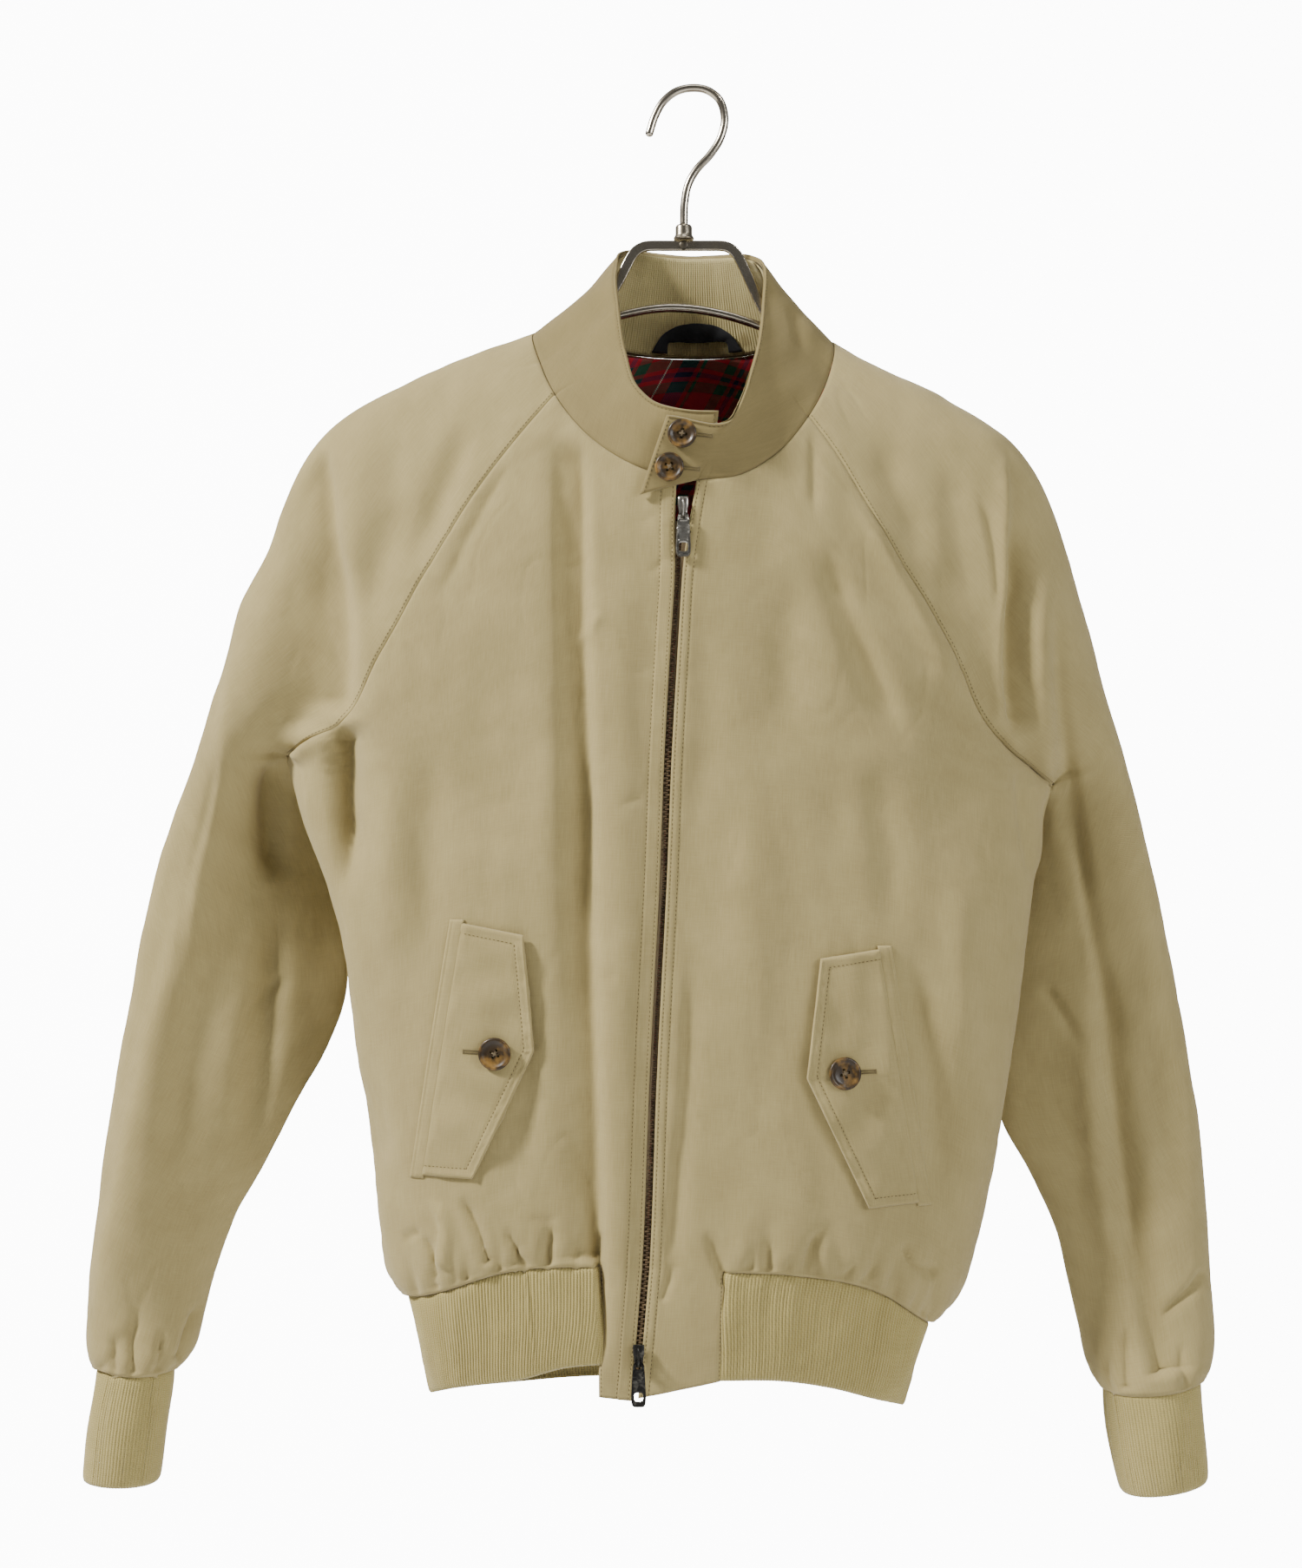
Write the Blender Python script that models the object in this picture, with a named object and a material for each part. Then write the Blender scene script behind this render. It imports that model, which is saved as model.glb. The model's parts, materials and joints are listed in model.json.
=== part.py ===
"""A zip-front blouson jacket with raglan sleeves, buttoned funnel collar, rib hem and rib cuffs, on a metal hanger.

Millimetres in the tables, metres in the scene. X runs across, -Y is the front, Z is up.
"right" and "left" are the wearer's: the wearer's right side has negative X.
The origin is the inside top of the hanger's hook, where the rail carries it.
"""

import math
from collections import namedtuple

import bmesh
import bpy
from mathutils import Vector
from mathutils.bvhtree import BVHTree

MM = 0.001
HANG = Vector((3.4, 8.0, 1.3))  # the hook's inner top in the tables' coordinates

WALL = 1.4  # shell cloth
RIB_WALL = 1.6
LINING_WALL = 1.0
SEAM_PULL = 0.23  # each piece stops this far short of a seam
LAYER = 0.35  # air between pieces that lie on each other

SIDE_ROWS = 12  # hem to armpit
RAGLAN_ROWS = 10  # armpit to neck
FRONT_COLUMNS = 11
STRIP_COLUMNS = 2
HEM_GATHER_ROWS = (0.035,)  # rows close above the hem seam, which the gathers start from
CUFF_GATHER_ROWS = (1.965,)
GATHER_CREST, GATHER_TROUGH, GATHER_FADE = 2.4, -1.5, 0.13
BACK_COLUMNS = 18
SLEEVE_COLUMNS = 14
SLEEVE_ROWS = 13  # armpit to cuff seam
COLLAR_ROWS = 2

HEM_PITCH = 3.1
CUFF_PITCH = 2.3
FACING_PITCH = 3.6

Station = namedtuple("Station", "name bx by bz tx ty tz")

# The collar, from its under end round the wearer's right, back and left to the tab: the neck seam and the top edge.
COLLAR = [
    Station("under_end", 14, -70.0, -254.0, 18.5, -68.5, -213.5),
    Station("right_zip", -7, -71.0, -254.5, -6.7, -69.5, -212.0),
    Station("right_front", -30, -68.5, -247.5, -20, -66, -207.5),
    Station("right_chest", -54.7, -60, -232.2, -30.4, -58, -197.2),
    Station("right_raglan", -82.2, -38, -198.2, -38, -42, -173.2),
    Station("right_slope", -91.4, -20, -177.3, -42.6, -20, -139.3),
    Station("right_ridge", -97.4, 2, -155.2, -44.5, 0, -113.2),
    Station("right_nape", -87, 27, -149.5, -42.5, 18, -98.2),
    Station("right_back_raglan", -62, 44, -153, -33.7, 34, -93.2),
    Station("right_back", -32, 52, -159, -19.7, 43, -93.4),
    Station("back", 0, 54, -161, 0.2, 46, -94.7),
    Station("left_back", 32, 52, -160, 19.9, 43, -94.8),
    Station("left_back_raglan", 62, 45, -156, 34.3, 34, -95.7),
    Station("left_nape", 85, 27, -154.5, 43.2, 18, -100.4),
    Station("left_ridge", 93.4, 2, -161.1, 48.5, 0, -111),
    Station("left_slope", 87, -22, -189, 48, -20, -139.3),
    Station("left_raglan", 74.8, -42, -212.7, 43.9, -40, -167.5),
    Station("left_chest", 54, -58.5, -238, 38.5, -55, -189),
    Station("left_front", 31, -68, -252.4, 32.5, -66, -208),
    Station("left_zip", 5, -72.6, -256.5, 26, -72.6, -219.5),
    Station("tab_end", -29.3, -75.4, -265.2, -13.1, -75.0, -217),
]
NAMES = [row.name for row in COLLAR]

Point = namedtuple("Point", "name x y z")

# Front edges beside the zip, from the hem seam to the neck, and below the seam to the bottom of the hem.
RIGHT_EDGE = [
    Point("bottom", -34.7, -60, -815),
    Point("hem", -27.9, -62.5, -733.5),
    Point("waist", -23.6, -65.5, -622),
    Point("belly", -21.0, -67, -569),
    Point("breast", -16.8, -69, -490),
    Point("armpit", -15.2, -70.5, -440),
    Point("chest", -10.1, -72, -343.5),
    Point("tape", -7.7, -72, -305),
    Point("slider", -8.2, -71.5, -281),
    Point("neck", -7, -71, -254.5),
]
LEFT_EDGE = [
    Point("bottom", -30.3, -60, -813.5),
    Point("hem", -23.5, -62.5, -735.5),
    Point("waist", -19.2, -65.5, -622),
    Point("belly", -16.6, -67, -569),
    Point("breast", -12.4, -69, -490),
    Point("armpit", -10.8, -70.5, -440),
    Point("chest", -5.5, -72.2, -343.5),
    Point("tape", -3.2, -72.6, -305),
    Point("slider", 0.4, -72.6, -281),
    Point("neck", 5, -72.6, -256.5),
]
BACK_EDGE = [
    Point("hem", -8, 46, -757),
    Point("waist", -6, 52, -620),
    Point("armpit", -5, 56, -436),
    Point("blade", -4, 60, -300),
    Point("yoke", -2, 59, -220),
    Point("neck", 0, 54, -161),
]
RIGHT_SIDE = [
    Point("hem", -179.2, 0, -763.4),
    Point("blouse", -187.0, 0, -751.5),
    Point("low", -193.6, -1, -718),
    Point("waist", -201.8, -4, -652),
    Point("belly", -207.9, -6, -619),
    Point("rib", -216.7, -8, -548),
    Point("breast", -221.5, -8, -520),
    Point("flap", -230.5, -7, -490),
    Point("wing", -246.5, -3, -451),
    Point("armpit", -254.1, 4, -422.3),
]
LEFT_SIDE = [
    Point("hem", 154, 0, -780),
    Point("blouse", 170.5, 0, -762),
    Point("low", 181.5, 0, -733),
    Point("waist", 195.3, -3, -674),
    Point("belly", 205.8, -5, -614),
    Point("rib", 213, -7, -556),
    Point("breast", 219.5, -8, -508),
    Point("flap", 226.7, -6, -484),
    Point("wing", 230.5, -1, -456),
    Point("armpit", 235.0, 4, -439.4),
]
RIGHT_RAGLAN = [
    Point("armpit", -254.1, 4, -422.3),
    Point("turn", -239.1, -17, -415),
    Point("curve", -218.7, -34, -404.5),
    Point("low", -206.9, -42, -391),
    Point("mid", -190, -50, -360.7),
    Point("high", -173.6, -54, -331.8),
    Point("chest", -156.5, -56, -302.8),
    Point("blade", -139, -56, -273.7),
    Point("yoke", -120.6, -54, -246.9),
    Point("collar", -102.3, -49, -223.4),
    Point("neck", -82.2, -38, -198.2),
]
LEFT_RAGLAN = [
    Point("armpit", 235, 4, -439.4),
    Point("turn", 217.2, -16, -429.6),
    Point("curve", 198.2, -32, -416.3),
    Point("low", 182, -43, -397),
    Point("mid", 168.9, -50, -368.7),
    Point("high", 152.5, -54, -339.7),
    Point("chest", 131, -56, -305.4),
    Point("yoke", 110, -55, -269.9),
    Point("collar", 91.8, -50, -238.4),
    Point("neck", 74.8, -42, -212.7),
]
RIGHT_BACK_RAGLAN = [
    Point("armpit", -254.1, 4, -422.3),
    Point("turn", -243, 24, -409),
    Point("curve", -222, 38, -386),
    Point("low", -196, 48, -350),
    Point("mid", -168, 54, -310),
    Point("high", -138, 56, -268),
    Point("yoke", -108, 55, -225),
    Point("collar", -82, 51, -185),
    Point("neck", -62, 44, -153),
]
LEFT_BACK_RAGLAN = [
    Point("armpit", 235, 4, -439.4),
    Point("turn", 226, 24, -425),
    Point("curve", 206, 38, -400),
    Point("low", 182, 48, -362),
    Point("mid", 156, 54, -320),
    Point("high", 128, 56, -276),
    Point("yoke", 100, 55, -232),
    Point("collar", 78, 51, -190),
    Point("neck", 62, 45, -156),
]
# The sleeve's outer line: over the shoulder to the armpit's level, then down to the cuff seam.
RIGHT_RIDGE = [
    Point("neck", -97.4, 2, -155.2),
    Point("slope", -122, 1, -162.5),
    Point("middle", -147.4, 0, -173.7),
    Point("shoulder", -187, 0, -190.2),
    Point("bar_end", -220.5, 0, -206.7),
    Point("point", -238.7, 0, -222),
    Point("drop", -247.5, 0, -241),
    Point("cap", -258.5, 2, -272),
    Point("biceps", -270.8, 5, -305.3),
    Point("arm", -296, 10, -371.3),
    Point("armpit", -309, 12, -406),
]
LEFT_RIDGE = [
    Point("neck", 93.4, 2, -161.1),
    Point("middle", 118.9, 0, -173.7),
    Point("shoulder", 152.4, 0, -190.2),
    Point("bar_end", 184.9, 0, -206.7),
    Point("point", 210.7, 0, -223),
    Point("drop", 222.8, 0, -239.7),
    Point("cap", 231.5, 2, -262),
    Point("biceps", 245.1, 5, -305.3),
    Point("arm", 260.6, 8, -354.8),
    Point("armpit", 276.5, 12, -408.5),
]
Sleeve = namedtuple("Sleeve", "name ox oy oz ux uy uz front rear")
# Rings below the armpit: outer line, underarm line, and how far the front and rear bow out.
RIGHT_SLEEVE = [
    Sleeve("armpit", -309, 12, -406, -254.1, 4, -422.3, 32, 42),
    Sleeve("biceps", -322, 15, -444, -250, 24, -443, 30, 40),
    Sleeve("upper", -336, 18, -482, -239, 35, -474, 29, 36),
    Sleeve("elbow", -347.5, 20, -528, -225, 38, -522, 30, 32),
    Sleeve("forearm", -356, 20, -571.5, -219.5, 35, -572, 32, 30),
    Sleeve("fore_mid", -362, 20, -610, -231, 31, -610, 33, 30),
    Sleeve("fore_low", -367.5, 20, -646, -251.5, 29, -646, 33, 30),
    Sleeve("taper", -372.5, 20, -680, -270, 27, -682, 33, 31),
    Sleeve("wrist_up", -376, 20, -714, -288, 25, -715, 34, 32),
    Sleeve("wrist", -379.5, 20, -748, -300.5, 25, -748, 34, 33),
    Sleeve("blouse", -383, 20, -778, -309.5, 25, -778, 35, 34),
    Sleeve("swell", -383, 19, -798, -316.5, 22, -799, 36, 36),
    Sleeve("cuff", -378, 18, -813, -326.5, 18, -815, 34, 34),
]
LEFT_SLEEVE = [
    Sleeve("armpit", 276.5, 12, -408.5, 235, 4, -439.4, 32, 42),
    Sleeve("biceps", 289, 16, -450, 229, 24, -460, 30, 40),
    Sleeve("upper", 300, 19, -491, 218, 35, -496, 29, 36),
    Sleeve("elbow", 309, 20, -533, 206, 38, -538, 30, 32),
    Sleeve("forearm", 317, 20, -571.5, 199, 38, -580, 32, 30),
    Sleeve("fore_mid", 322.5, 20, -613, 197, 36, -622, 33, 30),
    Sleeve("fore_low", 327, 20, -651, 204, 31, -658, 33, 30),
    Sleeve("taper", 331.5, 20, -690, 223, 28, -693, 33, 31),
    Sleeve("wrist_up", 335, 20, -724, 238.5, 26, -727, 34, 32),
    Sleeve("wrist", 337, 20, -755, 245.5, 25, -758, 35, 33),
    Sleeve("blouse", 338.5, 20, -784, 252.5, 25, -787, 37, 36),
    Sleeve("swell", 338, 19, -806, 258.5, 22, -810, 42, 42),
    Sleeve("cuff", 331, 18, -820, 266, 18, -827, 43, 43),
]
RIGHT_CUFF = Sleeve("end", -386, 18, -883, -338, 18, -885, 32, 32)
LEFT_CUFF = Sleeve("end", 333.5, 18, -883, 279, 18, -892, 36, 36)

# Hem: the bottom of the rib, and of the cloth strips beside the zip.
RIB_BOTTOM_RIGHT = [
    Point("strip", -54.5, -57.5, -793.5),
    Point("front", -75.4, -56, -796),
    Point("turn", -102, -52, -804),
    Point("hip", -124, -45, -808.5),
    Point("corner", -147, -32, -814.5),
    Point("side", -162.5, 0, -825),
]
RIB_BOTTOM_BACK_RIGHT = [
    Point("side", -162.5, 0, -825),
    Point("corner", -143, 26, -828),
    Point("hip", -90, 39, -829),
    Point("back", -10, 43, -829),
]
RIB_BOTTOM_BACK_LEFT = [
    Point("back", -10, 43, -829),
    Point("hip", 70, 39, -831),
    Point("corner", 118, 26, -833),
    Point("side", 137.5, 0, -833),
]
RIB_BOTTOM_LEFT = [
    Point("strip", 20.5, -57, -803.5),
    Point("front", 57, -52, -805),
    Point("turn", 89.6, -44, -811.5),
    Point("corner", 114, -32, -820.5),
    Point("side", 137.5, 0, -833),
]
STRIP_RIGHT_X, STRIP_LEFT_X = -54.5, 22.0

Fold = namedtuple("Fold", "name x1 z1 x2 z2 width depth")
# The largest folds: a crest is positive, a trough negative. Front and back are told apart by the sign of y.
FRONT_FOLDS = [
    Fold("placket_roll", -44, -300, -50, -800, 16, 4.5),
    Fold("placket_trough", -66, -330, -72, -720, 15, -4.0),
    Fold("right_flap_fold", -226, -425, -214, -530, 12, -6.0),
    Fold("right_chest", -120, -330, -95, -520, 22, 2.6),
    Fold("left_chest", 60, -300, 42, -560, 24, -3.0),
    Fold("left_crest", 92, -320, 70, -600, 22, 3.0),
    Fold("left_raglan", 150, -400, 175, -560, 20, -3.0),
    Fold("left_drop", 204, -236, 207, -400, 13, -6.0),
    Fold("left_outer", 226, -262, 240, -420, 14, 3.5),
    Fold("left_long", 262, -480, 303, -815, 14, -4.5),
    Fold("right_elbow", -318, -500, -330, -700, 18, -3.0),
    Fold("right_drop", -240, -260, -262, -400, 16, -3.0),
]
BACK_FOLDS = [
    Fold("back_middle", -8, -260, -12, -700, 26, -3.0),
    Fold("back_right", -120, -330, -140, -640, 24, 3.0),
    Fold("back_left", 105, -330, 120, -640, 24, 3.0),
]

def lerp(a, b, t):
    return a + (b - a) * t


def clamp(t):
    return min(1.0, max(0.0, t))


def smooth(t):
    t = clamp(t)
    return t * t * (3 - 2 * t)


def across_table(table, key, columns):
    """The named columns of a table at a real-valued row number."""
    key = min(max(key, 0.0), len(table) - 1.0)
    i = min(int(key), len(table) - 2)
    return [
        lerp(getattr(table[i], c), getattr(table[i + 1], c), smooth(key - i) * 0.5 + (key - i) * 0.5)
        for c in columns
    ]


class Rail:
    """A smooth curve through points, which it passes at whole values of t."""

    def __init__(self, points):
        self.points = [Vector(p) for p in points]
        gaps = [(b - a).length for a, b in zip(self.points, self.points[1:])]
        self.gaps = gaps
        self.tangents = []
        for i in range(len(self.points)):
            if i == 0:
                tangent = (self.points[1] - self.points[0]) / gaps[0]
            elif i == len(self.points) - 1:
                tangent = (self.points[-1] - self.points[-2]) / gaps[-1]
            else:
                before = (self.points[i] - self.points[i - 1]) / gaps[i - 1]
                after = (self.points[i + 1] - self.points[i]) / gaps[i]
                tangent = (before * gaps[i] + after * gaps[i - 1]) / (gaps[i] + gaps[i - 1])
            self.tangents.append(tangent)
        self.marks = [(0.0, 0.0)]
        last, total = self.at(0.0), 0.0
        for step in range(1, (len(self.points) - 1) * 12 + 1):
            here = self.at(step / 12)
            total += (here - last).length
            self.marks.append((step / 12, total))
            last = here

    def at(self, t):
        i = min(max(int(t), 0), len(self.points) - 2)
        f, gap = t - i, self.gaps[i]
        f2, f3 = f * f, f * f * f
        return (
            self.points[i] * (2 * f3 - 3 * f2 + 1)
            + self.tangents[i] * (f3 - 2 * f2 + f) * gap
            + self.points[i + 1] * (3 * f2 - 2 * f3)
            + self.tangents[i + 1] * (f3 - f2) * gap
        )

    def length_at(self, t):
        for (t0, l0), (t1, l1) in zip(self.marks, self.marks[1:]):
            if t <= t1:
                return lerp(l0, l1, (t - t0) / (t1 - t0))
        return self.marks[-1][1]

    def by_length(self, share, start=0.0, end=None):
        """t at a share of the length between two values of t."""
        end = len(self.points) - 1.0 if end is None else end
        want = lerp(self.length_at(start), self.length_at(end), share)
        for (t0, l0), (t1, l1) in zip(self.marks, self.marks[1:]):
            if want <= l1:
                return lerp(t0, t1, (want - l0) / (l1 - l0))
        return end

    def share(self, share):
        return self.at(self.by_length(share))


def rail(table):
    return Rail([(row.x, row.y, row.z) for row in table])


NECK = Rail([(row.bx, row.by, row.bz) for row in COLLAR])
TOP = Rail([(row.tx, row.ty, row.tz) for row in COLLAR])


def station(name):
    return float(NAMES.index(name))


class Side:
    """One half of the garment: its seams and its widths, for the wearer's right or left."""

    def __init__(self, sign, edge, side, raglan, back_raglan, ridge, rings, strip_x, neck_zip, neck_raglan, neck_ridge, neck_back):
        self.sign = sign
        self.edge = rail(edge)
        self.edge_armpit = float([row.name for row in edge].index("armpit"))
        self.side = rail(side)
        self.raglan = rail(raglan)
        self.back_raglan = rail(back_raglan)
        self.ridge = rail(ridge)
        self.rings = rings
        self.neck_zip, self.neck_raglan = station(neck_zip), station(neck_raglan)
        self.neck_ridge, self.neck_back = station(neck_ridge), station(neck_back)
        hem_x, side_x = edge[1].x, side[0].x
        self.strip_u = math.asin((strip_x - hem_x) / (side_x - hem_x)) / (math.pi / 2)

    def centre(self, v):
        """The front edge: v is 0 at the hem seam, 1 level with the armpit and 2 at the neck."""
        if v <= 1:
            return self.edge.at(self.edge.by_length(v, 1.0, self.edge_armpit))
        return self.edge.at(self.edge.by_length(v - 1, self.edge_armpit))

    def outer(self, v):
        return self.side.share(v) if v <= 1 else self.raglan.share(v - 1)

    def back_outer(self, v):
        return self.side.share(v) if v <= 1 else self.back_raglan.share(v - 1)

    def neck(self, u):
        return NECK.at(NECK.by_length(u, self.neck_zip, self.neck_raglan))


RIGHT = Side(-1, RIGHT_EDGE, RIGHT_SIDE, RIGHT_RAGLAN, RIGHT_BACK_RAGLAN, RIGHT_RIDGE, RIGHT_SLEEVE, STRIP_RIGHT_X,
             "right_zip", "right_raglan", "right_ridge", "right_back_raglan")
LEFT = Side(1, LEFT_EDGE, LEFT_SIDE, LEFT_RAGLAN, LEFT_BACK_RAGLAN, LEFT_RIDGE, LEFT_SLEEVE, STRIP_LEFT_X,
            "left_zip", "left_raglan", "left_ridge", "left_back_raglan")
BACK = rail(BACK_EDGE)
BACK_ARMPIT = 2.0


def turn_at(v):
    """How far round its quarter arc a row goes: all of it at the sides, less beside the raglan seams."""
    if v <= 1:
        return math.radians(lerp(90, 74, smooth((v - 0.7) / 0.3)))
    return math.radians(lerp(74, 54, smooth((v - 1) / 0.7)))


def arc(centre, outer, u, v, flat=1.3):
    """A point a share u of the way from the middle of a row to its end."""
    turn = turn_at(v)
    angle = u * turn
    across = math.sin(angle) / math.sin(turn)
    fall = ((1 - math.cos(angle)) / (1 - math.cos(turn))) ** flat
    return Vector((
        lerp(centre.x, outer.x, across),
        lerp(centre.y, outer.y, fall),
        lerp(centre.z, outer.z, u * u),
    ))


HEM_FRONT = [  # height of the front hem seam, by x
    Point("left_side", -179.2, 0, -763.4), Point("a", -145, 0, -750), Point("b", -123, 0, -741), Point("c", -100, 0, -735.5),
    Point("d", -75, 0, -733.5), Point("e", -28, 0, -733.5), Point("f", -23, 0, -735.5), Point("g", 57, 0, -738),
    Point("h", 100, 0, -745.5), Point("i", 128, 0, -758), Point("j", 154, 0, -780),
]


def hem_height(x):
    rows = HEM_FRONT
    for a, b in zip(rows, rows[1:]):
        if x <= b.x:
            return lerp(a.z, b.z, smooth((x - a.x) / (b.x - a.x)) * 0.4 + 0.6 * clamp((x - a.x) / (b.x - a.x)))
    return rows[-1].z


def front_point(side, u, v):
    point = arc(side.centre(v), side.outer(v), u, v)
    low = clamp(1 - v / 0.3) ** 2
    if low:
        foot = arc(side.centre(0), side.outer(0), u, 0)
        point.z += low * (hem_height(foot.x) - foot.z)
    high = clamp((v - 1.55) / 0.45) ** 2
    if high:
        point += high * (side.neck(u) - arc(side.centre(2), side.outer(2), u, 2))
    return point


def back_point(u, v):
    """u runs from -1 at the wearer's right to 1 at the left."""
    side = RIGHT if u < 0 else LEFT
    v_centre = BACK.by_length(v, 0, BACK_ARMPIT) if v <= 1 else BACK.by_length(v - 1, BACK_ARMPIT)
    centre = BACK.at(v_centre)
    point = arc(centre, side.back_outer(v), abs(u), v)
    high = clamp((v - 1.55) / 0.45) ** 2
    if high:
        start, end = station("right_back_raglan"), station("left_back_raglan")
        middle = station("back")
        neck = NECK.at(NECK.by_length(-u, middle, start) if u < 0 else NECK.by_length(u, middle, end))
        point += high * (neck - arc(BACK.at(BACK.by_length(1, BACK_ARMPIT)), side.back_outer(2), abs(u), 2))
    return point


def bezier(a, b, c, d, t):
    s = 1 - t
    return a * s**3 + b * (3 * s * s * t) + c * (3 * s * t * t) + d * t**3


def sleeve_point(side, w, v):
    """w runs from 0 at the front seam, over the outer line at 0.5, to 1 at the back seam; v is 0 at the neck, 1 at the armpit and 2 at the cuff."""
    if v <= 1:
        ridge = side.ridge.share(v)
        front, rear = side.raglan.share(1 - v), side.back_raglan.share(1 - v)
        bow_front, bow_rear = lerp(20, 32, smooth(v / 0.4)), lerp(22, 42, smooth(v / 0.8))
        opened, lean = 1.0, lerp(0.28, -0.55, smooth((v - 0.62) / 0.38))
    else:
        row = (v - 1) * (len(side.rings) - 1)
        ox, oy, oz, ux, uy, uz, bow_front, bow_rear = across_table(side.rings, row, Sleeve._fields[1:])
        ridge, front = Vector((ox, oy, oz)), Vector((ux, uy, uz))
        rear = front.copy()
        opened, lean = clamp(1 - (v - 1) / 0.5), -0.55
    ends = []
    for seam, bow, way in ((front, bow_front, -1), (rear, bow_rear, 1)):
        along = (ridge - seam) * 0.42
        along.y = 0
        along.y = -way * lean * along.length
        ends.append((seam, along * opened + Vector((0, way * bow * (1 - opened), 0)), Vector((0, way * bow, 0))))
    if w <= 0.5:
        seam, handle, crest = ends[0]
        point = bezier(seam, seam + handle, ridge + crest, ridge, w * 2)
    else:
        seam, handle, crest = ends[1]
        point = bezier(ridge, ridge + crest, seam + handle, seam, w * 2 - 1)
    if v < 0.3:
        fade = (1 - v / 0.3) ** 2
        if w <= 0.5:
            neck = NECK.at(NECK.by_length(w * 2, side.neck_raglan, side.neck_ridge))
        else:
            neck = NECK.at(NECK.by_length(w * 2 - 1, side.neck_ridge, side.neck_back))
        point += fade * (neck - sleeve_point_plain(side, w))
    return point


def sleeve_point_plain(side, w):
    """The first row of the sleeve before it is fitted to the neck."""
    ridge, front, rear = side.ridge.share(0), side.raglan.share(1), side.back_raglan.share(1)
    if w <= 0.5:
        along = (ridge - front) * 0.42
        along.y = 0
        along.y = 0.28 * along.length
        return bezier(front, front + along, ridge + Vector((0, -20, 0)), ridge, w * 2)
    along = (ridge - rear) * 0.42
    along.y = 0
    along.y = -0.28 * along.length
    return bezier(ridge, ridge + Vector((0, 22, 0)), rear + along, rear, w * 2 - 1)


def collar_point(t, h):
    """t counts stations along the neck seam; h is 0 at the seam and 1 at the top edge."""
    low, high = NECK.at(t), TOP.at(t)
    point = low.lerp(high, h)
    hollow = math.sin(math.pi * h)
    out = Vector((low.x, low.y + 10, 0))
    if out.length > 1:
        out.normalize()
        ends = smooth(t / 3) * smooth((len(COLLAR) - 1 - t) / 3)
        point += out * hollow * lerp(0.5, -0.8, ends)
    return point


def fold_push(point, folds):
    total = 0.0
    for fold in folds:
        a, b = Vector((fold.x1, fold.z1)), Vector((fold.x2, fold.z2))
        run = b - a
        here = Vector((point.x, point.z)) - a
        t = here.dot(run) / run.length_squared
        off = (here - run * clamp(t)).length / fold.width
        if off < 1.6:
            total += fold.depth * math.exp(-2.2 * off * off) * smooth(min(t, 1 - t) / 0.22 + 0.12)
    return total


class Cloth:
    """The grids of points that make each piece, and normals shared along the seams."""

    def __init__(self):
        self.grids = {}
        self.normals = {}

    def key(self, point):
        return (round(point.x, 3), round(point.y, 3), round(point.z, 3))

    def add(self, name, grids):
        self.grids[name] = grids

    def weigh(self, names):
        """Adds up the face normals round each point of the named pieces."""
        sums = {}
        for name in names:
            for grid in self.grids[name]:
                for low, high in zip(grid, grid[1:]):
                    for a, b, c, d in zip(low, low[1:], high[1:], high):
                        normal = (c - a).cross(d - b)
                        for corner in (a, b, c, d):
                            at = self.key(corner)
                            sums[at] = sums.get(at, Vector()) + normal
        for at, total in sums.items():
            if total.length > 1e-9:
                self.normals[at] = total.normalized()

    def push(self, name):
        """Moves a piece's points along the normals by the folds of the side that they face."""
        for grid in self.grids[name]:
            for row in grid:
                row[:] = [self.pushed(point) for point in row]

    def gather(self, name, seams):
        """Raises a piece's gathers. seams holds each row's distance from the gathered seam, as a share of the piece."""
        grid = self.grids[name][0]
        for row, from_seam in zip(grid, seams):
            for column in range(1, len(row) - 1):
                point = row[column]
                row[column] = point + self.normals[self.key(point)] * gather(column, from_seam)

    def pushed(self, point):
        normal = self.normals[self.key(point)]
        folds = FRONT_FOLDS if normal.y < 0 else BACK_FOLDS
        return point + normal * fold_push(point, folds) * smooth((abs(normal.y) - 0.15) / 0.5)


# At the armpits four pieces meet at a point: each stops further short, and keeps to its own plane.
ARMPITS = [side.side.at(len(side.side.points) - 1.0) for side in (RIGHT, LEFT)]
ARMPIT_PULL = 0.6


def values(count, start=0.0, end=1.0):
    return [lerp(start, end, i / count) for i in range(count + 1)]


def front_columns(side):
    return values(STRIP_COLUMNS, 0, side.strip_u) + values(FRONT_COLUMNS - STRIP_COLUMNS, side.strip_u, 1)[1:]


def body_rows():
    return sorted(values(SIDE_ROWS) + list(HEM_GATHER_ROWS)) + values(RAGLAN_ROWS, 1, 2)[1:]


def sleeve_rows():
    return values(RAGLAN_ROWS) + sorted(values(SLEEVE_ROWS, 1, 2)[1:] + list(CUFF_GATHER_ROWS))


def gather(column, from_seam):
    """How far a point stands out in the gathers: crests and troughs take turns by column, and fade from the seam."""
    if from_seam <= 0 or from_seam > 3 * GATHER_FADE:
        return 0.0
    height = GATHER_CREST if column % 2 else GATHER_TROUGH
    uneven = 0.65 + 0.35 * math.sin(2.4 * column + 1)
    return height * uneven * math.exp(-((from_seam / GATHER_FADE) ** 2))


def strip_grid(side, bottom):
    """The cloth beside the zip runs on past the rib's seam to the bottom of the hem."""
    columns = values(STRIP_COLUMNS, 0, side.strip_u)
    top = [front_point(side, u, 0) for u in columns]
    zip_end = side.edge.at(0)
    corner = Vector((bottom[0].x, bottom[0].y, bottom[0].z - (20 if side is RIGHT else 0)))
    low = [zip_end.lerp(corner, i / STRIP_COLUMNS) for i in range(STRIP_COLUMNS + 1)]
    return [[a.lerp(b, f) for a, b in zip(low, top)] for f in (0.0, 0.33, 0.66, 1.0)]


def turned(grid):
    return [list(reversed(row)) for row in grid]


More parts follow.
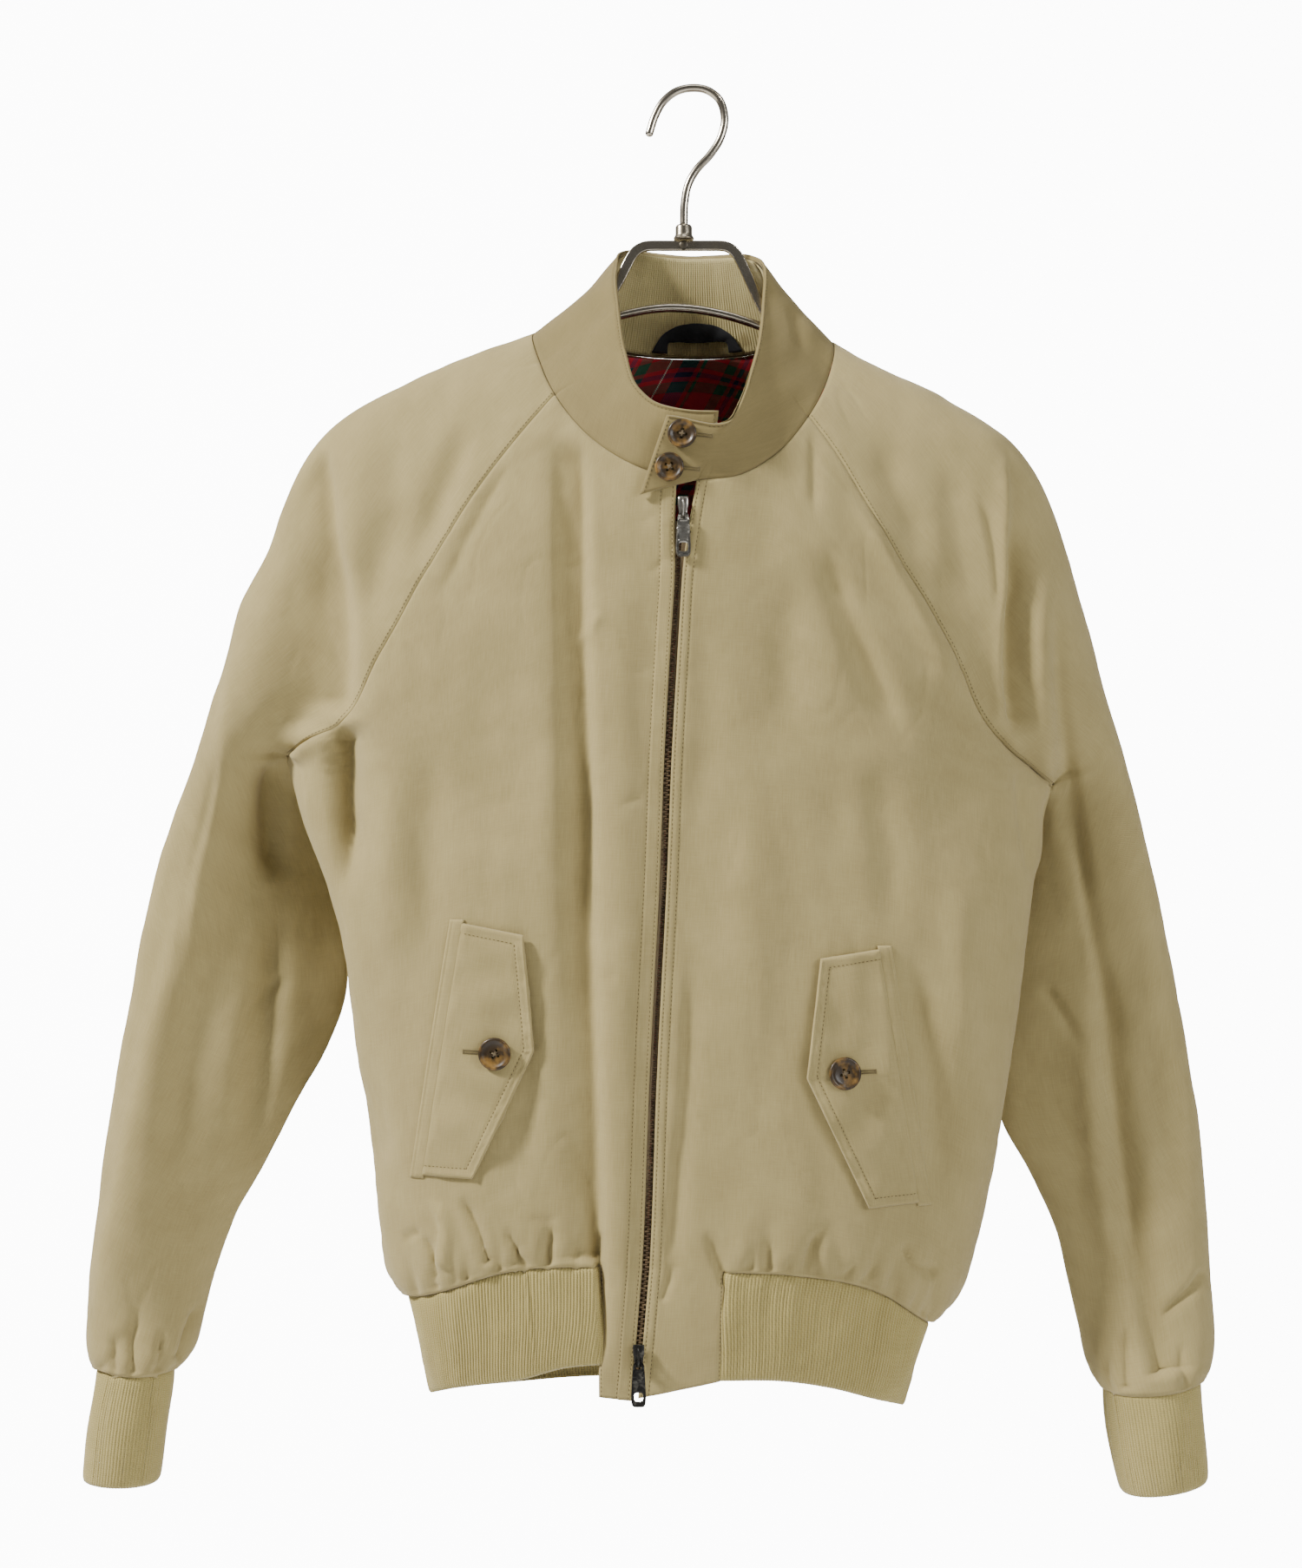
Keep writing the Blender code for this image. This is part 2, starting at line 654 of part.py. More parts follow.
def build_cloth():
    cloth = Cloth()
    for side, name, bottom in ((RIGHT, "right", RIB_BOTTOM_RIGHT), (LEFT, "left", RIB_BOTTOM_LEFT)):
        grid = [[front_point(side, u, v) for u in front_columns(side)] for v in body_rows()]
        strip = strip_grid(side, bottom)
        strip[-1] = [p.copy() for p in grid[0][: STRIP_COLUMNS + 1]]
        sleeve = [[sleeve_point(side, w, v) for w in values(SLEEVE_COLUMNS)] for v in sleeve_rows()]
        outward = side is RIGHT
        cloth.add("front_" + name, [turned(grid), turned(strip)] if outward else [grid, strip])
        cloth.add("sleeve_" + name, [turned(sleeve)] if not outward else [sleeve])
    back_u = values(BACK_COLUMNS, -1, 1)
    cloth.add("back", [turned([[back_point(u, v) for u in back_u] for v in body_rows()])])
    return cloth


def neck_params():
    """Stations of the collar's columns, which are those of the pieces sewn to it."""
    spans = [
        (0.0, RIGHT.neck_zip, 2),
        (RIGHT.neck_zip, RIGHT.neck_raglan, None, RIGHT),
        (RIGHT.neck_raglan, RIGHT.neck_ridge, SLEEVE_COLUMNS // 2),
        (RIGHT.neck_ridge, RIGHT.neck_back, SLEEVE_COLUMNS // 2),
        (RIGHT.neck_back, station("back"), BACK_COLUMNS // 2),
        (station("back"), LEFT.neck_back, BACK_COLUMNS // 2),
        (LEFT.neck_back, LEFT.neck_ridge, SLEEVE_COLUMNS // 2),
        (LEFT.neck_ridge, LEFT.neck_raglan, SLEEVE_COLUMNS // 2),
        (LEFT.neck_raglan, LEFT.neck_zip, None, LEFT),
        (LEFT.neck_zip, station("tab_end"), 3),
    ]
    params = [0.0]
    for span in spans:
        start, end, count = span[:3]
        if count is None:
            side = span[3]
            shares = front_columns(side)
            if side is LEFT:
                shares = [1 - u for u in reversed(shares)]
            params += [NECK.by_length(s, start, end) for s in shares[1:]]
        else:
            params += [NECK.by_length(s, start, end) for s in values(count)[1:]]
    return params


Finish = namedtuple("Finish", "name colour roughness metallic nodes")
FINISHES = (
    Finish("shell_cloth", (0.43, 0.36, 0.20), 0.9, 0, ("front_", "back", "sleeve_", "collar", "flap_right", "flap_left")),
    Finish("rib_knit", (0.37, 0.29, 0.14), 0.95, 0, ("hem_rib", "cuff_")),
    Finish("collar_rib", (0.20, 0.165, 0.085), 0.95, 0, ("collar_facing",)),
    Finish("check_lining", (0.30, 0.015, 0.025), 0.85, 0, ("back_lining",)),
    Finish("black_tape", (0.012, 0.012, 0.014), 0.8, 0, ("neck_label",)),
    Finish("zip_tape", (0.16, 0.12, 0.06), 0.9, 0, ("zip_tape_",)),
    Finish("zip_teeth", (0.09, 0.06, 0.03), 0.45, 0.3, ("zip_chain",)),
    Finish("nickel", (0.55, 0.54, 0.50), 0.3, 1, ("slider_top", "pull_tab_top", "join_bail_top")),
    Finish("black_metal", (0.02, 0.02, 0.018), 0.35, 0.6, ("slider_bottom", "pull_tab_bottom", "join_bail_bottom")),
    Finish("button", (0.13, 0.075, 0.025), 0.25, 0, ("collar_button_", "flap_button_", "cut_")),
    Finish("hanger_steel", (0.62, 0.58, 0.52), 0.2, 1, ("hanger_",)),
    Finish("dark_rivet", (0.02, 0.018, 0.015), 0.4, 0.5, ("hanger_rivet",)),
)


def material_for(name):
    """The material of the finish whose node name matches this one most closely."""
    finish = max(FINISHES, key=lambda row: max((len(node) for node in row.nodes if name.startswith(node)), default=0))
    material = bpy.data.materials.get(finish.name)
    if material is None:
        material = bpy.data.materials.new(finish.name)
        material.use_nodes = True
        shader = material.node_tree.nodes["Principled BSDF"]
        shader.inputs["Base Color"].default_value = (*finish.colour, 1)
        shader.inputs["Roughness"].default_value = finish.roughness
        shader.inputs["Metallic"].default_value = finish.metallic
    return material


def collection_for(name):
    """Cutters and joined-in helpers lie in a collection of their own."""
    wanted = "cutters" if name.startswith(("cut_", "join_")) else "harrington_jacket"
    if wanted not in bpy.data.collections:
        bpy.context.scene.collection.children.link(bpy.data.collections.new(wanted))
    return bpy.data.collections[wanted]


def link(bm, name, origin=HANG):
    """Makes an object of a mesh in the tables' millimetres. origin is where the object's own origin goes."""
    bm.normal_update()
    mesh = bpy.data.meshes.new(name)
    for vert in bm.verts:
        vert.co = (vert.co - origin) * MM
    bm.to_mesh(mesh)
    bm.free()
    mesh.shade_smooth()
    mesh.set_sharp_from_angle(angle=math.radians(40))
    mesh.materials.append(material_for(name))
    obj = bpy.data.objects.new(name, mesh)
    obj.location = (origin - HANG) * MM
    collection_for(name).objects.link(obj)
    return obj


def square_in(edge):
    """The direction into the face beside a rim's edge, square to the edge."""
    face = edge.link_faces[0]
    along = (edge.verts[1].co - edge.verts[0].co).normalized()
    inward = face.calc_center_median() - edge.verts[0].co
    inward -= along * inward.dot(along)
    return inward.normalized()


def shell(cloth, name, wall=WALL, pull=SEAM_PULL, lift=0.0):
    """A wall on the grids of a piece: its outer face is lifted by lift, and its inner face lies a wall further in."""
    bm = bmesh.new()
    made, normal_of = {}, {}
    for grid in cloth.grids[name]:
        for low, high in zip(grid, grid[1:]):
            for corners in zip(low, low[1:], high[1:], high):
                verts = []
                for corner in corners:
                    at = cloth.key(corner)
                    if at not in made:
                        made[at] = bm.verts.new(corner)
                        normal_of[made[at]] = cloth.normals[at]
                    if made[at] not in verts:
                        verts.append(made[at])
                if len(verts) > 2:
                    bm.faces.new(verts)
    bm.normal_update()
    outer = list(bm.verts)
    for vert in outer:
        spot = next((at for at in ARMPITS if (vert.co - at).length < 6), None) if pull else None
        if spot is not None:
            own = vert.normal.copy()
            normal_of[vert] = own if name.startswith("sleeve") else Vector((math.copysign(1, spot.x), 0, -0.3)).normalized()
    moves = {}
    for vert in outer:
        rim = [edge for edge in vert.link_edges if len(edge.link_faces) == 1]
        if not rim:
            continue
        inward = [square_in(edge) for edge in rim[:2]]
        reach = ARMPIT_PULL if pull and any((vert.co - at).length < 6 for at in ARMPITS) else pull
        moves[vert] = (inward[0] + inward[1]) * (reach / max(0.35, 1 + inward[0].dot(inward[1])))
    for vert, move in moves.items():
        vert.co += move
    faces = list(bm.faces)
    inner = {vert: bm.verts.new(vert.co + normal_of[vert] * (lift - wall)) for vert in outer}
    rims = [edge for edge in bm.edges if len(edge.link_faces) == 1]
    walls = []
    for edge in rims:
        face = edge.link_faces[0]
        verts = list(face.verts)
        i = verts.index(edge.verts[0])
        a, b = edge.verts if verts[(i + 1) % len(verts)] is edge.verts[1] else reversed(edge.verts)
        walls.append((b, a, inner[a], inner[b]))
    for face in faces:
        bm.faces.new([inner[vert] for vert in reversed(face.verts)])
    for corners in walls:
        bm.faces.new(corners)
    for vert in outer:
        vert.co += normal_of[vert] * lift
    bmesh.ops.recalc_face_normals(bm, faces=bm.faces)
    return link(bm, name)


def ribbed(name, levels, normals, pitch, height, wall, closed, thin=1):
    """A rib-knit band. levels are rows of points on its outer face; thin ridges run across them at the pitch, over a plain inside."""
    bm = bmesh.new()
    cells = len(levels[0]) - 1
    counts = []
    for j in range(cells):
        length = max((row[j + 1] - row[j]).length for row in levels)
        counts.append(2 * max(1, round(length / pitch)))
    fine, coarse = [], []
    for row, out in zip(levels, normals):
        verts = []
        for j in range(cells):
            for k in range(counts[j]):
                f = k / counts[j]
                raised = height if k % 2 else 0.0
                verts.append(bm.verts.new(row[j].lerp(row[j + 1], f) + out[j].lerp(out[j + 1], f).normalized() * raised))
        if not closed:
            verts.append(bm.verts.new(row[-1]))
        fine.append(verts)
        inside = [bm.verts.new(p - n * wall) for p, n in zip(row[: None if not closed else -1], out)]
        coarse.append(inside)
    starts = [sum(counts[:j]) for j in range(cells + 1)]
    total = len(fine[0])

    def f(level, i):
        return fine[level][i % total if closed else i]

    def c(level, j):
        return coarse[level][j % len(coarse[level])]

    for level in range(len(levels) - 1):
        for i in range(starts[-1]):
            bm.faces.new((f(level, i), f(level + 1, i), f(level + 1, i + 1), f(level, i + 1)))
        for j in range(cells):
            bm.faces.new((c(level, j), c(level, j + 1), c(level + 1, j + 1), c(level + 1, j)))
    for level, flip in ((0, False), (len(levels) - 1, True)):
        for j in range(cells):
            first, last = starts[j], starts[j + 1]
            middle = (first + last) // 2
            triangles = [(c(level, j), f(level, i), f(level, i + 1)) for i in range(first, middle)]
            triangles += [(c(level, j), f(level, middle), c(level, j + 1))]
            triangles += [(c(level, j + 1), f(level, i), f(level, i + 1)) for i in range(middle, last)]
            for triangle in triangles:
                bm.faces.new(tuple(reversed(triangle)) if flip else triangle)
    if not closed:
        for level in range(len(levels) - 1):
            bm.faces.new((f(level, 0), c(level, 0), c(level + 1, 0), f(level + 1, 0)))
            end = starts[-1]
            bm.faces.new((f(level, end), f(level + 1, end), c(level + 1, cells), c(level, cells)))
    bmesh.ops.recalc_face_normals(bm, faces=bm.faces)
    return link(bm, name)


def side_normals(levels):
    """Outward normals of rows of points."""
    found = []
    for i, row in enumerate(levels):
        up = levels[min(i + 1, len(levels) - 1)]
        down = levels[max(i - 1, 0)]
        out = []
        for j in range(len(row)):
            after, before = row[min(j + 1, len(row) - 1)], row[max(j - 1, 0)]
            out.append((after - before).cross(up[j] - down[j]).normalized())
        found.append(out)
    return found


def hem_levels(cloth):
    """Rows of the hem rib from its seam to its bottom edge, from the right strip round the back to the left strip."""
    right = [front_point(RIGHT, u, 0) for u in front_columns(RIGHT)[STRIP_COLUMNS:]]
    left = [front_point(LEFT, u, 0) for u in front_columns(LEFT)[STRIP_COLUMNS:]]
    back = [back_point(u, 0) for u in values(BACK_COLUMNS, -1, 1)]
    seam = right + back[1:] + list(reversed(left))[1:]
    half = BACK_COLUMNS // 2
    bottom = [rail(RIB_BOTTOM_RIGHT).share(i / (len(right) - 1)) for i in range(len(right))]
    bottom += [rail(RIB_BOTTOM_BACK_RIGHT).share(i / half) for i in range(1, half + 1)]
    bottom += [rail(RIB_BOTTOM_BACK_LEFT).share(i / half) for i in range(1, half + 1)]
    bottom += [rail(RIB_BOTTOM_LEFT).share(1 - i / (len(left) - 1)) for i in range(1, len(left))]
    return seam, bottom


def build_hem(cloth):
    seam, bottom = hem_levels(cloth)
    top = [a + (b - a).normalized() * SEAM_PULL for a, b in zip(seam, bottom)]
    rows = []
    for row in (top, bottom):
        row = [p.copy() for p in row]
        row[0] += (row[1] - row[0]).normalized() * 0.3
        row[-1] += (row[-2] - row[-1]).normalized() * 0.3
        rows.append(row)
    normals = side_normals(rows)
    middle = sum((p for p in rows[0]), Vector()) / len(rows[0])
    j = len(rows[0]) // 2
    if normals[0][j].dot(rows[0][j] - middle) < 0:
        normals = [[-n for n in row] for row in normals]
    return ribbed("hem_rib", rows, normals, HEM_PITCH, 0.8, RIB_WALL, False)


def cuff_ring(ring, count=14):
    outer, under = Vector((ring.ox, ring.oy, ring.oz)), Vector((ring.ux, ring.uy, ring.uz))
    points = []
    for w in values(count):
        way, bow = (-1, ring.front) if w <= 0.5 else (1, ring.rear)
        side = Vector((0, way * bow, 0))
        t = w * 2 if w <= 0.5 else w * 2 - 1
        a, b = (under, outer) if w <= 0.5 else (outer, under)
        points.append(bezier(a, a + side, b + side, b, t))
    return points


def build_cuff(name, side, end):
    seam = [sleeve_point(side, w, 2) for w in values(SLEEVE_COLUMNS)]
    bottom = cuff_ring(end, SLEEVE_COLUMNS)
    middle = (seam[0] + seam[SLEEVE_COLUMNS // 2]) / 2
    top = [a + (b - a).normalized() * 0.25 for a, b in zip(seam, bottom)]
    low = (bottom[0] + bottom[SLEEVE_COLUMNS // 2]) / 2
    normals = []
    for row, heart in ((top, middle), (bottom, low)):
        normals.append([Vector((p.x - heart.x, (p.y - heart.y), 0)).normalized() for p in row])
    return ribbed(name, [top, bottom], normals, CUFF_PITCH, 0.7, RIB_WALL, True)


def build_collar(cloth):
    params = neck_params()
    grid = [[collar_point(t, h) for t in params] for h in values(COLLAR_ROWS)]
    cloth.add("collar", [turned(grid)])
    return params


def collar_normal(t, h):
    step = 0.02
    a = collar_point(min(t + step, len(COLLAR) - 1), h) - collar_point(max(t - step, 0), h)
    b = collar_point(t, min(h + step, 1)) - collar_point(t, max(h - step, 0))
    return b.cross(a).normalized()


def build_facing():
    """The rib knit inside the collar: its ridges face in, towards the neck."""
    start, end = 2.3, 17.9
    params = [t for t in neck_params() if start < t < end]
    levels, normals = [], []
    depth = WALL + LAYER + 1.85
    for h in (0.035, 0.5, 0.955):
        outward = [collar_normal(t, h) for t in params]
        levels.append([collar_point(t, h) - n * depth for t, n in zip(params, outward)])
        normals.append([-n for n in outward])
    return ribbed("collar_facing", levels, normals, FACING_PITCH, 0.5, 1.2, False)


def build_label():
    """A plain arched loop of black tape, sewn under the facing's lower edge."""
    arch = namedtuple("Arch", "name t_out h_out t_in h_in")
    rows = [
        arch("right_foot", 9.28, 0.05, 9.62, 0.05), arch("right_leg", 9.42, 0.19, 9.62, 0.14), arch("right_shoulder", 9.72, 0.30, 9.75, 0.16),
        arch("right_crown", 10.05, 0.34, 10.1, 0.16), arch("left_crown", 10.45, 0.34, 10.4, 0.16), arch("left_shoulder", 10.85, 0.29, 10.8, 0.16),
        arch("left_leg", 11.1, 0.19, 10.92, 0.14), arch("left_foot", 11.22, 0.05, 10.92, 0.05),
    ]
    back, front = WALL + LAYER + 1.85 + 0.5 + 0.4, WALL + LAYER + 1.85 + 0.5 + 1.4
    bm = bmesh.new()
    rings = []
    for row in rows:
        ring = []
        for t, h in ((row.t_out, row.h_out), (row.t_in, row.h_in)):
            point, normal = collar_point(t, h), collar_normal(t, h)
            ring.append((bm.verts.new(point - normal * back), bm.verts.new(point - normal * front)))
        rings.append(ring)
    for a, b in zip(rings, rings[1:]):
        (ao, ai), (bo, bi) = a, b
        bm.faces.new((ao[1], ai[1], bi[1], bo[1]))
        bm.faces.new((ao[0], bo[0], bi[0], ai[0]))
        bm.faces.new((ao[0], ao[1], bo[1], bo[0]))
        bm.faces.new((ai[1], ai[0], bi[0], bi[1]))
    for (outer, inner), flip in ((rings[0], False), (rings[-1], True)):
        corners = (outer[0], inner[0], inner[1], outer[1])
        bm.faces.new(tuple(reversed(corners)) if flip else corners)
    bmesh.ops.recalc_face_normals(bm, faces=bm.faces)
    return link(bm, "neck_label")


def build_lining(cloth):
    """The check lining that shows through the neck, on the inside of the back."""
    rows = values(6, 1.62, 1.985)
    grid = turned([[back_point(u, v) for u in values(12, -0.8, 0.8)] for v in rows])
    cloth.add("back_lining", [grid])
    cloth.weigh(["back_lining"])
    cloth.push("back_lining")
    cloth.weigh(["back_lining"])
    return shell(cloth, "back_lining", LINING_WALL, 0.0, -(WALL + 1.1))


def tree_of(obj):
    """The solid's surface, in the tables' millimetres."""
    points = [v.co / MM + HANG for v in obj.data.vertices]
    return BVHTree.FromPolygons(points, [tuple(p.vertices) for p in obj.data.polygons])


def on_front(tree, x, z):
    """The front of a solid at x and z, and its outward normal."""
    point, normal, _, _ = tree.ray_cast(Vector((x, -300, z)), Vector((0, 1, 0)))
    if point is None:
        raise ValueError(f"nothing at {x}, {z}")
    return point, normal if normal.y < 0 else -normal


def plate(name, rows, normals, wall):
    """A closed wall on rows of points, which lie on its back face."""
    cloth = Cloth()
    cloth.add(name, [rows])
    for row, outs in zip(rows, normals):
        for point, out in zip(row, outs):
            cloth.normals[cloth.key(point)] = out
    return shell(cloth, name, wall, 0.0, wall)


Flap = namedtuple("Flap", "name b seam_x seam_z free_x free_z")
FLAPS = {
    "right": [
        Flap("top", 0.0, -137.7, -523.8, -99.7, -530.9),
        Flap("upper", 0.25, -144.0, -563, -96.2, -566),
        Flap("tip", 0.5, -150.4, -601.5, -93.3, -601.5),
        Flap("lower", 0.75, -156.6, -640, -112, -641),
        Flap("foot", 1.0, -163.1, -679.4, -131.1, -679.9),
    ],
    "left": [
        Flap("top", 0.0, 116.6, -539.7, 80.1, -545.1),
        Flap("upper", 0.25, 123, -579, 75.8, -581.5),
        Flap("tip", 0.5, 129.3, -618, 71.6, -617.6),
        Flap("lower", 0.75, 135.9, -657.5, 91, -658),
        Flap("foot", 1.0, 142.4, -696.9, 110.4, -698.3),
    ],
}


def build_flap(name, tree, rows, sign):
    grid, outs = [], []
    for b in values(12):
        sx, sz, fx, fz = across_plain(rows, b * 4, ("seam_x", "seam_z", "free_x", "free_z"))
        line, out = [], []
        for a in values(5):
            point, normal = on_front(tree, lerp(sx, fx, a), lerp(sz, fz, a))
            edge = min(a / 0.25, 1) * min(1, min(b, 1 - b) / 0.08 + 0.4)
            line.append(point + Vector((0, -1, 0)) * (0.85 + 1.4 * edge * a))
            out.append((normal + Vector((0, -1.5, 0))).normalized())
        grid.append(line)
        outs.append(out)
    if sign > 0:
        grid, outs = turned(grid), turned(outs)
    return plate(name, grid, outs, 1.5)


def across_plain(table, key, columns):
    key = min(max(key, 0.0), len(table) - 1.0)
    i = min(int(key), len(table) - 2)
    return [lerp(getattr(table[i], c), getattr(table[i + 1], c), key - i) for c in columns]


def lathe(name, profile, centre, axis, segments=20):
    """A turned solid. profile holds (radius, height) from one pole to the other, heights along the axis."""
    bm = bmesh.new()
    axis = axis.normalized()
    side = axis.orthogonal().normalized()
    other = axis.cross(side)
    rings = []
    for radius, height in profile:
        if radius == 0:
            rings.append([bm.verts.new(centre + axis * height)])
            continue
        rings.append([
            bm.verts.new(centre + axis * height + (side * math.cos(a) + other * math.sin(a)) * radius)
            for a in (2 * math.pi * i / segments for i in range(segments))
        ])
    for low, high in zip(rings, rings[1:]):
        for i in range(segments):
            corners = [low[i % len(low)], low[(i + 1) % len(low)], high[(i + 1) % len(high)], high[i % len(high)]]
            corners = [v for n, v in enumerate(corners) if v not in corners[:n]]
            bm.faces.new(corners)
    bmesh.ops.recalc_face_normals(bm, faces=bm.faces)
    return link(bm, name)


def build_button(name, tree, x, z, diameter, segments=20):
    """A dished button with four holes, lying on what its tree holds."""
    point, normal = on_front(tree, x, z)
    r = diameter / 2
    seat = point
    for a in range(12):
        dx, dz = r * 0.8 * math.cos(a * math.pi / 6), r * 0.8 * math.sin(a * math.pi / 6)
        probe, _ = on_front(tree, x + dx, z + dz)
        gap = (probe - seat).dot(normal)
        if gap > 0:
            seat = seat + normal * gap
    profile = [(0, 0.4), (r * 0.8, 0.4), (r, 1.8), (r * 0.95, 3.4), (r * 0.8, 3.6), (r * 0.62, 2.4), (0, 2.4)]
    button = lathe(name, profile, seat, normal, segments)
    side = normal.cross(Vector((1, 0, 0))).normalized()
    across = side.cross(normal).normalized()
    cutters = []
    for i, (a, b) in enumerate(((1, 1), (1, -1), (-1, -1), (-1, 1))):
        middle = seat + side * (a * 1.6) + across * (b * 1.6)
        hole = lathe(f"cut_{name}_{i}", [(0, -2), (0.95, -2), (0.95, 6), (0, 6)], middle, normal, 4)
        cutters.append(hole)
    for hole in cutters:
        hole.hide_render = True
        hole.display_type = "WIRE"
        modifier = button.modifiers.new("hole", "BOOLEAN")
        modifier.operation = "DIFFERENCE"
        modifier.solver = "EXACT"
        modifier.object = hole
    return button


def tube(name, points, radii, sides=10, squash=(1.0, 1.0), up=Vector((0, 1, 0)), caps=True):
    """A closed tube along points, with an oval section: squash scales it along up and across it."""
    bm = bmesh.new()
    rings = []
    for i, point in enumerate(points):
        ahead = points[min(i + 1, len(points) - 1)] - points[max(i - 1, 0)]
        ahead.normalize()
        across = ahead.cross(up).normalized()
        ring = []
        for k in range(sides):
            a = 2 * math.pi * (k + 0.5) / sides
            ring.append(bm.verts.new(point + up * (math.cos(a) * radii[i] * squash[0]) + across * (math.sin(a) * radii[i] * squash[1])))
        rings.append(ring)
    for low, high in zip(rings, rings[1:]):
        for k in range(sides):
            bm.faces.new((low[k], low[(k + 1) % sides], high[(k + 1) % sides], high[k]))
    bm.faces.new(list(reversed(rings[0])))
    bm.faces.new(rings[-1])
    bmesh.ops.recalc_face_normals(bm, faces=bm.faces)
    return link(bm, name)


def box_bar(name, points, width, depth):
    """A bent flat bar of square edges: width across its bends, depth along Y."""
    bm = bmesh.new()
    rings = []
    for i, point in enumerate(points):
        before = (point - points[i - 1]).normalized() if i else None
        after = (points[i + 1] - point).normalized() if i < len(points) - 1 else None
        ahead = ((before or after) + (after or before)).normalized()
        across = ahead.cross(Vector((0, 1, 0))).normalized()
        stretch = 1 / max(0.6, ahead.dot(before or after))
        y = Vector((0, depth / 2, 0))
        side = across * width / 2 * stretch
        rings.append([bm.verts.new(point + s * side + d * y) for s, d in ((-1, -1), (1, -1), (1, 1), (-1, 1))])
    for low, high in zip(rings, rings[1:]):
        for k in range(4):
            bm.faces.new((low[k], low[(k + 1) % 4], high[(k + 1) % 4], high[k]))
    bm.faces.new(list(reversed(rings[0])))
    bm.faces.new(rings[-1])
    bmesh.ops.recalc_face_normals(bm, faces=bm.faces)
    return link(bm, name)


BAR_HALF = 2.6
HANGER_Y = 8.0  # the hook and bracket stand this far back; the arms curve forward from there
HOOK_RADIUS = 2.6
HOOK = [
    Point("stem", -1.6, 0, -81.4), Point("neck", -1.0, 0, -68.1), Point("bend", 1.2, 0, -57.7), Point("lean", 6.4, 0, -48.3),
    Point("sweep", 14.9, 0, -39.0), Point("side", 21.6, 0, -28.4), Point("right", 24.4, 0, -15.0), Point("shoulder", 20.6, 0, -3.0),
    Point("crown", 12.9, 0, 2.6), Point("top", 3.4, 0, 3.9), Point("over", -6.6, 0, 1.6), Point("down", -14.8, 0, -5.0),
    Point("left", -19.9, 0, -13.9), Point("tip", -23.6, 0, -25.2),
]
BRACKET = [
    Point("left_foot", 53.2, 0, -144.0), Point("left_knee", 47.0, 0, -133.5), Point("left_leg", 37.5, 0, -112.5),
    Point("left_corner", 32.0, 0, -101.0), Point("left_top", 26.5, 0, -96.6), Point("right_top", -27.5, 0, -96.6),
    Point("right_corner", -33.5, 0, -100.5), Point("right_leg", -43.2, 0, -120.0), Point("right_foot", -56.6, 0, -140.0),
]


def bar_path():
    """The shoulder bar lies under the sleeves' outer lines, and arches through the neck."""
    down = WALL + 0.45 + BAR_HALF
    right = [RIGHT.ridge.share(k / RAGLAN_ROWS) for k in (1, 2, 3, 4)]
    left = [LEFT.ridge.share(k / RAGLAN_ROWS) for k in (1, 2, 3, 4)]
    points = []
    for line in (right, left):
        placed = []
        for i, p in enumerate(line):
            ahead = (line[min(i + 1, 3)] - line[max(i - 1, 0)]).normalized()
            normal = Vector((-ahead.z, 0, ahead.x)) if ahead.x > 0 else Vector((ahead.z, 0, -ahead.x))
            back, lower = ((3.4, 1.2), (1.6, 0.6), (0.6, 0.25), (0.0, 0.15))[i]
            placed.append(Vector((p.x, p.y + back, p.z)) - normal * (down + lower))
        points.append(placed)
    middle = [
        Vector((-97.0, 5.6, -162.4)), Vector((-70, 7.4, -150.5)), Vector((-42.9, 8, -141.3)), Vector((-11.5, 8, -136.2)),
        Vector((5, 8, -137.0)), Vector((27, 8, -141.3)), Vector((44.6, 8, -147.0)), Vector((66, 7.4, -156.5)), Vector((92.0, 5.6, -167.8)),
    ]
    return list(reversed(points[0])) + middle + points[1]


def build_hanger():
    path = bar_path()
    tube("hanger_bar", path, [BAR_HALF] * len(path), 10, (4.2 / BAR_HALF, 1.0))
    set_back = Vector((0, HANGER_Y, 0))
    legs = [Vector(p[1:]) + set_back for p in BRACKET]
    box_bar("hanger_bracket", legs, 6.4, 4.0)
    lathe("hanger_ferrule", [(0, 0), (6.4, 0), (6.6, 1.0), (5.4, 3.2), (5.4, 8.2), (4.6, 9.6), (0, 9.6)], Vector((-1.6, HANGER_Y, -93.0)), Vector((0, 0, 1)), 16)
    line = Rail([p[1:] for p in HOOK])
    count = 22
    points = [line.share(i / count) + set_back for i in range(count + 1)]
    points[0].z = -83.0
    tube("hanger_hook", points, [HOOK_RADIUS] * (count + 1), 8)
    lathe("hanger_rivet", [(0, 0), (3.0, 0), (2.6, 0.7), (0, 0.9)], Vector((-1.6, HANGER_Y - 2.35, -96.6)), Vector((0, -1, 0)), 12)


CHAIN_HALF = 2.2
TAPE_WIDTH = 8.4


def zip_line(z):
    """The middle of the zip at a height."""
    pairs = []
    for edge in (RIGHT.edge, LEFT.edge):
        below, above = 0.0, len(edge.points) - 1.0
        for _ in range(30):
            t = (below + above) / 2
            below, above = (t, above) if edge.at(t).z < z else (below, t)
        pairs.append(edge.at(below))
    return (pairs[0] + pairs[1]) / 2


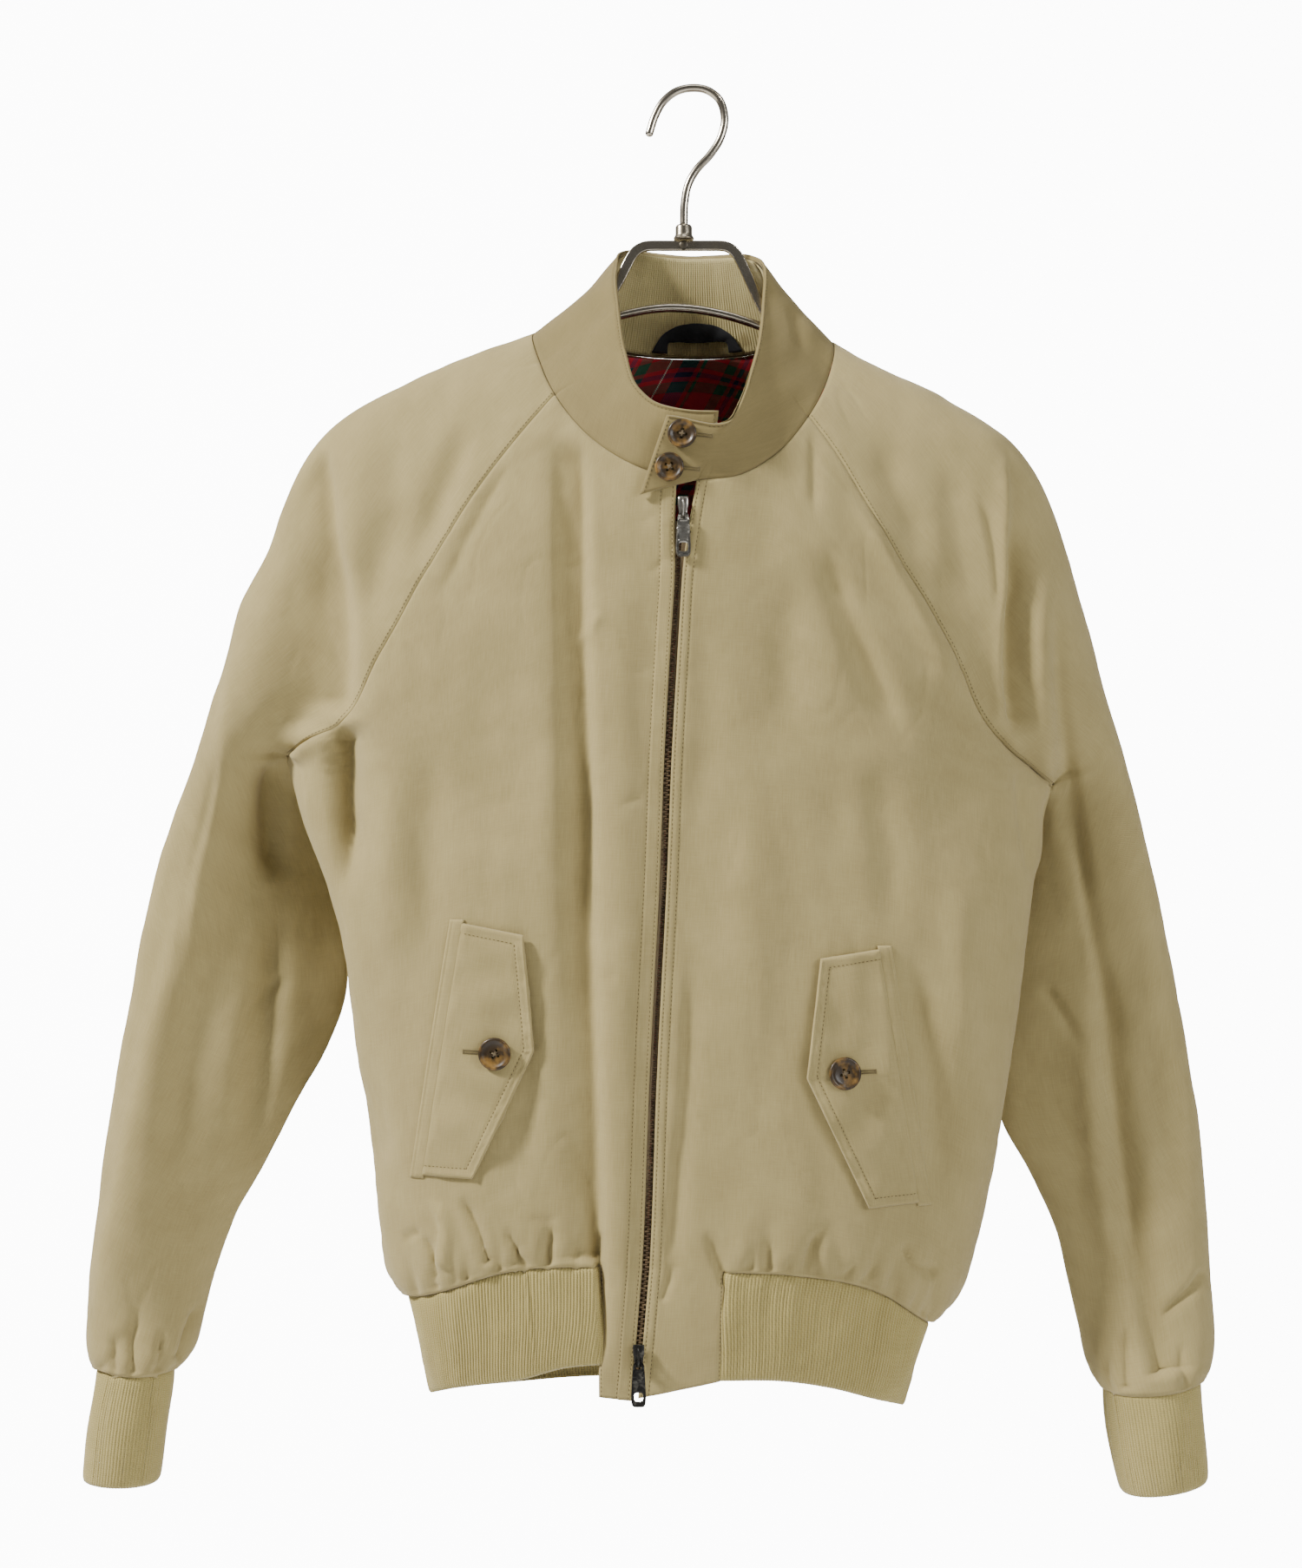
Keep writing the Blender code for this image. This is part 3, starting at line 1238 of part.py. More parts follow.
def build_zip(trees):
    """Two tapes behind the front edges, and the chain of teeth between them."""
    path = [zip_line(z) for z in values(26, -808, -280.6)]
    behind = WALL + LAYER
    for name, sign in (("zip_tape_right", -1), ("zip_tape_left", 1)):
        tree = trees[sign]
        rows = []
        for p in path:
            row = []
            for reach in (CHAIN_HALF + 0.35, CHAIN_HALF + 0.35 + TAPE_WIDTH / 2, CHAIN_HALF + 0.35 + TAPE_WIDTH):
                x = p.x + sign * reach
                hit, _ = on_front(tree, p.x + sign * max(reach, 5.0), p.z)
                row.append(Vector((x, hit.y + behind + 1.2, p.z)))
            rows.append(row if sign > 0 else row[::-1])
        plate(name, rows, [[Vector((0, -1, 0))] * 3 for _ in rows], 1.0)
    bm = bmesh.new()
    rings = [
        [bm.verts.new((p.x + x, p.y + behind + y, p.z)) for x, y in ((-CHAIN_HALF, 0), (CHAIN_HALF, 0), (CHAIN_HALF, 2.2), (-CHAIN_HALF, 2.2))]
        for p in path
    ]
    for low, high in zip(rings, rings[1:]):
        for k in range(4):
            bm.faces.new((low[k], low[(k + 1) % 4], high[(k + 1) % 4], high[k]))
    bm.faces.new(list(reversed(rings[0])))
    bm.faces.new(rings[-1])
    bmesh.ops.recalc_face_normals(bm, faces=bm.faces)
    link(bm, "zip_chain")


def tiles(name, us, vs, gaps, place, origin=HANG):
    """A slab cut from a table of cells: place(u, v, side) gives a corner, and gaps lists the cells left open."""
    bm = bmesh.new()
    kept = {(i, j) for i in range(len(us) - 1) for j in range(len(vs) - 1)} - set(gaps)
    verts = {}

    def corner(i, j, side):
        if (i, j, side) not in verts:
            verts[i, j, side] = bm.verts.new(place(us[i], vs[j], side))
        return verts[i, j, side]

    for i, j in sorted(kept):
        square = ((i, j), (i + 1, j), (i + 1, j + 1), (i, j + 1))
        bm.faces.new([corner(a, b, 0) for a, b in square])
        bm.faces.new([corner(a, b, 1) for a, b in reversed(square)])
        for (a, b), (c, d), beside in (
            (square[0], square[1], (i, j - 1)), (square[1], square[2], (i + 1, j)),
            (square[2], square[3], (i, j + 1)), (square[3], square[0], (i - 1, j)),
        ):
            if beside not in kept:
                bm.faces.new((corner(a, b, 1), corner(c, d, 1), corner(c, d, 0), corner(a, b, 0)))
    bmesh.ops.recalc_face_normals(bm, faces=bm.faces)
    return link(bm, name, origin)


Slider = namedtuple("Slider", "name z half length front back")
SLIDERS = (
    Slider("top", -273.0, 3.4, 13.6, -73.6, -67.2),
    Slider("bottom", -786.5, 3.5, 13.0, -64.6, -62.0),
)
PIN_DROP = 3.2  # the pull tab's bar hangs this far below the slider's middle
TAB_LENGTH = 27.0


def build_slider(row):
    """A slider with its bail, and the pull tab that hangs from the bail's lower end."""
    middle = zip_line(row.z)
    x, z, face = middle.x, row.z, row.front
    top, low = z + row.length / 2, z - row.length / 2
    body = tiles(
        "slider_" + row.name, [-1, -0.55, 0.55, 1], [low, z - 1, z + 3, top], [],
        lambda u, v, side: Vector((x + u * row.half * (1.0 if v > z - 2 else 0.8), (face if abs(u) < 0.6 else face + 0.5) if side else row.back, v)),
    )
    bail_low, bail_high = z - PIN_DROP - 2.1, z + 5.2
    bail = tiles(
        "join_bail_" + row.name, [face + 1.2, face - 1.9, face - 3.1], [bail_low, bail_low + 1.3, bail_high - 1.3, bail_high], [(0, 1)],
        lambda u, v, side: Vector((x + (1.1 if side else -1.1), u, v)),
    )
    bail.hide_render = True
    bail.display_type = "WIRE"
    union = body.modifiers.new("bail", "BOOLEAN")
    union.operation, union.solver, union.object = "UNION", "EXACT", bail
    pin = Vector((x, face - 0.95, z - PIN_DROP))
    rows = [0.55, -0.6, -4.6, -TAB_LENGTH + 9.0, -TAB_LENGTH + 2.2, -TAB_LENGTH]
    tiles(
        "pull_tab_" + row.name, [-1, -0.5, 0.5, 1], rows, [(1, 1), (1, 3)],
        lambda u, v, side: pin + Vector((u * lerp(2.9, 3.6, clamp(-v / TAB_LENGTH)), -2.35 * smooth((-v - 0.6) / 3.6) + (-0.55 if side else 0.55), v)),
        pin,
    )


def main():
    for obj in list(bpy.data.objects):
        bpy.data.objects.remove(obj)
    cloth = build_cloth()
    build_collar(cloth)
    sewn = ["front_right", "front_left", "back", "sleeve_right", "sleeve_left", "collar"]
    cloth.weigh(sewn)
    for name in sewn[:-1]:
        cloth.push(name)
    cloth.weigh(sewn)
    for name in ("front_right", "front_left", "back"):
        cloth.gather(name, body_rows())
    for name in ("sleeve_right", "sleeve_left"):
        cloth.gather(name, [(2 - v) * 1.6 for v in sleeve_rows()])
    cloth.weigh(sewn)
    solids = {name: shell(cloth, name) for name in sewn}
    build_hem(cloth)
    build_cuff("cuff_right", RIGHT, RIGHT_CUFF)
    build_cuff("cuff_left", LEFT, LEFT_CUFF)
    build_facing()
    build_label()
    build_lining(cloth)
    front_right, front_left = tree_of(solids["front_right"]), tree_of(solids["front_left"])
    flaps = {
        "right": build_flap("flap_right", front_right, FLAPS["right"], -1),
        "left": build_flap("flap_left", front_left, FLAPS["left"], 1),
    }
    build_button("flap_button_right", tree_of(flaps["right"]), -116.9, -602.9, 20, 16)
    build_button("flap_button_left", tree_of(flaps["left"]), 94.6, -615.0, 20, 16)
    collar = tree_of(solids["collar"])
    build_button("collar_button_upper", collar, -3.7, -228.7, 17.5, 16)
    build_button("collar_button_lower", collar, -11.5, -248.6, 17.5, 16)
    build_zip({-1: front_right, 1: front_left})
    for row in SLIDERS:
        build_slider(row)
    build_hanger()


main()
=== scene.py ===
"""Looks of a zip-front blouson jacket on its metal hanger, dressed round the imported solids.

The tables are in millimetres: X runs across, -Y is the front and Z is up. ``metres`` takes a point
of the tables into the frame, whose origin is the inside top of the hanger's hook, where a rail
carries it. "right" and "left" are the wearer's own, so the right side has negative X.
"""

from __future__ import annotations

import json
import logging
import math
from collections.abc import Callable, Sequence
from dataclasses import dataclass, field
from enum import Enum

import bmesh
import bpy
import numpy as np
from mathutils import Matrix, Vector
from mathutils.bvhtree import BVHTree

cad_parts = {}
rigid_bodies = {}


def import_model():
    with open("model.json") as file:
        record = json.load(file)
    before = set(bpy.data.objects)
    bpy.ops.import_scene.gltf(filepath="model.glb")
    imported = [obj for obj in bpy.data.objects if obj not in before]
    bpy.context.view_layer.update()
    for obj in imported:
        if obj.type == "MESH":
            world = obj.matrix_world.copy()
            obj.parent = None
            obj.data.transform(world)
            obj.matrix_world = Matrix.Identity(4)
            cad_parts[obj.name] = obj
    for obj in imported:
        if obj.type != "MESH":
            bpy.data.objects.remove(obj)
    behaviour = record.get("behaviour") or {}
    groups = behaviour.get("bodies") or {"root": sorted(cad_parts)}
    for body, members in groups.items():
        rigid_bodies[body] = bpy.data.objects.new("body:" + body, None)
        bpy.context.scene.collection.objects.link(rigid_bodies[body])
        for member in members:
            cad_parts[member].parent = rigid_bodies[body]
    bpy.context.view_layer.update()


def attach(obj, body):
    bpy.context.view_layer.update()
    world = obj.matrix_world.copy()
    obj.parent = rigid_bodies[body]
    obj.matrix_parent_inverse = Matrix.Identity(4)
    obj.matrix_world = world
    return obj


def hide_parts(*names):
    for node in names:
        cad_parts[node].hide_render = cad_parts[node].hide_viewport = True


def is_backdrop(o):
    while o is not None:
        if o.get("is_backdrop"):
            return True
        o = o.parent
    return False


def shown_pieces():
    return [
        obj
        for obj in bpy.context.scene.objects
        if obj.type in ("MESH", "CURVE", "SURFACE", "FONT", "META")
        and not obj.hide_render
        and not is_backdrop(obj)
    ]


LOG = logging.getLogger("jacket")

MM = 0.001
HANG = np.array((3.4, 8.0, 1.3))
EYE_X, EYE_Z, EYE_DISTANCE = -22.5, -439.4, 1500.0

Array = np.ndarray
Spot = tuple[float, float, float]

ACROSS, TO_FRONT, UP = np.array((1.0, 0.0, 0.0)), np.array((0.0, -1.0, 0.0)), np.array((0.0, 0.0, 1.0))


def metres(points: Array | Sequence[float]) -> Array:
    """Points of the tables, in the frame's metres."""
    return (np.asarray(points, float) - HANG) * MM


def lerp(a: Array | float, b: Array | float, t: Array | float) -> Array | float:
    """The value a share t of the way from a to b."""
    return a + (b - a) * t


def smooth(t: Array | float) -> Array:
    """An S-shaped step from 0 to 1."""
    t = np.clip(t, 0.0, 1.0)
    return t * t * (3 - 2 * t)


def unit(vectors: Array) -> Array:
    """Vectors scaled to a length of 1."""
    length = np.linalg.norm(vectors, axis=-1, keepdims=True)
    return vectors / np.maximum(length, 1e-9)


def walk_along(points: Array) -> Array:
    """The distance walked along a line of points, at each of them."""
    return np.concatenate([[0.0], np.cumsum(np.linalg.norm(np.diff(points, axis=0), axis=1))])


def read_between(places: Array | float, marks: Array, rows: Array) -> Array:
    """Rows of values read between the marks that they stand at.

    Args:
        places: Where to read.
        marks: Where each row stands, in rising order.
        rows: The values, a row for each mark.

    Returns:
        The values at each place.
    """
    return np.stack([np.interp(places, marks, column) for column in rows.T], axis=-1)


def on_plane(points: Array) -> Array:
    """Where points lie, seen from the front, on the upright plane y = 0.

    Args:
        points: Places in the tables' millimetres.

    Returns:
        Their X and Z on that plane.
    """
    scale = EYE_DISTANCE / (EYE_DISTANCE + points[..., 1])
    x = EYE_X + (points[..., 0] - EYE_X) * scale
    z = EYE_Z + (points[..., 2] - EYE_Z) * scale
    return np.stack([x, z], axis=-1)


class Rail:
    """A smooth line through points, which it passes at whole values of its parameter."""

    MARKS = 40

    def __init__(self, points: Sequence[Sequence[float]]) -> None:
        """Args: points: The places that the line runs through, in order."""
        self.points = np.array(points, float)
        steps = np.diff(self.points, axis=0)
        self.gaps = np.linalg.norm(steps, axis=1)
        slopes = steps / self.gaps[:, None]
        before, after = self.gaps[:-1, None], self.gaps[1:, None]
        inner = (slopes[:-1] * after + slopes[1:] * before) / (before + after)
        self.tangents = np.vstack([slopes[:1], inner, slopes[-1:]])
        self.last = len(self.points) - 1.0
        self.marks = np.linspace(0, self.last, int(self.last) * self.MARKS + 1)
        self.lengths = walk_along(self.at(self.marks))

    def at(self, t: Array | float) -> Array:
        """The point at a parameter.

        Args:
            t: The parameter, a whole number at each place it was drawn through.

        Returns:
            The point there.
        """
        t = np.asarray(t, float)
        i = np.clip(t.astype(int), 0, len(self.points) - 2)
        f = (t - i)[..., None]
        gap = self.gaps[i][..., None]
        f2, f3 = f * f, f * f * f
        return (
            self.points[i] * (2 * f3 - 3 * f2 + 1)
            + self.tangents[i] * (f3 - 2 * f2 + f) * gap
            + self.points[i + 1] * (3 * f2 - 2 * f3)
            + self.tangents[i + 1] * (f3 - f2) * gap
        )

    def by_length(self, share: Array | float, start: float = 0.0, end: float | None = None) -> Array:
        """The parameter at a share of the length between two others.

        Args:
            share: The share of the length.
            start: The parameter it's counted from.
            end: The parameter it's counted to; the line's end if left out.

        Returns:
            The parameter.
        """
        end = self.last if end is None else end
        low, high = np.interp([start, end], self.marks, self.lengths)
        return np.interp(lerp(low, high, np.asarray(share, float)), self.lengths, self.marks)

    def share(self, share: Array | float) -> Array:
        """The point at a share of the whole length."""
        return self.at(self.by_length(share))


def bezier(a: Array, b: Array, c: Array, d: Array, t: Array) -> Array:
    """A point on a cubic curve from a to d with handles at b and c."""
    s = 1 - t
    return a * s**3 + b * (3 * s * s * t) + c * (3 * s * t * t) + d * t**3


def soften(points: Array, sigma: float, weight: Array | float = 1.0) -> Array:
    """Evens out a grid of points along its rows' order.

    Args:
        points: The grid, row by row.
        sigma: How many rows it reaches over.
        weight: How much of the change each point takes.

    Returns:
        The evened grid, whose first and last rows haven't moved.
    """
    reach = int(3 * sigma)
    kernel = np.exp(-0.5 * (np.arange(-reach, reach + 1) / sigma) ** 2)
    kernel /= kernel.sum()
    start = 2 * points[:1] - points[1 : reach + 1][::-1]
    end = 2 * points[-1:] - points[-reach - 1 : -1][::-1]
    padded = np.concatenate([start, points, end])
    evened = sum(k * padded[i : i + len(points)] for i, k in enumerate(kernel))
    return points + (evened - points) * weight


class Ripples:
    """A steady field of small unevenness: a sum of waves whose crests run mostly one way."""

    def __init__(self, seed: int, size: float, stretch: Spot = (1.0, 1.0, 1.0), count: int = 28) -> None:
        """Draws the waves.

        Args:
            seed: Which field it is.
            size: The size of a ripple in mm.
            stretch: How much longer it is along each axis.
            count: The number of waves.
        """
        rng = np.random.default_rng(seed)
        ways = unit(rng.normal(size=(count, 3)))
        rate = 2 * math.pi / (size * rng.uniform(0.7, 1.9, count))
        self.waves = ways * rate[:, None] / np.array(stretch)
        self.phases = rng.uniform(0, 2 * math.pi, count)
        self.scale = math.sqrt(2 / count)

    def at(self, points: Array) -> Array:
        """Heights of about -1 to 1 at points in the tables' millimetres.

        Args:
            points: Places in the tables' millimetres.

        Returns:
            The height at each.
        """
        total = np.zeros(points.shape[:-1])
        for wave, phase in zip(self.waves, self.phases):
            total += np.sin(points @ wave + phase)
        return total * self.scale


# ---------------------------------------------------------------------------------------------
# The cut: the lines that the pieces are drawn between.


@dataclass(frozen=True)
class SideCut:
    """The lines of one half of the garment, from the bottom up, and its sleeve's rings."""

    name: str
    sign: int
    edge: tuple[Spot, ...]
    edge_armpit: int
    side: tuple[Spot, ...]
    raglan: tuple[Spot, ...]
    back_raglan: tuple[Spot, ...]
    ridge: tuple[Spot, ...]
    rings: tuple[tuple[float, ...], ...]
    cuff_end: tuple[float, ...]
    strip_x: float
    strip_foot: Spot
    neck_zip: float
    neck_raglan: float
    neck_ridge: float
    neck_back: float


# The collar's neck seam and top edge, from its under end round the right, back and left to the tab.
COLLAR_STATIONS = (
    (14, -70.0, -254.0, 18.5, -68.5, -213.5),
    (-7, -71.0, -254.5, -6.7, -69.5, -212.0),
    (-30, -68.5, -247.5, -20, -66, -207.5),
    (-54.7, -60, -232.2, -30.4, -58, -197.2),
    (-82.2, -38, -198.2, -38, -42, -173.2),
    (-91.4, -20, -177.3, -42.6, -20, -139.3),
    (-97.4, 2, -155.2, -44.5, 0, -113.2),
    (-87, 27, -149.5, -42.5, 18, -98.2),
    (-62, 44, -153, -33.7, 34, -93.2),
    (-32, 52, -159, -19.7, 43, -93.4),
    (0, 54, -161, 0.2, 46, -94.7),
    (32, 52, -160, 19.9, 43, -94.8),
    (62, 45, -156, 34.3, 34, -95.7),
    (85, 27, -154.5, 43.2, 18, -100.4),
    (93.4, 2, -161.1, 48.5, 0, -111),
    (87, -22, -189, 48, -20, -139.3),
    (74.8, -42, -212.7, 43.9, -40, -167.5),
    (54, -58.5, -238, 38.5, -55, -189),
    (31, -68, -252.4, 32.5, -66, -208),
    (5, -72.6, -256.5, 26, -72.6, -219.5),
    (-29.3, -75.4, -265.2, -13.1, -75.0, -217),
)
BACK_STATION = 10.0

RIGHT_CUT = SideCut(
    name="right",
    sign=-1,
    edge=(
        (-34.7, -60, -815), (-27.9, -62.5, -733.5), (-23.6, -65.5, -622), (-21.0, -67, -569),
        (-16.8, -69, -490),
        (-15.2, -70.5, -440), (-10.1, -72, -343.5), (-7.7, -72, -305), (-8.2, -71.5, -281), (-7, -71, -254.5),
    ),
    edge_armpit=5,
    side=(
        (-179.2, 0, -763.4), (-187.0, 0, -751.5), (-193.6, -1, -718), (-201.8, -4, -652), (-207.9, -6, -619),
        (-216.7, -8, -548), (-221.5, -8, -520), (-230.5, -7, -490), (-246.5, -3, -451), (-254.1, 4, -422.3),
    ),
    raglan=(
        (-254.1, 4, -422.3), (-239.1, -17, -415), (-218.7, -34, -404.5), (-206.9, -42, -391),
        (-190, -50, -360.7),
        (-173.6, -54, -331.8), (-156.5, -56, -302.8), (-139, -56, -273.7), (-120.6, -54, -246.9),
        (-102.3, -49, -223.4), (-82.2, -38, -198.2),
    ),
    back_raglan=(
        (-254.1, 4, -422.3), (-243, 24, -409), (-222, 38, -386), (-196, 48, -350), (-168, 54, -310),
        (-138, 56, -268), (-108, 55, -225), (-82, 51, -185), (-62, 44, -153),
    ),
    ridge=(
        (-97.4, 2, -155.2), (-122, 1, -162.5), (-147.4, 0, -173.7), (-187, 0, -190.2), (-220.5, 0, -206.7),
        (-238.7, 0, -222), (-247.5, 0, -241), (-258.5, 2, -272), (-270.8, 5, -305.3), (-296, 10, -371.3),
        (-309, 12, -406),
    ),
    rings=(
        (-309, 12, -406, -254.1, 4, -422.3, 32, 42),
        (-322, 15, -444, -250, 24, -443, 30, 40),
        (-336, 18, -482, -239, 35, -474, 29, 36),
        (-347.5, 20, -528, -225, 38, -522, 30, 32),
        (-356, 20, -571.5, -219.5, 35, -572, 32, 30),
        (-362, 20, -610, -231, 31, -610, 33, 30),
        (-367.5, 20, -646, -251.5, 29, -646, 33, 30),
        (-372.5, 20, -680, -270, 27, -682, 33, 31),
        (-376, 20, -714, -288, 25, -715, 34, 32),
        (-379.5, 20, -748, -300.5, 25, -748, 34, 33),
        (-383, 20, -778, -309.5, 25, -778, 35, 34),
        (-383, 19, -798, -316.5, 22, -799, 36, 36),
        (-378, 18, -813, -326.5, 18, -815, 34, 34),
    ),
    cuff_end=(-386, 18, -883, -338, 18, -885, 32, 32),
    strip_x=-54.5,
    strip_foot=(-54.5, -57.5, -813.5),
    neck_zip=1.0,
    neck_raglan=4.0,
    neck_ridge=6.0,
    neck_back=8.0,
)
LEFT_CUT = SideCut(
    name="left",
    sign=1,
    edge=(
        (-30.3, -60, -813.5), (-23.5, -62.5, -735.5), (-19.2, -65.5, -622), (-16.6, -67, -569),
        (-12.4, -69, -490),
        (-10.8, -70.5, -440), (-5.5, -72.2, -343.5), (-3.2, -72.6, -305), (0.4, -72.6, -281),
        (5, -72.6, -256.5),
    ),
    edge_armpit=5,
    side=(
        (154, 0, -780), (170.5, 0, -762), (181.5, 0, -733), (195.3, -3, -674), (205.8, -5, -614),
        (213, -7, -556),
        (219.5, -8, -508), (226.7, -6, -484), (230.5, -1, -456), (235.0, 4, -439.4),
    ),
    raglan=(
        (235, 4, -439.4), (217.2, -16, -429.6), (198.2, -32, -416.3), (182, -43, -397), (168.9, -50, -368.7),
        (152.5, -54, -339.7), (131, -56, -305.4), (110, -55, -269.9), (91.8, -50, -238.4),
        (74.8, -42, -212.7),
    ),
    back_raglan=(
        (235, 4, -439.4), (226, 24, -425), (206, 38, -400), (182, 48, -362), (156, 54, -320), (128, 56, -276),
        (100, 55, -232), (78, 51, -190), (62, 45, -156),
    ),
    ridge=(
        (93.4, 2, -161.1), (118.9, 0, -173.7), (152.4, 0, -190.2), (184.9, 0, -206.7), (210.7, 0, -223),
        (222.8, 0, -239.7), (231.5, 2, -262), (245.1, 5, -305.3), (260.6, 8, -354.8), (276.5, 12, -408.5),
    ),
    rings=(
        (276.5, 12, -408.5, 235, 4, -439.4, 32, 42),
        (289, 16, -450, 229, 24, -460, 30, 40),
        (300, 19, -491, 218, 35, -496, 29, 36),
        (309, 20, -533, 206, 38, -538, 30, 32),
        (317, 20, -571.5, 199, 38, -580, 32, 30),
        (322.5, 20, -613, 197, 36, -622, 33, 30),
        (327, 20, -651, 204, 31, -658, 33, 30),
        (331.5, 20, -690, 223, 28, -693, 33, 31),
        (335, 20, -724, 238.5, 26, -727, 34, 32),
        (337, 20, -755, 245.5, 25, -758, 35, 33),
        (338.5, 20, -784, 252.5, 25, -787, 37, 36),
        (338, 19, -806, 258.5, 22, -810, 42, 42),
        (331, 18, -820, 266, 18, -827, 43, 43),
    ),
    cuff_end=(333.5, 18, -883, 279, 18, -892, 36, 36),
    strip_x=22.0,
    strip_foot=(20.5, -57, -803.5),
    neck_zip=19.0,
    neck_raglan=16.0,
    neck_ridge=14.0,
    neck_back=12.0,
)
BACK_EDGE = (
    (-8, 46, -757), (-6, 52, -620), (-5, 56, -436), (-4, 60, -300), (-2, 59, -220), (0, 54, -161),
)
BACK_ARMPIT = 2.0
HEM_SEAM = (  # the height of the front hem seam, by X
    (-179.2, -763.4), (-145, -750), (-123, -741), (-100, -735.5), (-75, -733.5), (-28, -733.5),
    (-23, -735.5), (57, -738), (100, -745.5), (128, -758), (154, -780),
)
RIB_FOOT_RIGHT = (
    (-54.5, -57.5, -793.5), (-75.4, -56, -796), (-102, -52, -804), (-124, -45, -808.5), (-147, -32, -814.5),
    (-162.5, 0, -825),
)
RIB_FOOT_BACK_RIGHT = ((-162.5, 0, -825), (-143, 26, -828), (-90, 39, -829), (-10, 43, -829))
RIB_FOOT_BACK_LEFT = ((-10, 43, -829), (70, 39, -831), (118, 26, -833), (137.5, 0, -833))
RIB_FOOT_LEFT = (
    (20.5, -57, -803.5), (57, -52, -805), (89.6, -44, -811.5), (114, -32, -820.5), (137.5, 0, -833)
)


class Side:
    """One half of the garment as smooth lines: its seams, its widths and its neck."""

    def __init__(self, cut: SideCut, neck: Rail) -> None:
        """Args: cut: The lines of this half; neck: The neck seam."""
        self.cut = cut
        self.sign = cut.sign
        self.neck_line = neck
        self.edge = Rail(cut.edge)
        self.side = Rail(cut.side)
        self.raglan = Rail(cut.raglan)
        self.back_raglan = Rail(cut.back_raglan)
        self.ridge = Rail(cut.ridge)
        self.rings = Rail(cut.rings)
        hem_x, side_x = cut.edge[1][0], cut.side[0][0]
        self.strip_u = math.asin((cut.strip_x - hem_x) / (side_x - hem_x)) / (math.pi / 2)

    def centre(self, v: Array) -> Array:
        """The front edge: v is 0 at the hem seam, 1 level with the armpit and 2 at the neck.

        Args:
            v: The heights of the rows.

        Returns:
            A point for each row.
        """
        armpit = float(self.cut.edge_armpit)
        below = self.edge.by_length(np.clip(v, 0, 1), 1.0, armpit)
        above = self.edge.by_length(np.clip(v - 1, 0, 1), armpit)
        return self.edge.at(np.where(v <= 1, below, above))

    def outer(self, v: Array, seam: Rail) -> Array:
        """The side seam up to the armpit, then a raglan seam up to the neck.

        Args:
            v: The heights of the rows.
            seam: The raglan seam of the front or of the back.

        Returns:
            A point for each row.
        """
        below = self.side.share(np.clip(v, 0, 1))
        above = seam.share(np.clip(v - 1, 0, 1))
        return np.where((v <= 1)[..., None], below, above)

    def neck(self, u: Array) -> Array:
        """The neck seam of the front, from the zip to the raglan seam."""
        return self.neck_line.at(self.neck_line.by_length(u, self.cut.neck_zip, self.cut.neck_raglan))


def turn_at(v: Array) -> Array:
    """How far round its quarter turn a row of the body goes, in radians.

    Args:
        v: The heights of the rows.

    Returns:
        The angle of each row.
    """
    low = lerp(90, 74, smooth((v - 0.7) / 0.3))
    high = lerp(74, 54, smooth((v - 1) / 0.7))
    return np.radians(np.where(v <= 1, low, high))


def bowed(centre: Array, outer: Array, u: Array, v: Array) -> Array:
    """Rows of points between the middle of the body and its sides.

    Args:
        centre: The middle of each row.
        outer: The end of each row.
        u: Shares of the way across.
        v: The height of each row.

    Returns:
        A grid of points, row by row.
    """
    turn = turn_at(v)[:, None]
    angle = u[None, :] * turn
    across = np.sin(angle) / np.sin(turn)
    fall = ((1 - np.cos(angle)) / (1 - np.cos(turn))) ** 1.3
    square = np.broadcast_to((u * u)[None, :], fall.shape)
    shares = np.stack([across, fall, square], axis=-1)
    return centre[:, None, :] + (outer - centre)[:, None, :] * shares


def knots(share: Array, count: int) -> tuple[Array, Array]:
    """The four lattice lines about each share of the way along, and their Catmull-Rom weights.

    Args:
        share: Shares of the way along the lattice.
        count: How many lines the lattice has.

    Returns:
        The first line of each four, and the four weights.
    """
    place = np.clip(share, 0, 1) * (count - 1)
    first = np.clip(np.floor(place).astype(int), 0, count - 2)
    f = place - first
    weights = np.stack([
        0.5 * (-f + 2 * f**2 - f**3), 0.5 * (2 - 5 * f**2 + 3 * f**3),
        0.5 * (f + 4 * f**2 - 3 * f**3), 0.5 * (f**3 - f**2),
    ])
    return first, weights


class Form:
    """A smooth surface, known on an even lattice and read anywhere between its lines."""

    def __init__(self, lattice: Array) -> None:
        """Args: lattice: Points by rows and columns."""
        self.rows, self.columns = lattice.shape[:2]
        tall = np.concatenate([2 * lattice[:1] - lattice[1:2], lattice, 2 * lattice[-1:] - lattice[-2:-1]])
        wide = np.concatenate(
            [2 * tall[:, :1] - tall[:, 1:2], tall, 2 * tall[:, -1:] - tall[:, -2:-1]], axis=1
        )
        self.lattice = wide

    def at(self, across: Array, along: Array) -> Array:
        """Points at shares of the way across and along.

        Args:
            across: Shares of the way across.
            along: Shares of the way along, in the same shape.

        Returns:
            The points.
        """
        row, by_row = knots(along, self.rows)
        column, by_column = knots(across, self.columns)
        total = np.zeros(across.shape + (3,))
        for i in range(4):
            for j in range(4):
                total += self.lattice[row + i, column + j] * (by_row[i] * by_column[j])[..., None]
        return total

    def spread(self, along: Array, places: Callable[[float], Array]) -> Array:
        """Rows of points at set distances across.

        Args:
            along: The share of the way along of each row.
            places: Gives the distances in mm from the start of a row, from its whole length.

        Returns:
            Rows and columns of points.
        """
        fine = np.linspace(0, 1, 241)
        rows = []
        for share in along:
            line = self.at(fine, np.full(fine.shape, share))
            walked = walk_along(line)
            across = np.interp(places(walked[-1]), walked, fine)
            rows.append(self.at(across, np.full(across.shape, share)))
        return np.array(rows)


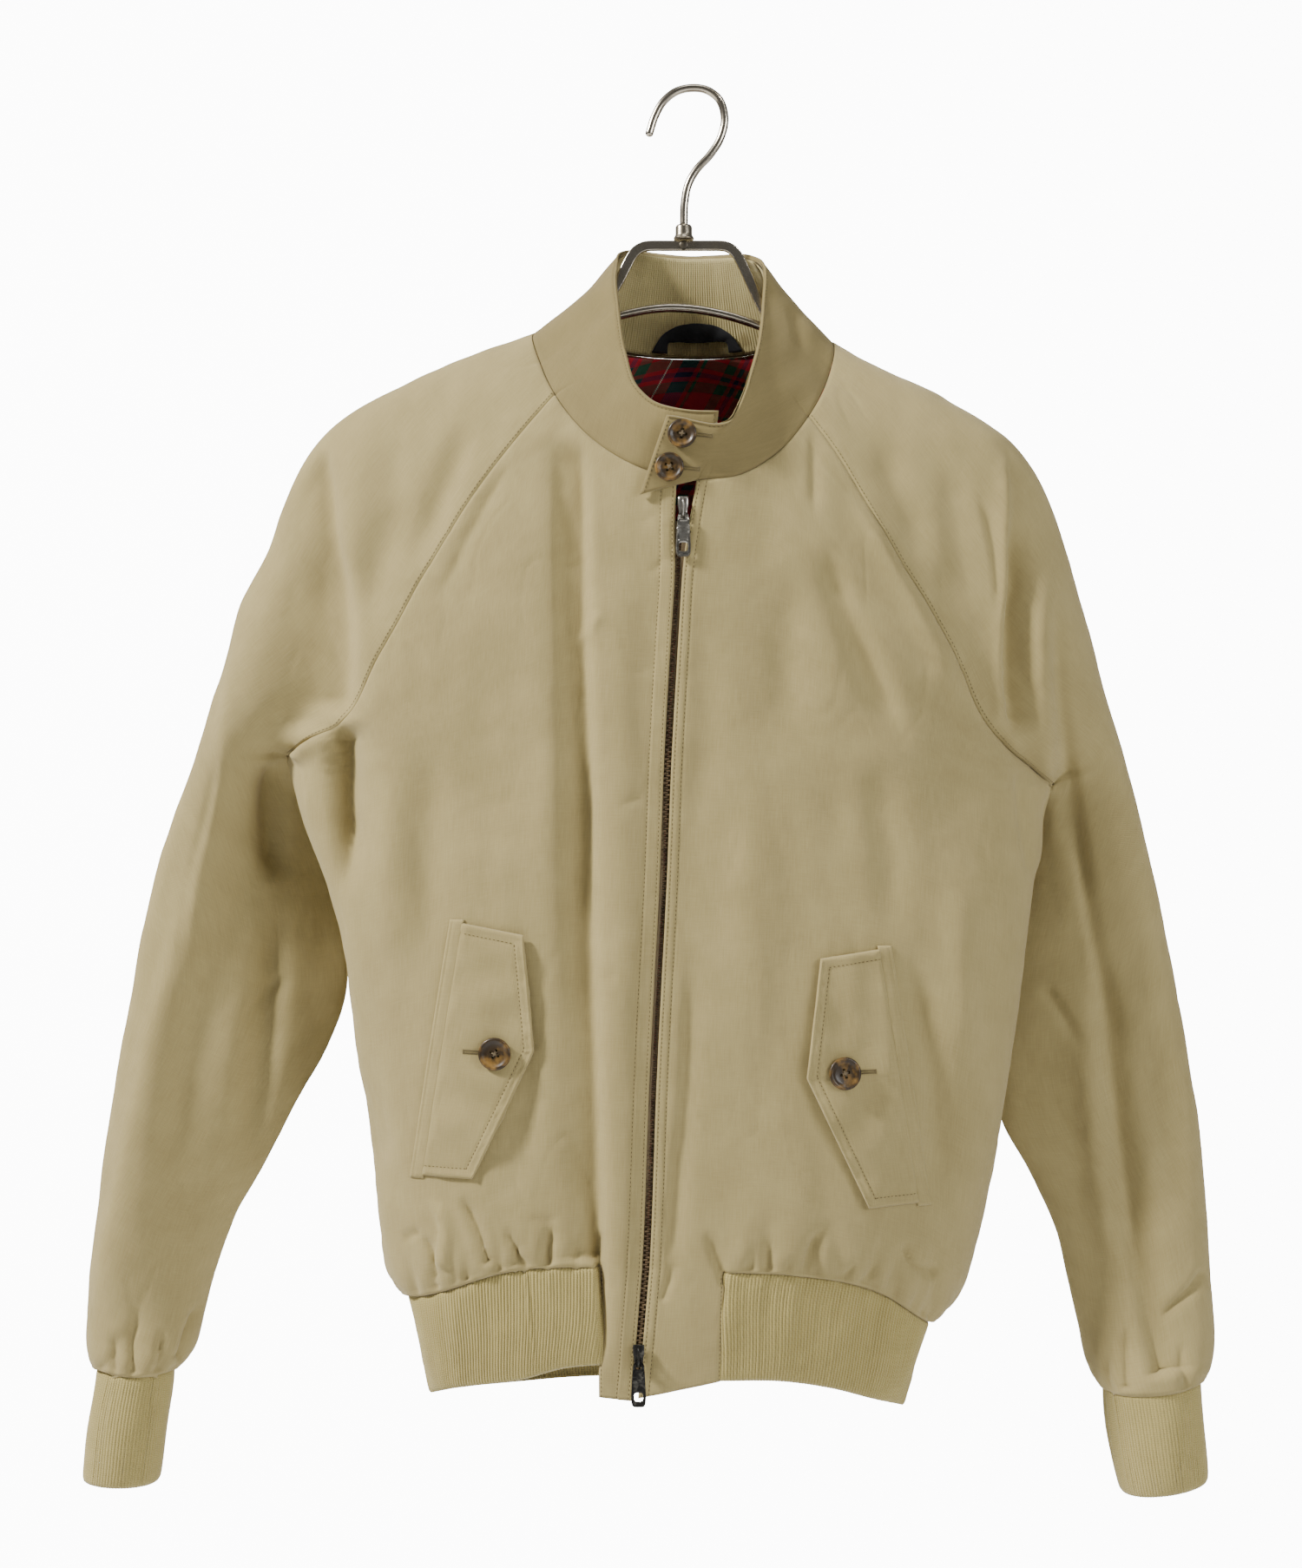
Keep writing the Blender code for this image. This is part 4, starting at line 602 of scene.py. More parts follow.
class Pattern:
    """Every surface of the garment, as grids of points in the tables' millimetres."""

    def __init__(self) -> None:
        """Draws the lines that the surfaces are worked out from."""
        stations = np.array(COLLAR_STATIONS, float)
        self.neck = Rail(stations[:, :3])
        self.top = Rail(stations[:, 3:])
        self.right = Side(RIGHT_CUT, self.neck)
        self.left = Side(LEFT_CUT, self.neck)
        self.back_edge = Rail(BACK_EDGE)
        x, z = np.array(HEM_SEAM, float).T
        self.hem_x = np.linspace(x[0], x[-1], 334)
        self.hem_z = soften(np.interp(self.hem_x, x, z)[:, None], 9.0)[:, 0]

    def hem_height(self, x: Array) -> Array:
        """The height of the front hem seam at an X."""
        return np.interp(x, self.hem_x, self.hem_z)

    def front(self, side: Side, u: Array, v: Array) -> Array:
        """One front, from the zip (u 0) to its side (1) and from the hem seam (v 0) to the neck (2).

        Args:
            side: The half of the garment.
            u: Shares of the way across.
            v: The heights of the rows.

        Returns:
            A grid of points, row by row.
        """
        points = bowed(side.centre(v), side.outer(v, side.raglan), u, v)
        ends = [
            bowed(side.centre(end), side.outer(end, side.raglan), u, end)[0]
            for end in (np.zeros(1), np.full(1, 2.0))
        ]
        low = np.clip(1 - v / 0.3, 0, 1) ** 2
        points[..., 2] += low[:, None] * (self.hem_height(ends[0][:, 0]) - ends[0][:, 2])
        high = np.clip((v - 1.55) / 0.45, 0, 1) ** 2
        points += high[:, None, None] * (side.neck(u) - ends[1])
        return soften(points, 9.0, smooth((1 - u) / 0.3)[None, :, None])

    def back(self, u: Array, v: Array) -> Array:
        """The back, from its right side (u -1) to its left (1) and from the hem (v 0) to the neck (2).

        Args:
            u: Places across, in rising order.
            v: The heights of the rows.

        Returns:
            A grid of points, row by row.
        """
        below = self.back_edge.by_length(np.clip(v, 0, 1), 0, BACK_ARMPIT)
        above = self.back_edge.by_length(np.clip(v - 1, 0, 1), BACK_ARMPIT)
        centre = self.back_edge.at(np.where(v <= 1, below, above))
        high = np.clip((v - 1.55) / 0.45, 0, 1) ** 2
        end = np.full(1, 2.0)
        halves = []
        for side, share in ((self.right, -u[u < 0]), (self.left, u[u >= 0])):
            points = bowed(centre, side.outer(v, side.back_raglan), share, v)
            neck = self.neck.at(self.neck.by_length(share, BACK_STATION, side.cut.neck_back))
            last = bowed(centre[-1:], side.outer(end, side.back_raglan), share, end)[0]
            halves.append(points + high[:, None, None] * (neck - last))
        points = np.concatenate(halves, axis=1)
        return soften(points, 9.0, smooth((1 - np.abs(u)) / 0.3)[None, :, None])

    def sleeve(self, side: Side, w: Array, v: Array) -> Array:
        """One sleeve, from the neck (v 0) past the armpit (1) to the cuff (2).

        Args:
            side: The half of the garment.
            w: Places across, from the front seam (0) over the outer line (0.5) to the back seam (1).
            v: How far down each row lies.

        Returns:
            A grid of points, row by row.
        """
        over = (v <= 1)[:, None]
        share = np.clip(v, 0, 1)
        ring = side.rings.at(np.clip(v - 1, 0, 1) * side.rings.last)
        ridge = np.where(over, side.ridge.share(share), ring[:, 0:3])
        front = np.where(over, side.raglan.share(1 - share), ring[:, 3:6])
        rear = np.where(over, side.back_raglan.share(1 - share), ring[:, 3:6])
        bow_front = np.where(over[:, 0], lerp(20, 32, smooth(share / 0.4)), ring[:, 6])
        bow_rear = np.where(over[:, 0], lerp(22, 42, smooth(share / 0.8)), ring[:, 7])
        opened = np.clip(2 - v, 0, 0.5) * 2
        lean = lerp(0.28, -0.55, smooth((v - 0.62) / 0.38))
        points = self._tube_half(front, ridge, -bow_front, lean, opened, w[w <= 0.5] * 2)
        rear_half = self._tube_half(rear, ridge, bow_rear, lean, opened, 2 - w[w > 0.5] * 2)
        points = np.concatenate([points, rear_half], axis=1)
        neck = self.sleeve_neck(side, w)
        fade = np.clip(1 - v / 0.3, 0, 1) ** 2
        points += fade[:, None, None] * (neck - points[0])
        across = smooth(np.minimum(w, 1 - w) / 0.16)
        return soften(points, 9.0, across[None, :, None])

    @staticmethod
    def _tube_half(seam: Array, ridge: Array, bow: Array, lean: Array, opened: Array, t: Array) -> Array:
        """The front or rear half of a sleeve's rows, from its seam (t 0) to its outer line (1).

        Args:
            seam: Where each row leaves its seam.
            ridge: Where it meets the outer line.
            bow: How far it bows to the front or the rear.
            lean: How far its start leans off the straight way to the outer line.
            opened: How much of that lean each row has.
            t: Shares of the way across.

        Returns:
            A grid of points, row by row.
        """
        along = (ridge - seam) * 0.42
        along[:, 1] = 0
        along[:, 1] = -np.sign(bow) * lean * np.linalg.norm(along, axis=1)
        out = np.zeros_like(seam)
        out[:, 1] = bow
        handle = along * opened[:, None] + out * (1 - opened)[:, None]
        t = t[None, :, None]
        a, b, c, d = (x[:, None, :] for x in (seam, seam + handle, ridge + out, ridge))
        return bezier(a, b, c, d, t)

    def sleeve_neck(self, side: Side, w: Array) -> Array:
        """The neck seam of a sleeve at shares of its width.

        Args:
            side: The half of the garment.
            w: Shares of the sleeve's width.

        Returns:
            A point for each.
        """
        cut = side.cut
        front = self.neck.by_length(np.clip(w * 2, 0, 1), cut.neck_raglan, cut.neck_ridge)
        rear = self.neck.by_length(np.clip(w * 2 - 1, 0, 1), cut.neck_ridge, cut.neck_back)
        return self.neck.at(np.where(w <= 0.5, front, rear))

    def collar(self, t: Array, h: Array) -> Array:
        """The collar at stations t along the neck seam, from the seam (h 0) to its top edge (1).

        Args:
            t: Stations along the neck seam.
            h: Shares of the collar's height.

        Returns:
            A grid of points, a row for each height.
        """
        low, high = self.neck.at(t), self.top.at(t)
        out = low + (0, 10, 0)
        out[:, 2] = 0
        ends = smooth(t / 3) * smooth((self.neck.last - t) / 3)
        bulge = unit(out) * lerp(0.5, -0.8, ends)[:, None]
        hollow = np.sin(math.pi * h)
        return low + (high - low) * h[:, None, None] + hollow[:, None, None] * bulge

    def rib_foot(self, right: int, half_back: int, left: int) -> Array:
        """The bottom edge of the hem rib, with as many points as the seam above it has in each stretch.

        Args:
            right: How many cells the right front has there.
            half_back: How many each half of the back has.
            left: How many the left front has.

        Returns:
            The points, from right to left round the back.
        """
        stretches = (
            (RIB_FOOT_RIGHT, right, False), (RIB_FOOT_BACK_RIGHT, half_back, False),
            (RIB_FOOT_BACK_LEFT, half_back, False), (RIB_FOOT_LEFT, left, True),
        )
        rows = []
        for spots, count, turned in stretches:
            share = np.linspace(0, 1, count + 1)
            rows.append(Rail(spots).share(1 - share if turned else share)[:-1])
        return np.concatenate(rows + [np.array(RIB_FOOT_LEFT[:1], float)])


# ---------------------------------------------------------------------------------------------
# Folds: drawn on the upright plane through the rail, as they are seen from in front of it.


@dataclass(frozen=True)
class Fold:
    """A soft ridge or trough along a line, with its own width on either side."""

    name: str
    line: tuple[tuple[float, float], ...]
    rise: float
    left: float
    right: float
    widen: float = 1.0
    power: float = 2.0
    fades: tuple[float, float] = (0.25, 0.25)

    def at(self, flat: Array) -> Array:
        """Its height at places on the plane.

        Args:
            flat: X and Z of each place in millimetres.

        Returns:
            How far it stands out there; a trough is negative.
        """
        line = Rail(self.line).share(np.linspace(0, 1, 4 * len(self.line)))
        reach = 2.6 * max(self.left, self.right) * max(1.0, self.widen)
        near = np.all((flat > line.min(0) - reach) & (flat < line.max(0) + reach), axis=-1)
        spots = flat[near]
        best = np.full(len(spots), np.inf)
        turn, share = np.zeros(len(spots)), np.zeros(len(spots))
        walked = walk_along(line)
        for start, end, before, after in zip(line, line[1:], walked, walked[1:]):
            run, here = end - start, spots - start
            t = np.clip(here @ run / (run @ run), 0, 1)
            off = np.linalg.norm(here - t[:, None] * run, axis=1)
            closer = off < best
            best = np.where(closer, off, best)
            turn = np.where(closer, run[0] * here[:, 1] - run[1] * here[:, 0], turn)
            share = np.where(closer, lerp(before, after, t) / walked[-1], share)
        width = np.where(turn > 0, self.right, self.left) * lerp(1.0, self.widen, share)
        first, last = self.fades
        fade = smooth(share / max(first, 1e-3)) * smooth((1 - share) / max(last, 1e-3))
        height = np.zeros(flat.shape[:-1])
        height[near] = self.rise * fade * np.exp(-((best / width) ** self.power))
        return height


class Face(Enum):
    """The parts of the garment that a list of folds lies on."""

    FRONT_BODY = "front of the body"
    FRONT_SLEEVE = "front of the sleeves"
    BACK_BODY = "back of the body"
    BACK_SLEEVE = "back of the sleeves"


FOLDS: dict[Face, tuple[Fold, ...]] = {
    Face.FRONT_BODY: (
        Fold(
            "underarm_reentrant", ((-222, -398), (-222, -438), (-220, -471), (-216, -515)),
            -7, 3.5, 13, 1, 1.6, (0.12, 0.45),
        ),
        Fold("underarm_flap", ((-249, -427), (-236, -410), (-224, -396)), 3, 6, 6, fades=(0.2, 0.2)),
        Fold(
            "chest_crease_right", ((-111, -232), (-135, -273), (-161, -330)), -1.4, 4, 6, 1, 1.6,
            (0.2, 0.35),
        ),
        Fold("side_soft_right", ((-163, -399), (-166, -471), (-162, -553)), -2.2, 13, 15, fades=(0.35, 0.35)),
        Fold("side_crest_right", ((-185, -416), (-187, -493), (-181, -581)), 1.6, 12, 14, fades=(0.35, 0.35)),
        Fold(
            "placket_band",
            ((-70, -215), (-68, -251), (-66, -351), (-63, -438), (-61, -548), (-58, -658), (-56, -817)),
            -5.2, 21, 5, fades=(0.03, 0.06),
        ),
        Fold(
            "band_brink", ((-88, -222), (-87, -300), (-84, -420), (-82, -560)), 1.2, 13, 5.5,
            fades=(0.05, 0.4),
        ),
        Fold(
            "placket_roll", ((-43, -273), (-42, -361), (-41, -454), (-41, -575), (-41, -685), (-41, -817)),
            1.7, 13, 12, fades=(0.2, 0.06),
        ),
        Fold("placket_intrusion", ((-51, -328), (-61, -340), (-70, -355)), 1.2, 3.5, 4, fades=(0.3, 0.4)),
        Fold("placket_nick_1", ((-13, -295), (-18, -301), (-24, -308)), -0.8, 2.2, 3, 1, 1.6, (0.2, 0.4)),
        Fold("placket_nick_2", ((-27, -446), (-36, -450), (-46, -456)), -0.8, 2.2, 3, 1, 1.6, (0.2, 0.4)),
        Fold("placket_nick_3", ((-46, -558), (-51, -562), (-55, -566)), -0.7, 2, 3, 1, 1.6, (0.3, 0.4)),
        Fold("placket_nick_4", ((-55, -750), (-50, -755), (-43, -762)), -1, 2, 3, 1, 1.6, (0.3, 0.4)),
        Fold(
            "waist_soft_right", ((-105, -526), (-102, -614), (-107, -713)), -1.8, 14, 12, fades=(0.35, 0.35)
        ),
        Fold("belly_crest_right", ((-80, -383), (-83, -493), (-80, -603)), 1.6, 14, 12, fades=(0.35, 0.35)),
        Fold(
            "chest_hollow_right", ((-127, -328), (-129, -416), (-124, -498)),
            -1.6, 20, 18, fades=(0.35, 0.35),
        ),
        Fold("side_roll_right", ((-207, -548), (-201, -630), (-190, -713)), -1.8, 8, 10, fades=(0.3, 0.3)),
        Fold("neck_crease_left", ((79, -210), (80, -240), (81, -273)), -1.4, 3.5, 5, 1, 1.6, (0.2, 0.35)),
        Fold("chest_ridge_left", ((101, -251), (110, -264), (142, -322), (177, -391)), 2.6, 7, 15),
        Fold(
            "chest_trough_left", ((86, -284), (97, -317), (113, -356), (142, -421)),
            -3.2, 12, 7, fades=(0.25, 0.3),
        ),
        Fold("chest_soft_left", ((63, -295), (64, -361), (62, -432)), -2.2, 16, 17, fades=(0.35, 0.35)),
        Fold("belly_soft_left", ((121, -416), (127, -471), (133, -540)), -2.2, 12, 12, fades=(0.3, 0.35)),
        Fold(
            "side_soft_left", ((137, -537), (149, -586), (159, -641), (163, -729)),
            -2.6, 12, 9, fades=(0.25, 0.3),
        ),
        Fold("side_crest_left", ((170, -493), (173, -559), (177, -636)), 1.5, 10, 10, fades=(0.3, 0.3)),
        Fold(
            "armpit_turn_left", ((217, -425), (234, -438), (231, -452), (229, -493), (220, -513)),
            -2.6, 3.5, 6, 1, 1.7, (0.2, 0.2),
        ),
        Fold("armpit_line_left", ((210, -425), (213, -460), (220, -505)), -1.8, 3, 5, 1, 1.6),
        Fold(
            "placket_trough_left", ((3, -537), (-2, -650), (-9, -715), (-11, -762)),
            -1.4, 4, 8, fades=(0.25, 0.2),
        ),
        Fold("placket_soft_left", ((12, -295), (12, -383), (8, -493)), -1.2, 9, 12, fades=(0.3, 0.35)),
        Fold("belly_crest_left", ((42, -438), (41, -537), (37, -647)), 1.5, 16, 16, fades=(0.35, 0.35)),
        Fold(
            "hem_pleat_right_1", ((-168, -724), (-160, -736), (-158, -752)), -2.6, 2.4, 3.2, 1, 1.7,
            (0.35, 0.02),
        ),
        Fold("hem_pleat_right_2", ((-104, -726), (-112, -748)), -2.2, 2.2, 2.8, 1, 1.7, (0.4, 0.02)),
        Fold("hem_pleat_right_3", ((-72, -730), (-70, -746)), -2.0, 2.2, 2.6, 1, 1.7, (0.4, 0.02)),
        Fold("hem_pleat_left_1", ((66, -736), (62, -757)), -2.3, 2.2, 3.0, 1, 1.7, (0.4, 0.02)),
        Fold("hem_pleat_left_2", ((130, -744), (127, -768)), -2.2, 2.4, 2.8, 1, 1.7, (0.4, 0.02)),
        Fold(
            "hem_nick_right", ((-181, -728), (-175, -726), (-167, -722)), -2.2, 2.1, 2.5, 1, 1.6, (0.3, 0.3)
        ),
        Fold("hem_crest_right", ((-162, -701), (-153, -715), (-154, -746)), 2.8, 3.1, 3.8, fades=(0.3, 0.1)),
        Fold(
            "hem_fold_right_1", ((-144, -698), (-132, -723), (-126, -744)), -3.3, 2.8, 4.2, 1, 1.7,
            (0.35, 0.02),
        ),
        Fold("hem_fold_right_2", ((-115, -718), (-103, -748)), -2.9, 2.8, 3.4, 1, 1.7, (0.4, 0.02)),
        Fold("hem_fold_right_3", ((-85, -717), (-91, -746)), -2.8, 2.8, 3.8, 1, 1.7, (0.4, 0.02)),
        Fold("hem_fold_right_4", ((-55, -721), (-59, -746)), -2.5, 2.4, 3.4, 1, 1.7, (0.4, 0.02)),
        Fold(
            "hem_crescent_right", ((-100, -712), (-90, -717), (-79, -713)), -0.9, 2.5, 3, 1, 1.7, (0.3, 0.3)
        ),
        Fold("hem_fold_left_1", ((90, -718), (77, -736), (76, -758)), -3.1, 3.1, 3.8, 1, 1.7, (0.35, 0.02)),
        Fold("hem_fold_left_2", ((108, -740), (97, -762)), -2.8, 2.8, 3.4, 1, 1.7, (0.4, 0.02)),
        Fold("hem_fold_left_3", ((122, -740), (111, -767)), -2.8, 2.8, 3.4, 1, 1.7, (0.4, 0.02)),
        Fold("hem_fold_left_4", ((138, -728), (142, -744), (159, -751)), -2.9, 2.8, 3.8, 1, 1.7, (0.3, 0.1)),
        Fold("hem_fold_left_5", ((11, -721), (18, -738), (26, -757)), -3.1, 3.1, 3.8, 1, 1.7, (0.4, 0.02)),
        Fold("hem_fold_left_6", ((-7, -740), (-16, -768)), -2.0, 2.4, 3.0, 1, 1.7, (0.4, 0.1)),
        Fold("hem_fold_left_7", ((51, -727), (53, -757)), -2.3, 2.8, 3.4, 1, 1.7, (0.4, 0.02)),
    ),
    Face.FRONT_SLEEVE: (
        Fold(
            "top_arm_crease_left", ((181, -246), (190, -270), (196, -304), (197, -340)), -1.3, 2.2, 6,
            fades=(0.3, 0.3),
        ),
        Fold(
            "arm_pleat_left", ((244, -452), (251, -505), (262, -566), (276, -622)), -1.6, 2.4, 8,
            fades=(0.3, 0.35),
        ),
        Fold(
            "arm_pleat_right", ((-292, -395), (-303, -452), (-316, -508), (-322, -566)), -1.5, 7, 2.4,
            fades=(0.3, 0.35),
        ),
        Fold("elbow_nick_right", ((-252, -560), (-268, -574), (-283, -596)), -1.8, 2.6, 5, fades=(0.15, 0.5)),
        Fold("elbow_nick_left", ((226, -566), (240, -586), (253, -612)), -1.6, 5, 2.6, fades=(0.15, 0.5)),
        Fold(
            "shoulder_groove_right", ((-234, -215), (-230, -251), (-225, -295), (-221, -330), (-222, -402)),
            -5.2, 11, 5, 1.9, 1.8, (0.2, 0.08),
        ),
        Fold(
            "underarm_hollow_right", ((-237, -273), (-240, -328), (-242, -377), (-247, -416)),
            -5.5, 17, 18, 1.1, 2, (0.35, 0.12),
        ),
        Fold(
            "arm_crest_right",
            (
                (-270, -273), (-277, -330), (-288, -392), (-305, -457), (-323, -546), (-339, -606),
                (-350, -665), (-368, -754), (-372, -801),
            ),
            3.4, 8, 20, fades=(0.12, 0.12),
        ),
        Fold("arm_shadow_right", ((-258, -416), (-262, -460), (-260, -504)), -5.4, 9, 8, fades=(0.3, 0.3)),
        Fold(
            "inner_arm_right", ((-259, -509), (-262, -553), (-268, -608), (-281, -683)),
            -3.6, 11, 8, fades=(0.3, 0.3),
        ),
        Fold(
            "forearm_soft_right", ((-307, -537), (-316, -614), (-333, -707)),
            -1.8, 14, 14, fades=(0.35, 0.35),
        ),
        Fold(
            "cuff_pucker_right", ((-307, -767), (-316, -782), (-324, -804)), -3.1, 2.1, 3.4, 1, 1.6,
            (0.3, 0.05),
        ),
        Fold(
            "cuff_fold_right_1", ((-347, -768), (-351, -790), (-352, -815)),
            -2.9, 2.8, 3.8, 1, 1.7, (0.4, 0.02),
        ),
        Fold("cuff_fold_right_2", ((-333, -782), (-336, -815)), -2.3, 2.4, 3.4, 1, 1.7, (0.4, 0.02)),
        Fold("cuff_fold_right_3", ((-362, -784), (-364, -815)), -2.2, 2.4, 3.0, 1, 1.7, (0.4, 0.02)),
        Fold(
            "raglan_trough_right", ((-138, -207), (-156, -256), (-180, -311)), -2.4, 9, 9,
            fades=(0.25, 0.35),
        ),
        Fold(
            "raglan_trough_low", ((-176, -251), (-193, -295), (-208, -350)), -1.8, 12, 12, fades=(0.3, 0.35)
        ),
        Fold(
            "shoulder_soft_right", ((-198, -207), (-206, -251), (-211, -317)), 1.6, 12, 12, fades=(0.3, 0.3)
        ),
        Fold(
            "shoulder_groove_left", ((205, -267), (208, -303), (206, -339), (206, -377), (210, -410)),
            -5.4, 3.2, 9, 1.2, 1.7, (0.22, 0.1),
        ),
        Fold(
            "shoulder_crease_left", ((201, -226), (202, -273), (202, -310), (198, -354), (199, -405)),
            1.8, 6, 2.5, 1, 1.8, (0.15, 0.1),
        ),
        Fold(
            "arm_s_crease", ((213, -300), (210, -317), (205, -331), (203, -352)),
            -1.4, 2.5, 2.5, 1, 1.6, (0.2, 0.3),
        ),
        Fold("arm_pucker_1", ((195, -365), (203, -367), (212, -374)), 1.1, 3, 3, fades=(0.3, 0.3)),
        Fold("arm_pucker_2", ((198, -386), (204, -389), (212, -395)), 1.1, 3, 3, fades=(0.3, 0.3)),
        Fold("arm_pucker_3", ((198, -406), (204, -410), (211, -417)), 1, 3, 3, fades=(0.3, 0.3)),
        Fold(
            "arm_line_left", ((232, -317), (235, -354), (241, -419), (254, -526)),
            -2.2, 8, 5, fades=(0.25, 0.3),
        ),
        Fold(
            "arm_crest_left", ((223, -284), (225, -361), (230, -438), (239, -504)), 2, 9, 9,
            fades=(0.3, 0.3),
        ),
        Fold(
            "forearm_crease_left", ((258, -548), (272, -650), (285, -741), (300, -817)),
            -4.6, 5, 13, 1.2, 1.8, (0.2, 0.02),
        ),
        Fold("forearm_crest_left", ((250, -592), (259, -669), (271, -751)), 2.2, 8, 7, fades=(0.3, 0.25)),
        Fold("outer_soft_left", ((290, -575), (301, -652), (309, -729)), -1.8, 12, 12, fades=(0.35, 0.35)),
        Fold(
            "cuff_crescent_left", ((330, -745), (320, -759), (309, -769), (300, -780)),
            -2.8, 2.2, 4.2, 1, 1.7, (0.2, 0.25),
        ),
        Fold(
            "cuff_fold_left_1", ((280, -773), (278, -795), (279, -823)), -2.8, 2.8, 3.4, 1, 1.7, (0.4, 0.02)
        ),
        Fold("cuff_fold_left_2", ((313, -790), (316, -823)), -2.6, 2.8, 3.4, 1, 1.7, (0.4, 0.02)),
        Fold("cuff_fold_left_3", ((267, -798), (269, -826)), -2.0, 2.4, 3.0, 1, 1.7, (0.4, 0.02)),
        Fold("shoulder_soft_left", ((164, -223), (172, -273), (181, -339)), -1.8, 12, 12, fades=(0.3, 0.35)),
        Fold("raglan_soft_left", ((120, -218), (137, -256), (158, -300)), -1.5, 9, 9, fades=(0.3, 0.35)),
    ),
    Face.BACK_BODY: (
        Fold("back_middle", ((-30, -229), (-33, -438), (-35, -669)), -3.2, 20, 20, fades=(0.3, 0.3)),
        Fold("back_right", ((-127, -295), (-138, -438), (-144, -603)), 2.8, 18, 18, fades=(0.3, 0.3)),
        Fold("back_left", ((107, -295), (115, -438), (120, -603)), 2.8, 18, 18, fades=(0.3, 0.3)),
        Fold("blade_right", ((-94, -251), (-122, -339), (-160, -416)), -2.2, 13, 11, fades=(0.3, 0.3)),
        Fold("blade_left", ((49, -251), (88, -344), (132, -421)), -2.4, 11, 13, fades=(0.3, 0.3)),
        Fold("yoke_line", ((-105, -201), (-22, -218), (55, -206)), -1.2, 8, 8, fades=(0.3, 0.3)),
        Fold("waist_right", ((-100, -493), (-95, -592), (-103, -713)), -2.6, 13, 11, fades=(0.35, 0.2)),
        Fold("waist_middle", ((5, -520), (8, -625), (3, -724)), -2.3, 12, 12, fades=(0.35, 0.2)),
        Fold("waist_left", ((77, -504), (84, -614), (79, -724)), -2.6, 11, 13, fades=(0.35, 0.2)),
        Fold("side_right", ((-187, -482), (-186, -592), (-176, -702)), -2.4, 11, 13, fades=(0.3, 0.2)),
        Fold("side_left", ((176, -482), (177, -592), (170, -702)), -2.6, 13, 10, fades=(0.3, 0.2)),
        Fold("underarm_right", ((-220, -410), (-213, -471), (-206, -537)), -3.5, 5, 11, 1, 1.8, (0.15, 0.4)),
        Fold("underarm_left", ((214, -421), (210, -482), (203, -542)), -3.2, 11, 5, 1, 1.8, (0.15, 0.4)),
    ),
    Face.BACK_SLEEVE: (
        Fold(
            "sleeve_fall_right", ((-226, -229), (-227, -295), (-236, -377)), -4, 10, 12, 1, 1.9, (0.25, 0.2)
        ),
        Fold(
            "sleeve_crest_right", ((-260, -295), (-276, -372), (-296, -471), (-317, -575)),
            2.6, 14, 12, fades=(0.2, 0.25),
        ),
        Fold(
            "sleeve_elbow_right", ((-253, -493), (-276, -526), (-303, -548)), -1.8, 10, 10, fades=(0.3, 0.3)
        ),
        Fold("sleeve_low_right", ((-303, -559), (-317, -652), (-338, -746)), -2.8, 12, 14, fades=(0.3, 0.2)),
        Fold("sleeve_fall_left", ((198, -229), (201, -300), (214, -383)), -4.2, 12, 9, 1, 1.9, (0.25, 0.2)),
        Fold(
            "sleeve_crest_left", ((232, -295), (242, -377), (256, -471), (270, -575)),
            2.4, 12, 14, fades=(0.2, 0.25),
        ),
        Fold("sleeve_elbow_left", ((235, -487), (256, -520), (283, -546)), -1.8, 10, 10, fades=(0.3, 0.3)),
        Fold("sleeve_low_left", ((269, -559), (283, -652), (297, -746)), -2.8, 14, 12, fades=(0.3, 0.2)),
    ),
}


@dataclass(frozen=True)
class Gathers:
    """Small pleats that a tighter piece draws in along its seam, in mm.

    Args:
        pitch: Their mean spacing.
        rise: The depth of the largest.
        reach: How far they run from the seam.
        span: Where they start and end along the seam.
        start: The distance from the seam over which they come up, where they don't start on it.
    """

    pitch: float
    rise: float
    reach: float
    span: tuple[float, float]
    start: float | None = None

    def at(self, along: Array, away: Array, seed: int) -> Array:
        """The heights of the pleats.

        Args:
            along: Distance along the seam at each point.
            away: Distance from the seam.
            seed: Which of the uneven sets it is.

        Returns:
            The height at each point.
        """
        rng = np.random.default_rng(seed)
        total = np.zeros(along.shape)
        spot = self.span[0] + self.pitch * rng.uniform(0.3, 0.9)
        while spot < self.span[1]:
            depth, length = self.rise * rng.uniform(0.3, 1.0), self.reach * rng.uniform(0.35, 1.5)
            width, slant = self.pitch * rng.uniform(0.2, 0.34), rng.normal() * 0.22
            off = (along - spot - slant * away) / (width * (1 + away / self.reach))
            total -= depth * np.exp(-np.abs(off) ** 1.6) * np.exp(-((away / length) ** 2))
            spot += self.pitch * rng.uniform(0.6, 1.5)
        return total if self.start is None else total * smooth(away / self.start)


HEM_GATHERS = Gathers(pitch=13.0, rise=4.4, reach=30.0, span=(50.0, 215.0), start=4)
BACK_GATHERS = Gathers(pitch=12.0, rise=2.2, reach=30.0, span=(4.0, 420.0), start=5)
CUFF_GATHERS = Gathers(pitch=11.0, rise=1.8, reach=26.0, span=(3.0, 230.0), start=5)
ZIP_PUCKERS = Gathers(pitch=17.0, rise=0.35, reach=14.0, span=(0.0, 560.0), start=4)
SIDE_PUCKERS = Gathers(pitch=13.0, rise=0.45, reach=9.0, span=(0.0, 620.0), start=3)
SLEEVE_PUCKERS = Gathers(pitch=11.0, rise=0.5, reach=8.0, span=(0.0, 700.0), start=3)
COLLAR_PUCKERS = Gathers(pitch=12.0, rise=0.3, reach=8.0, span=(0.0, 700.0), start=3)
FLAP_PUCKERS = Gathers(pitch=6.5, rise=0.75, reach=3.6, span=(4.0, 160.0))
LINING_PUCKERS = Gathers(pitch=15.0, rise=0.5, reach=20.0, span=(4.0, 330.0))


# ---------------------------------------------------------------------------------------------
# Grids of cloth and the meshes made from them.


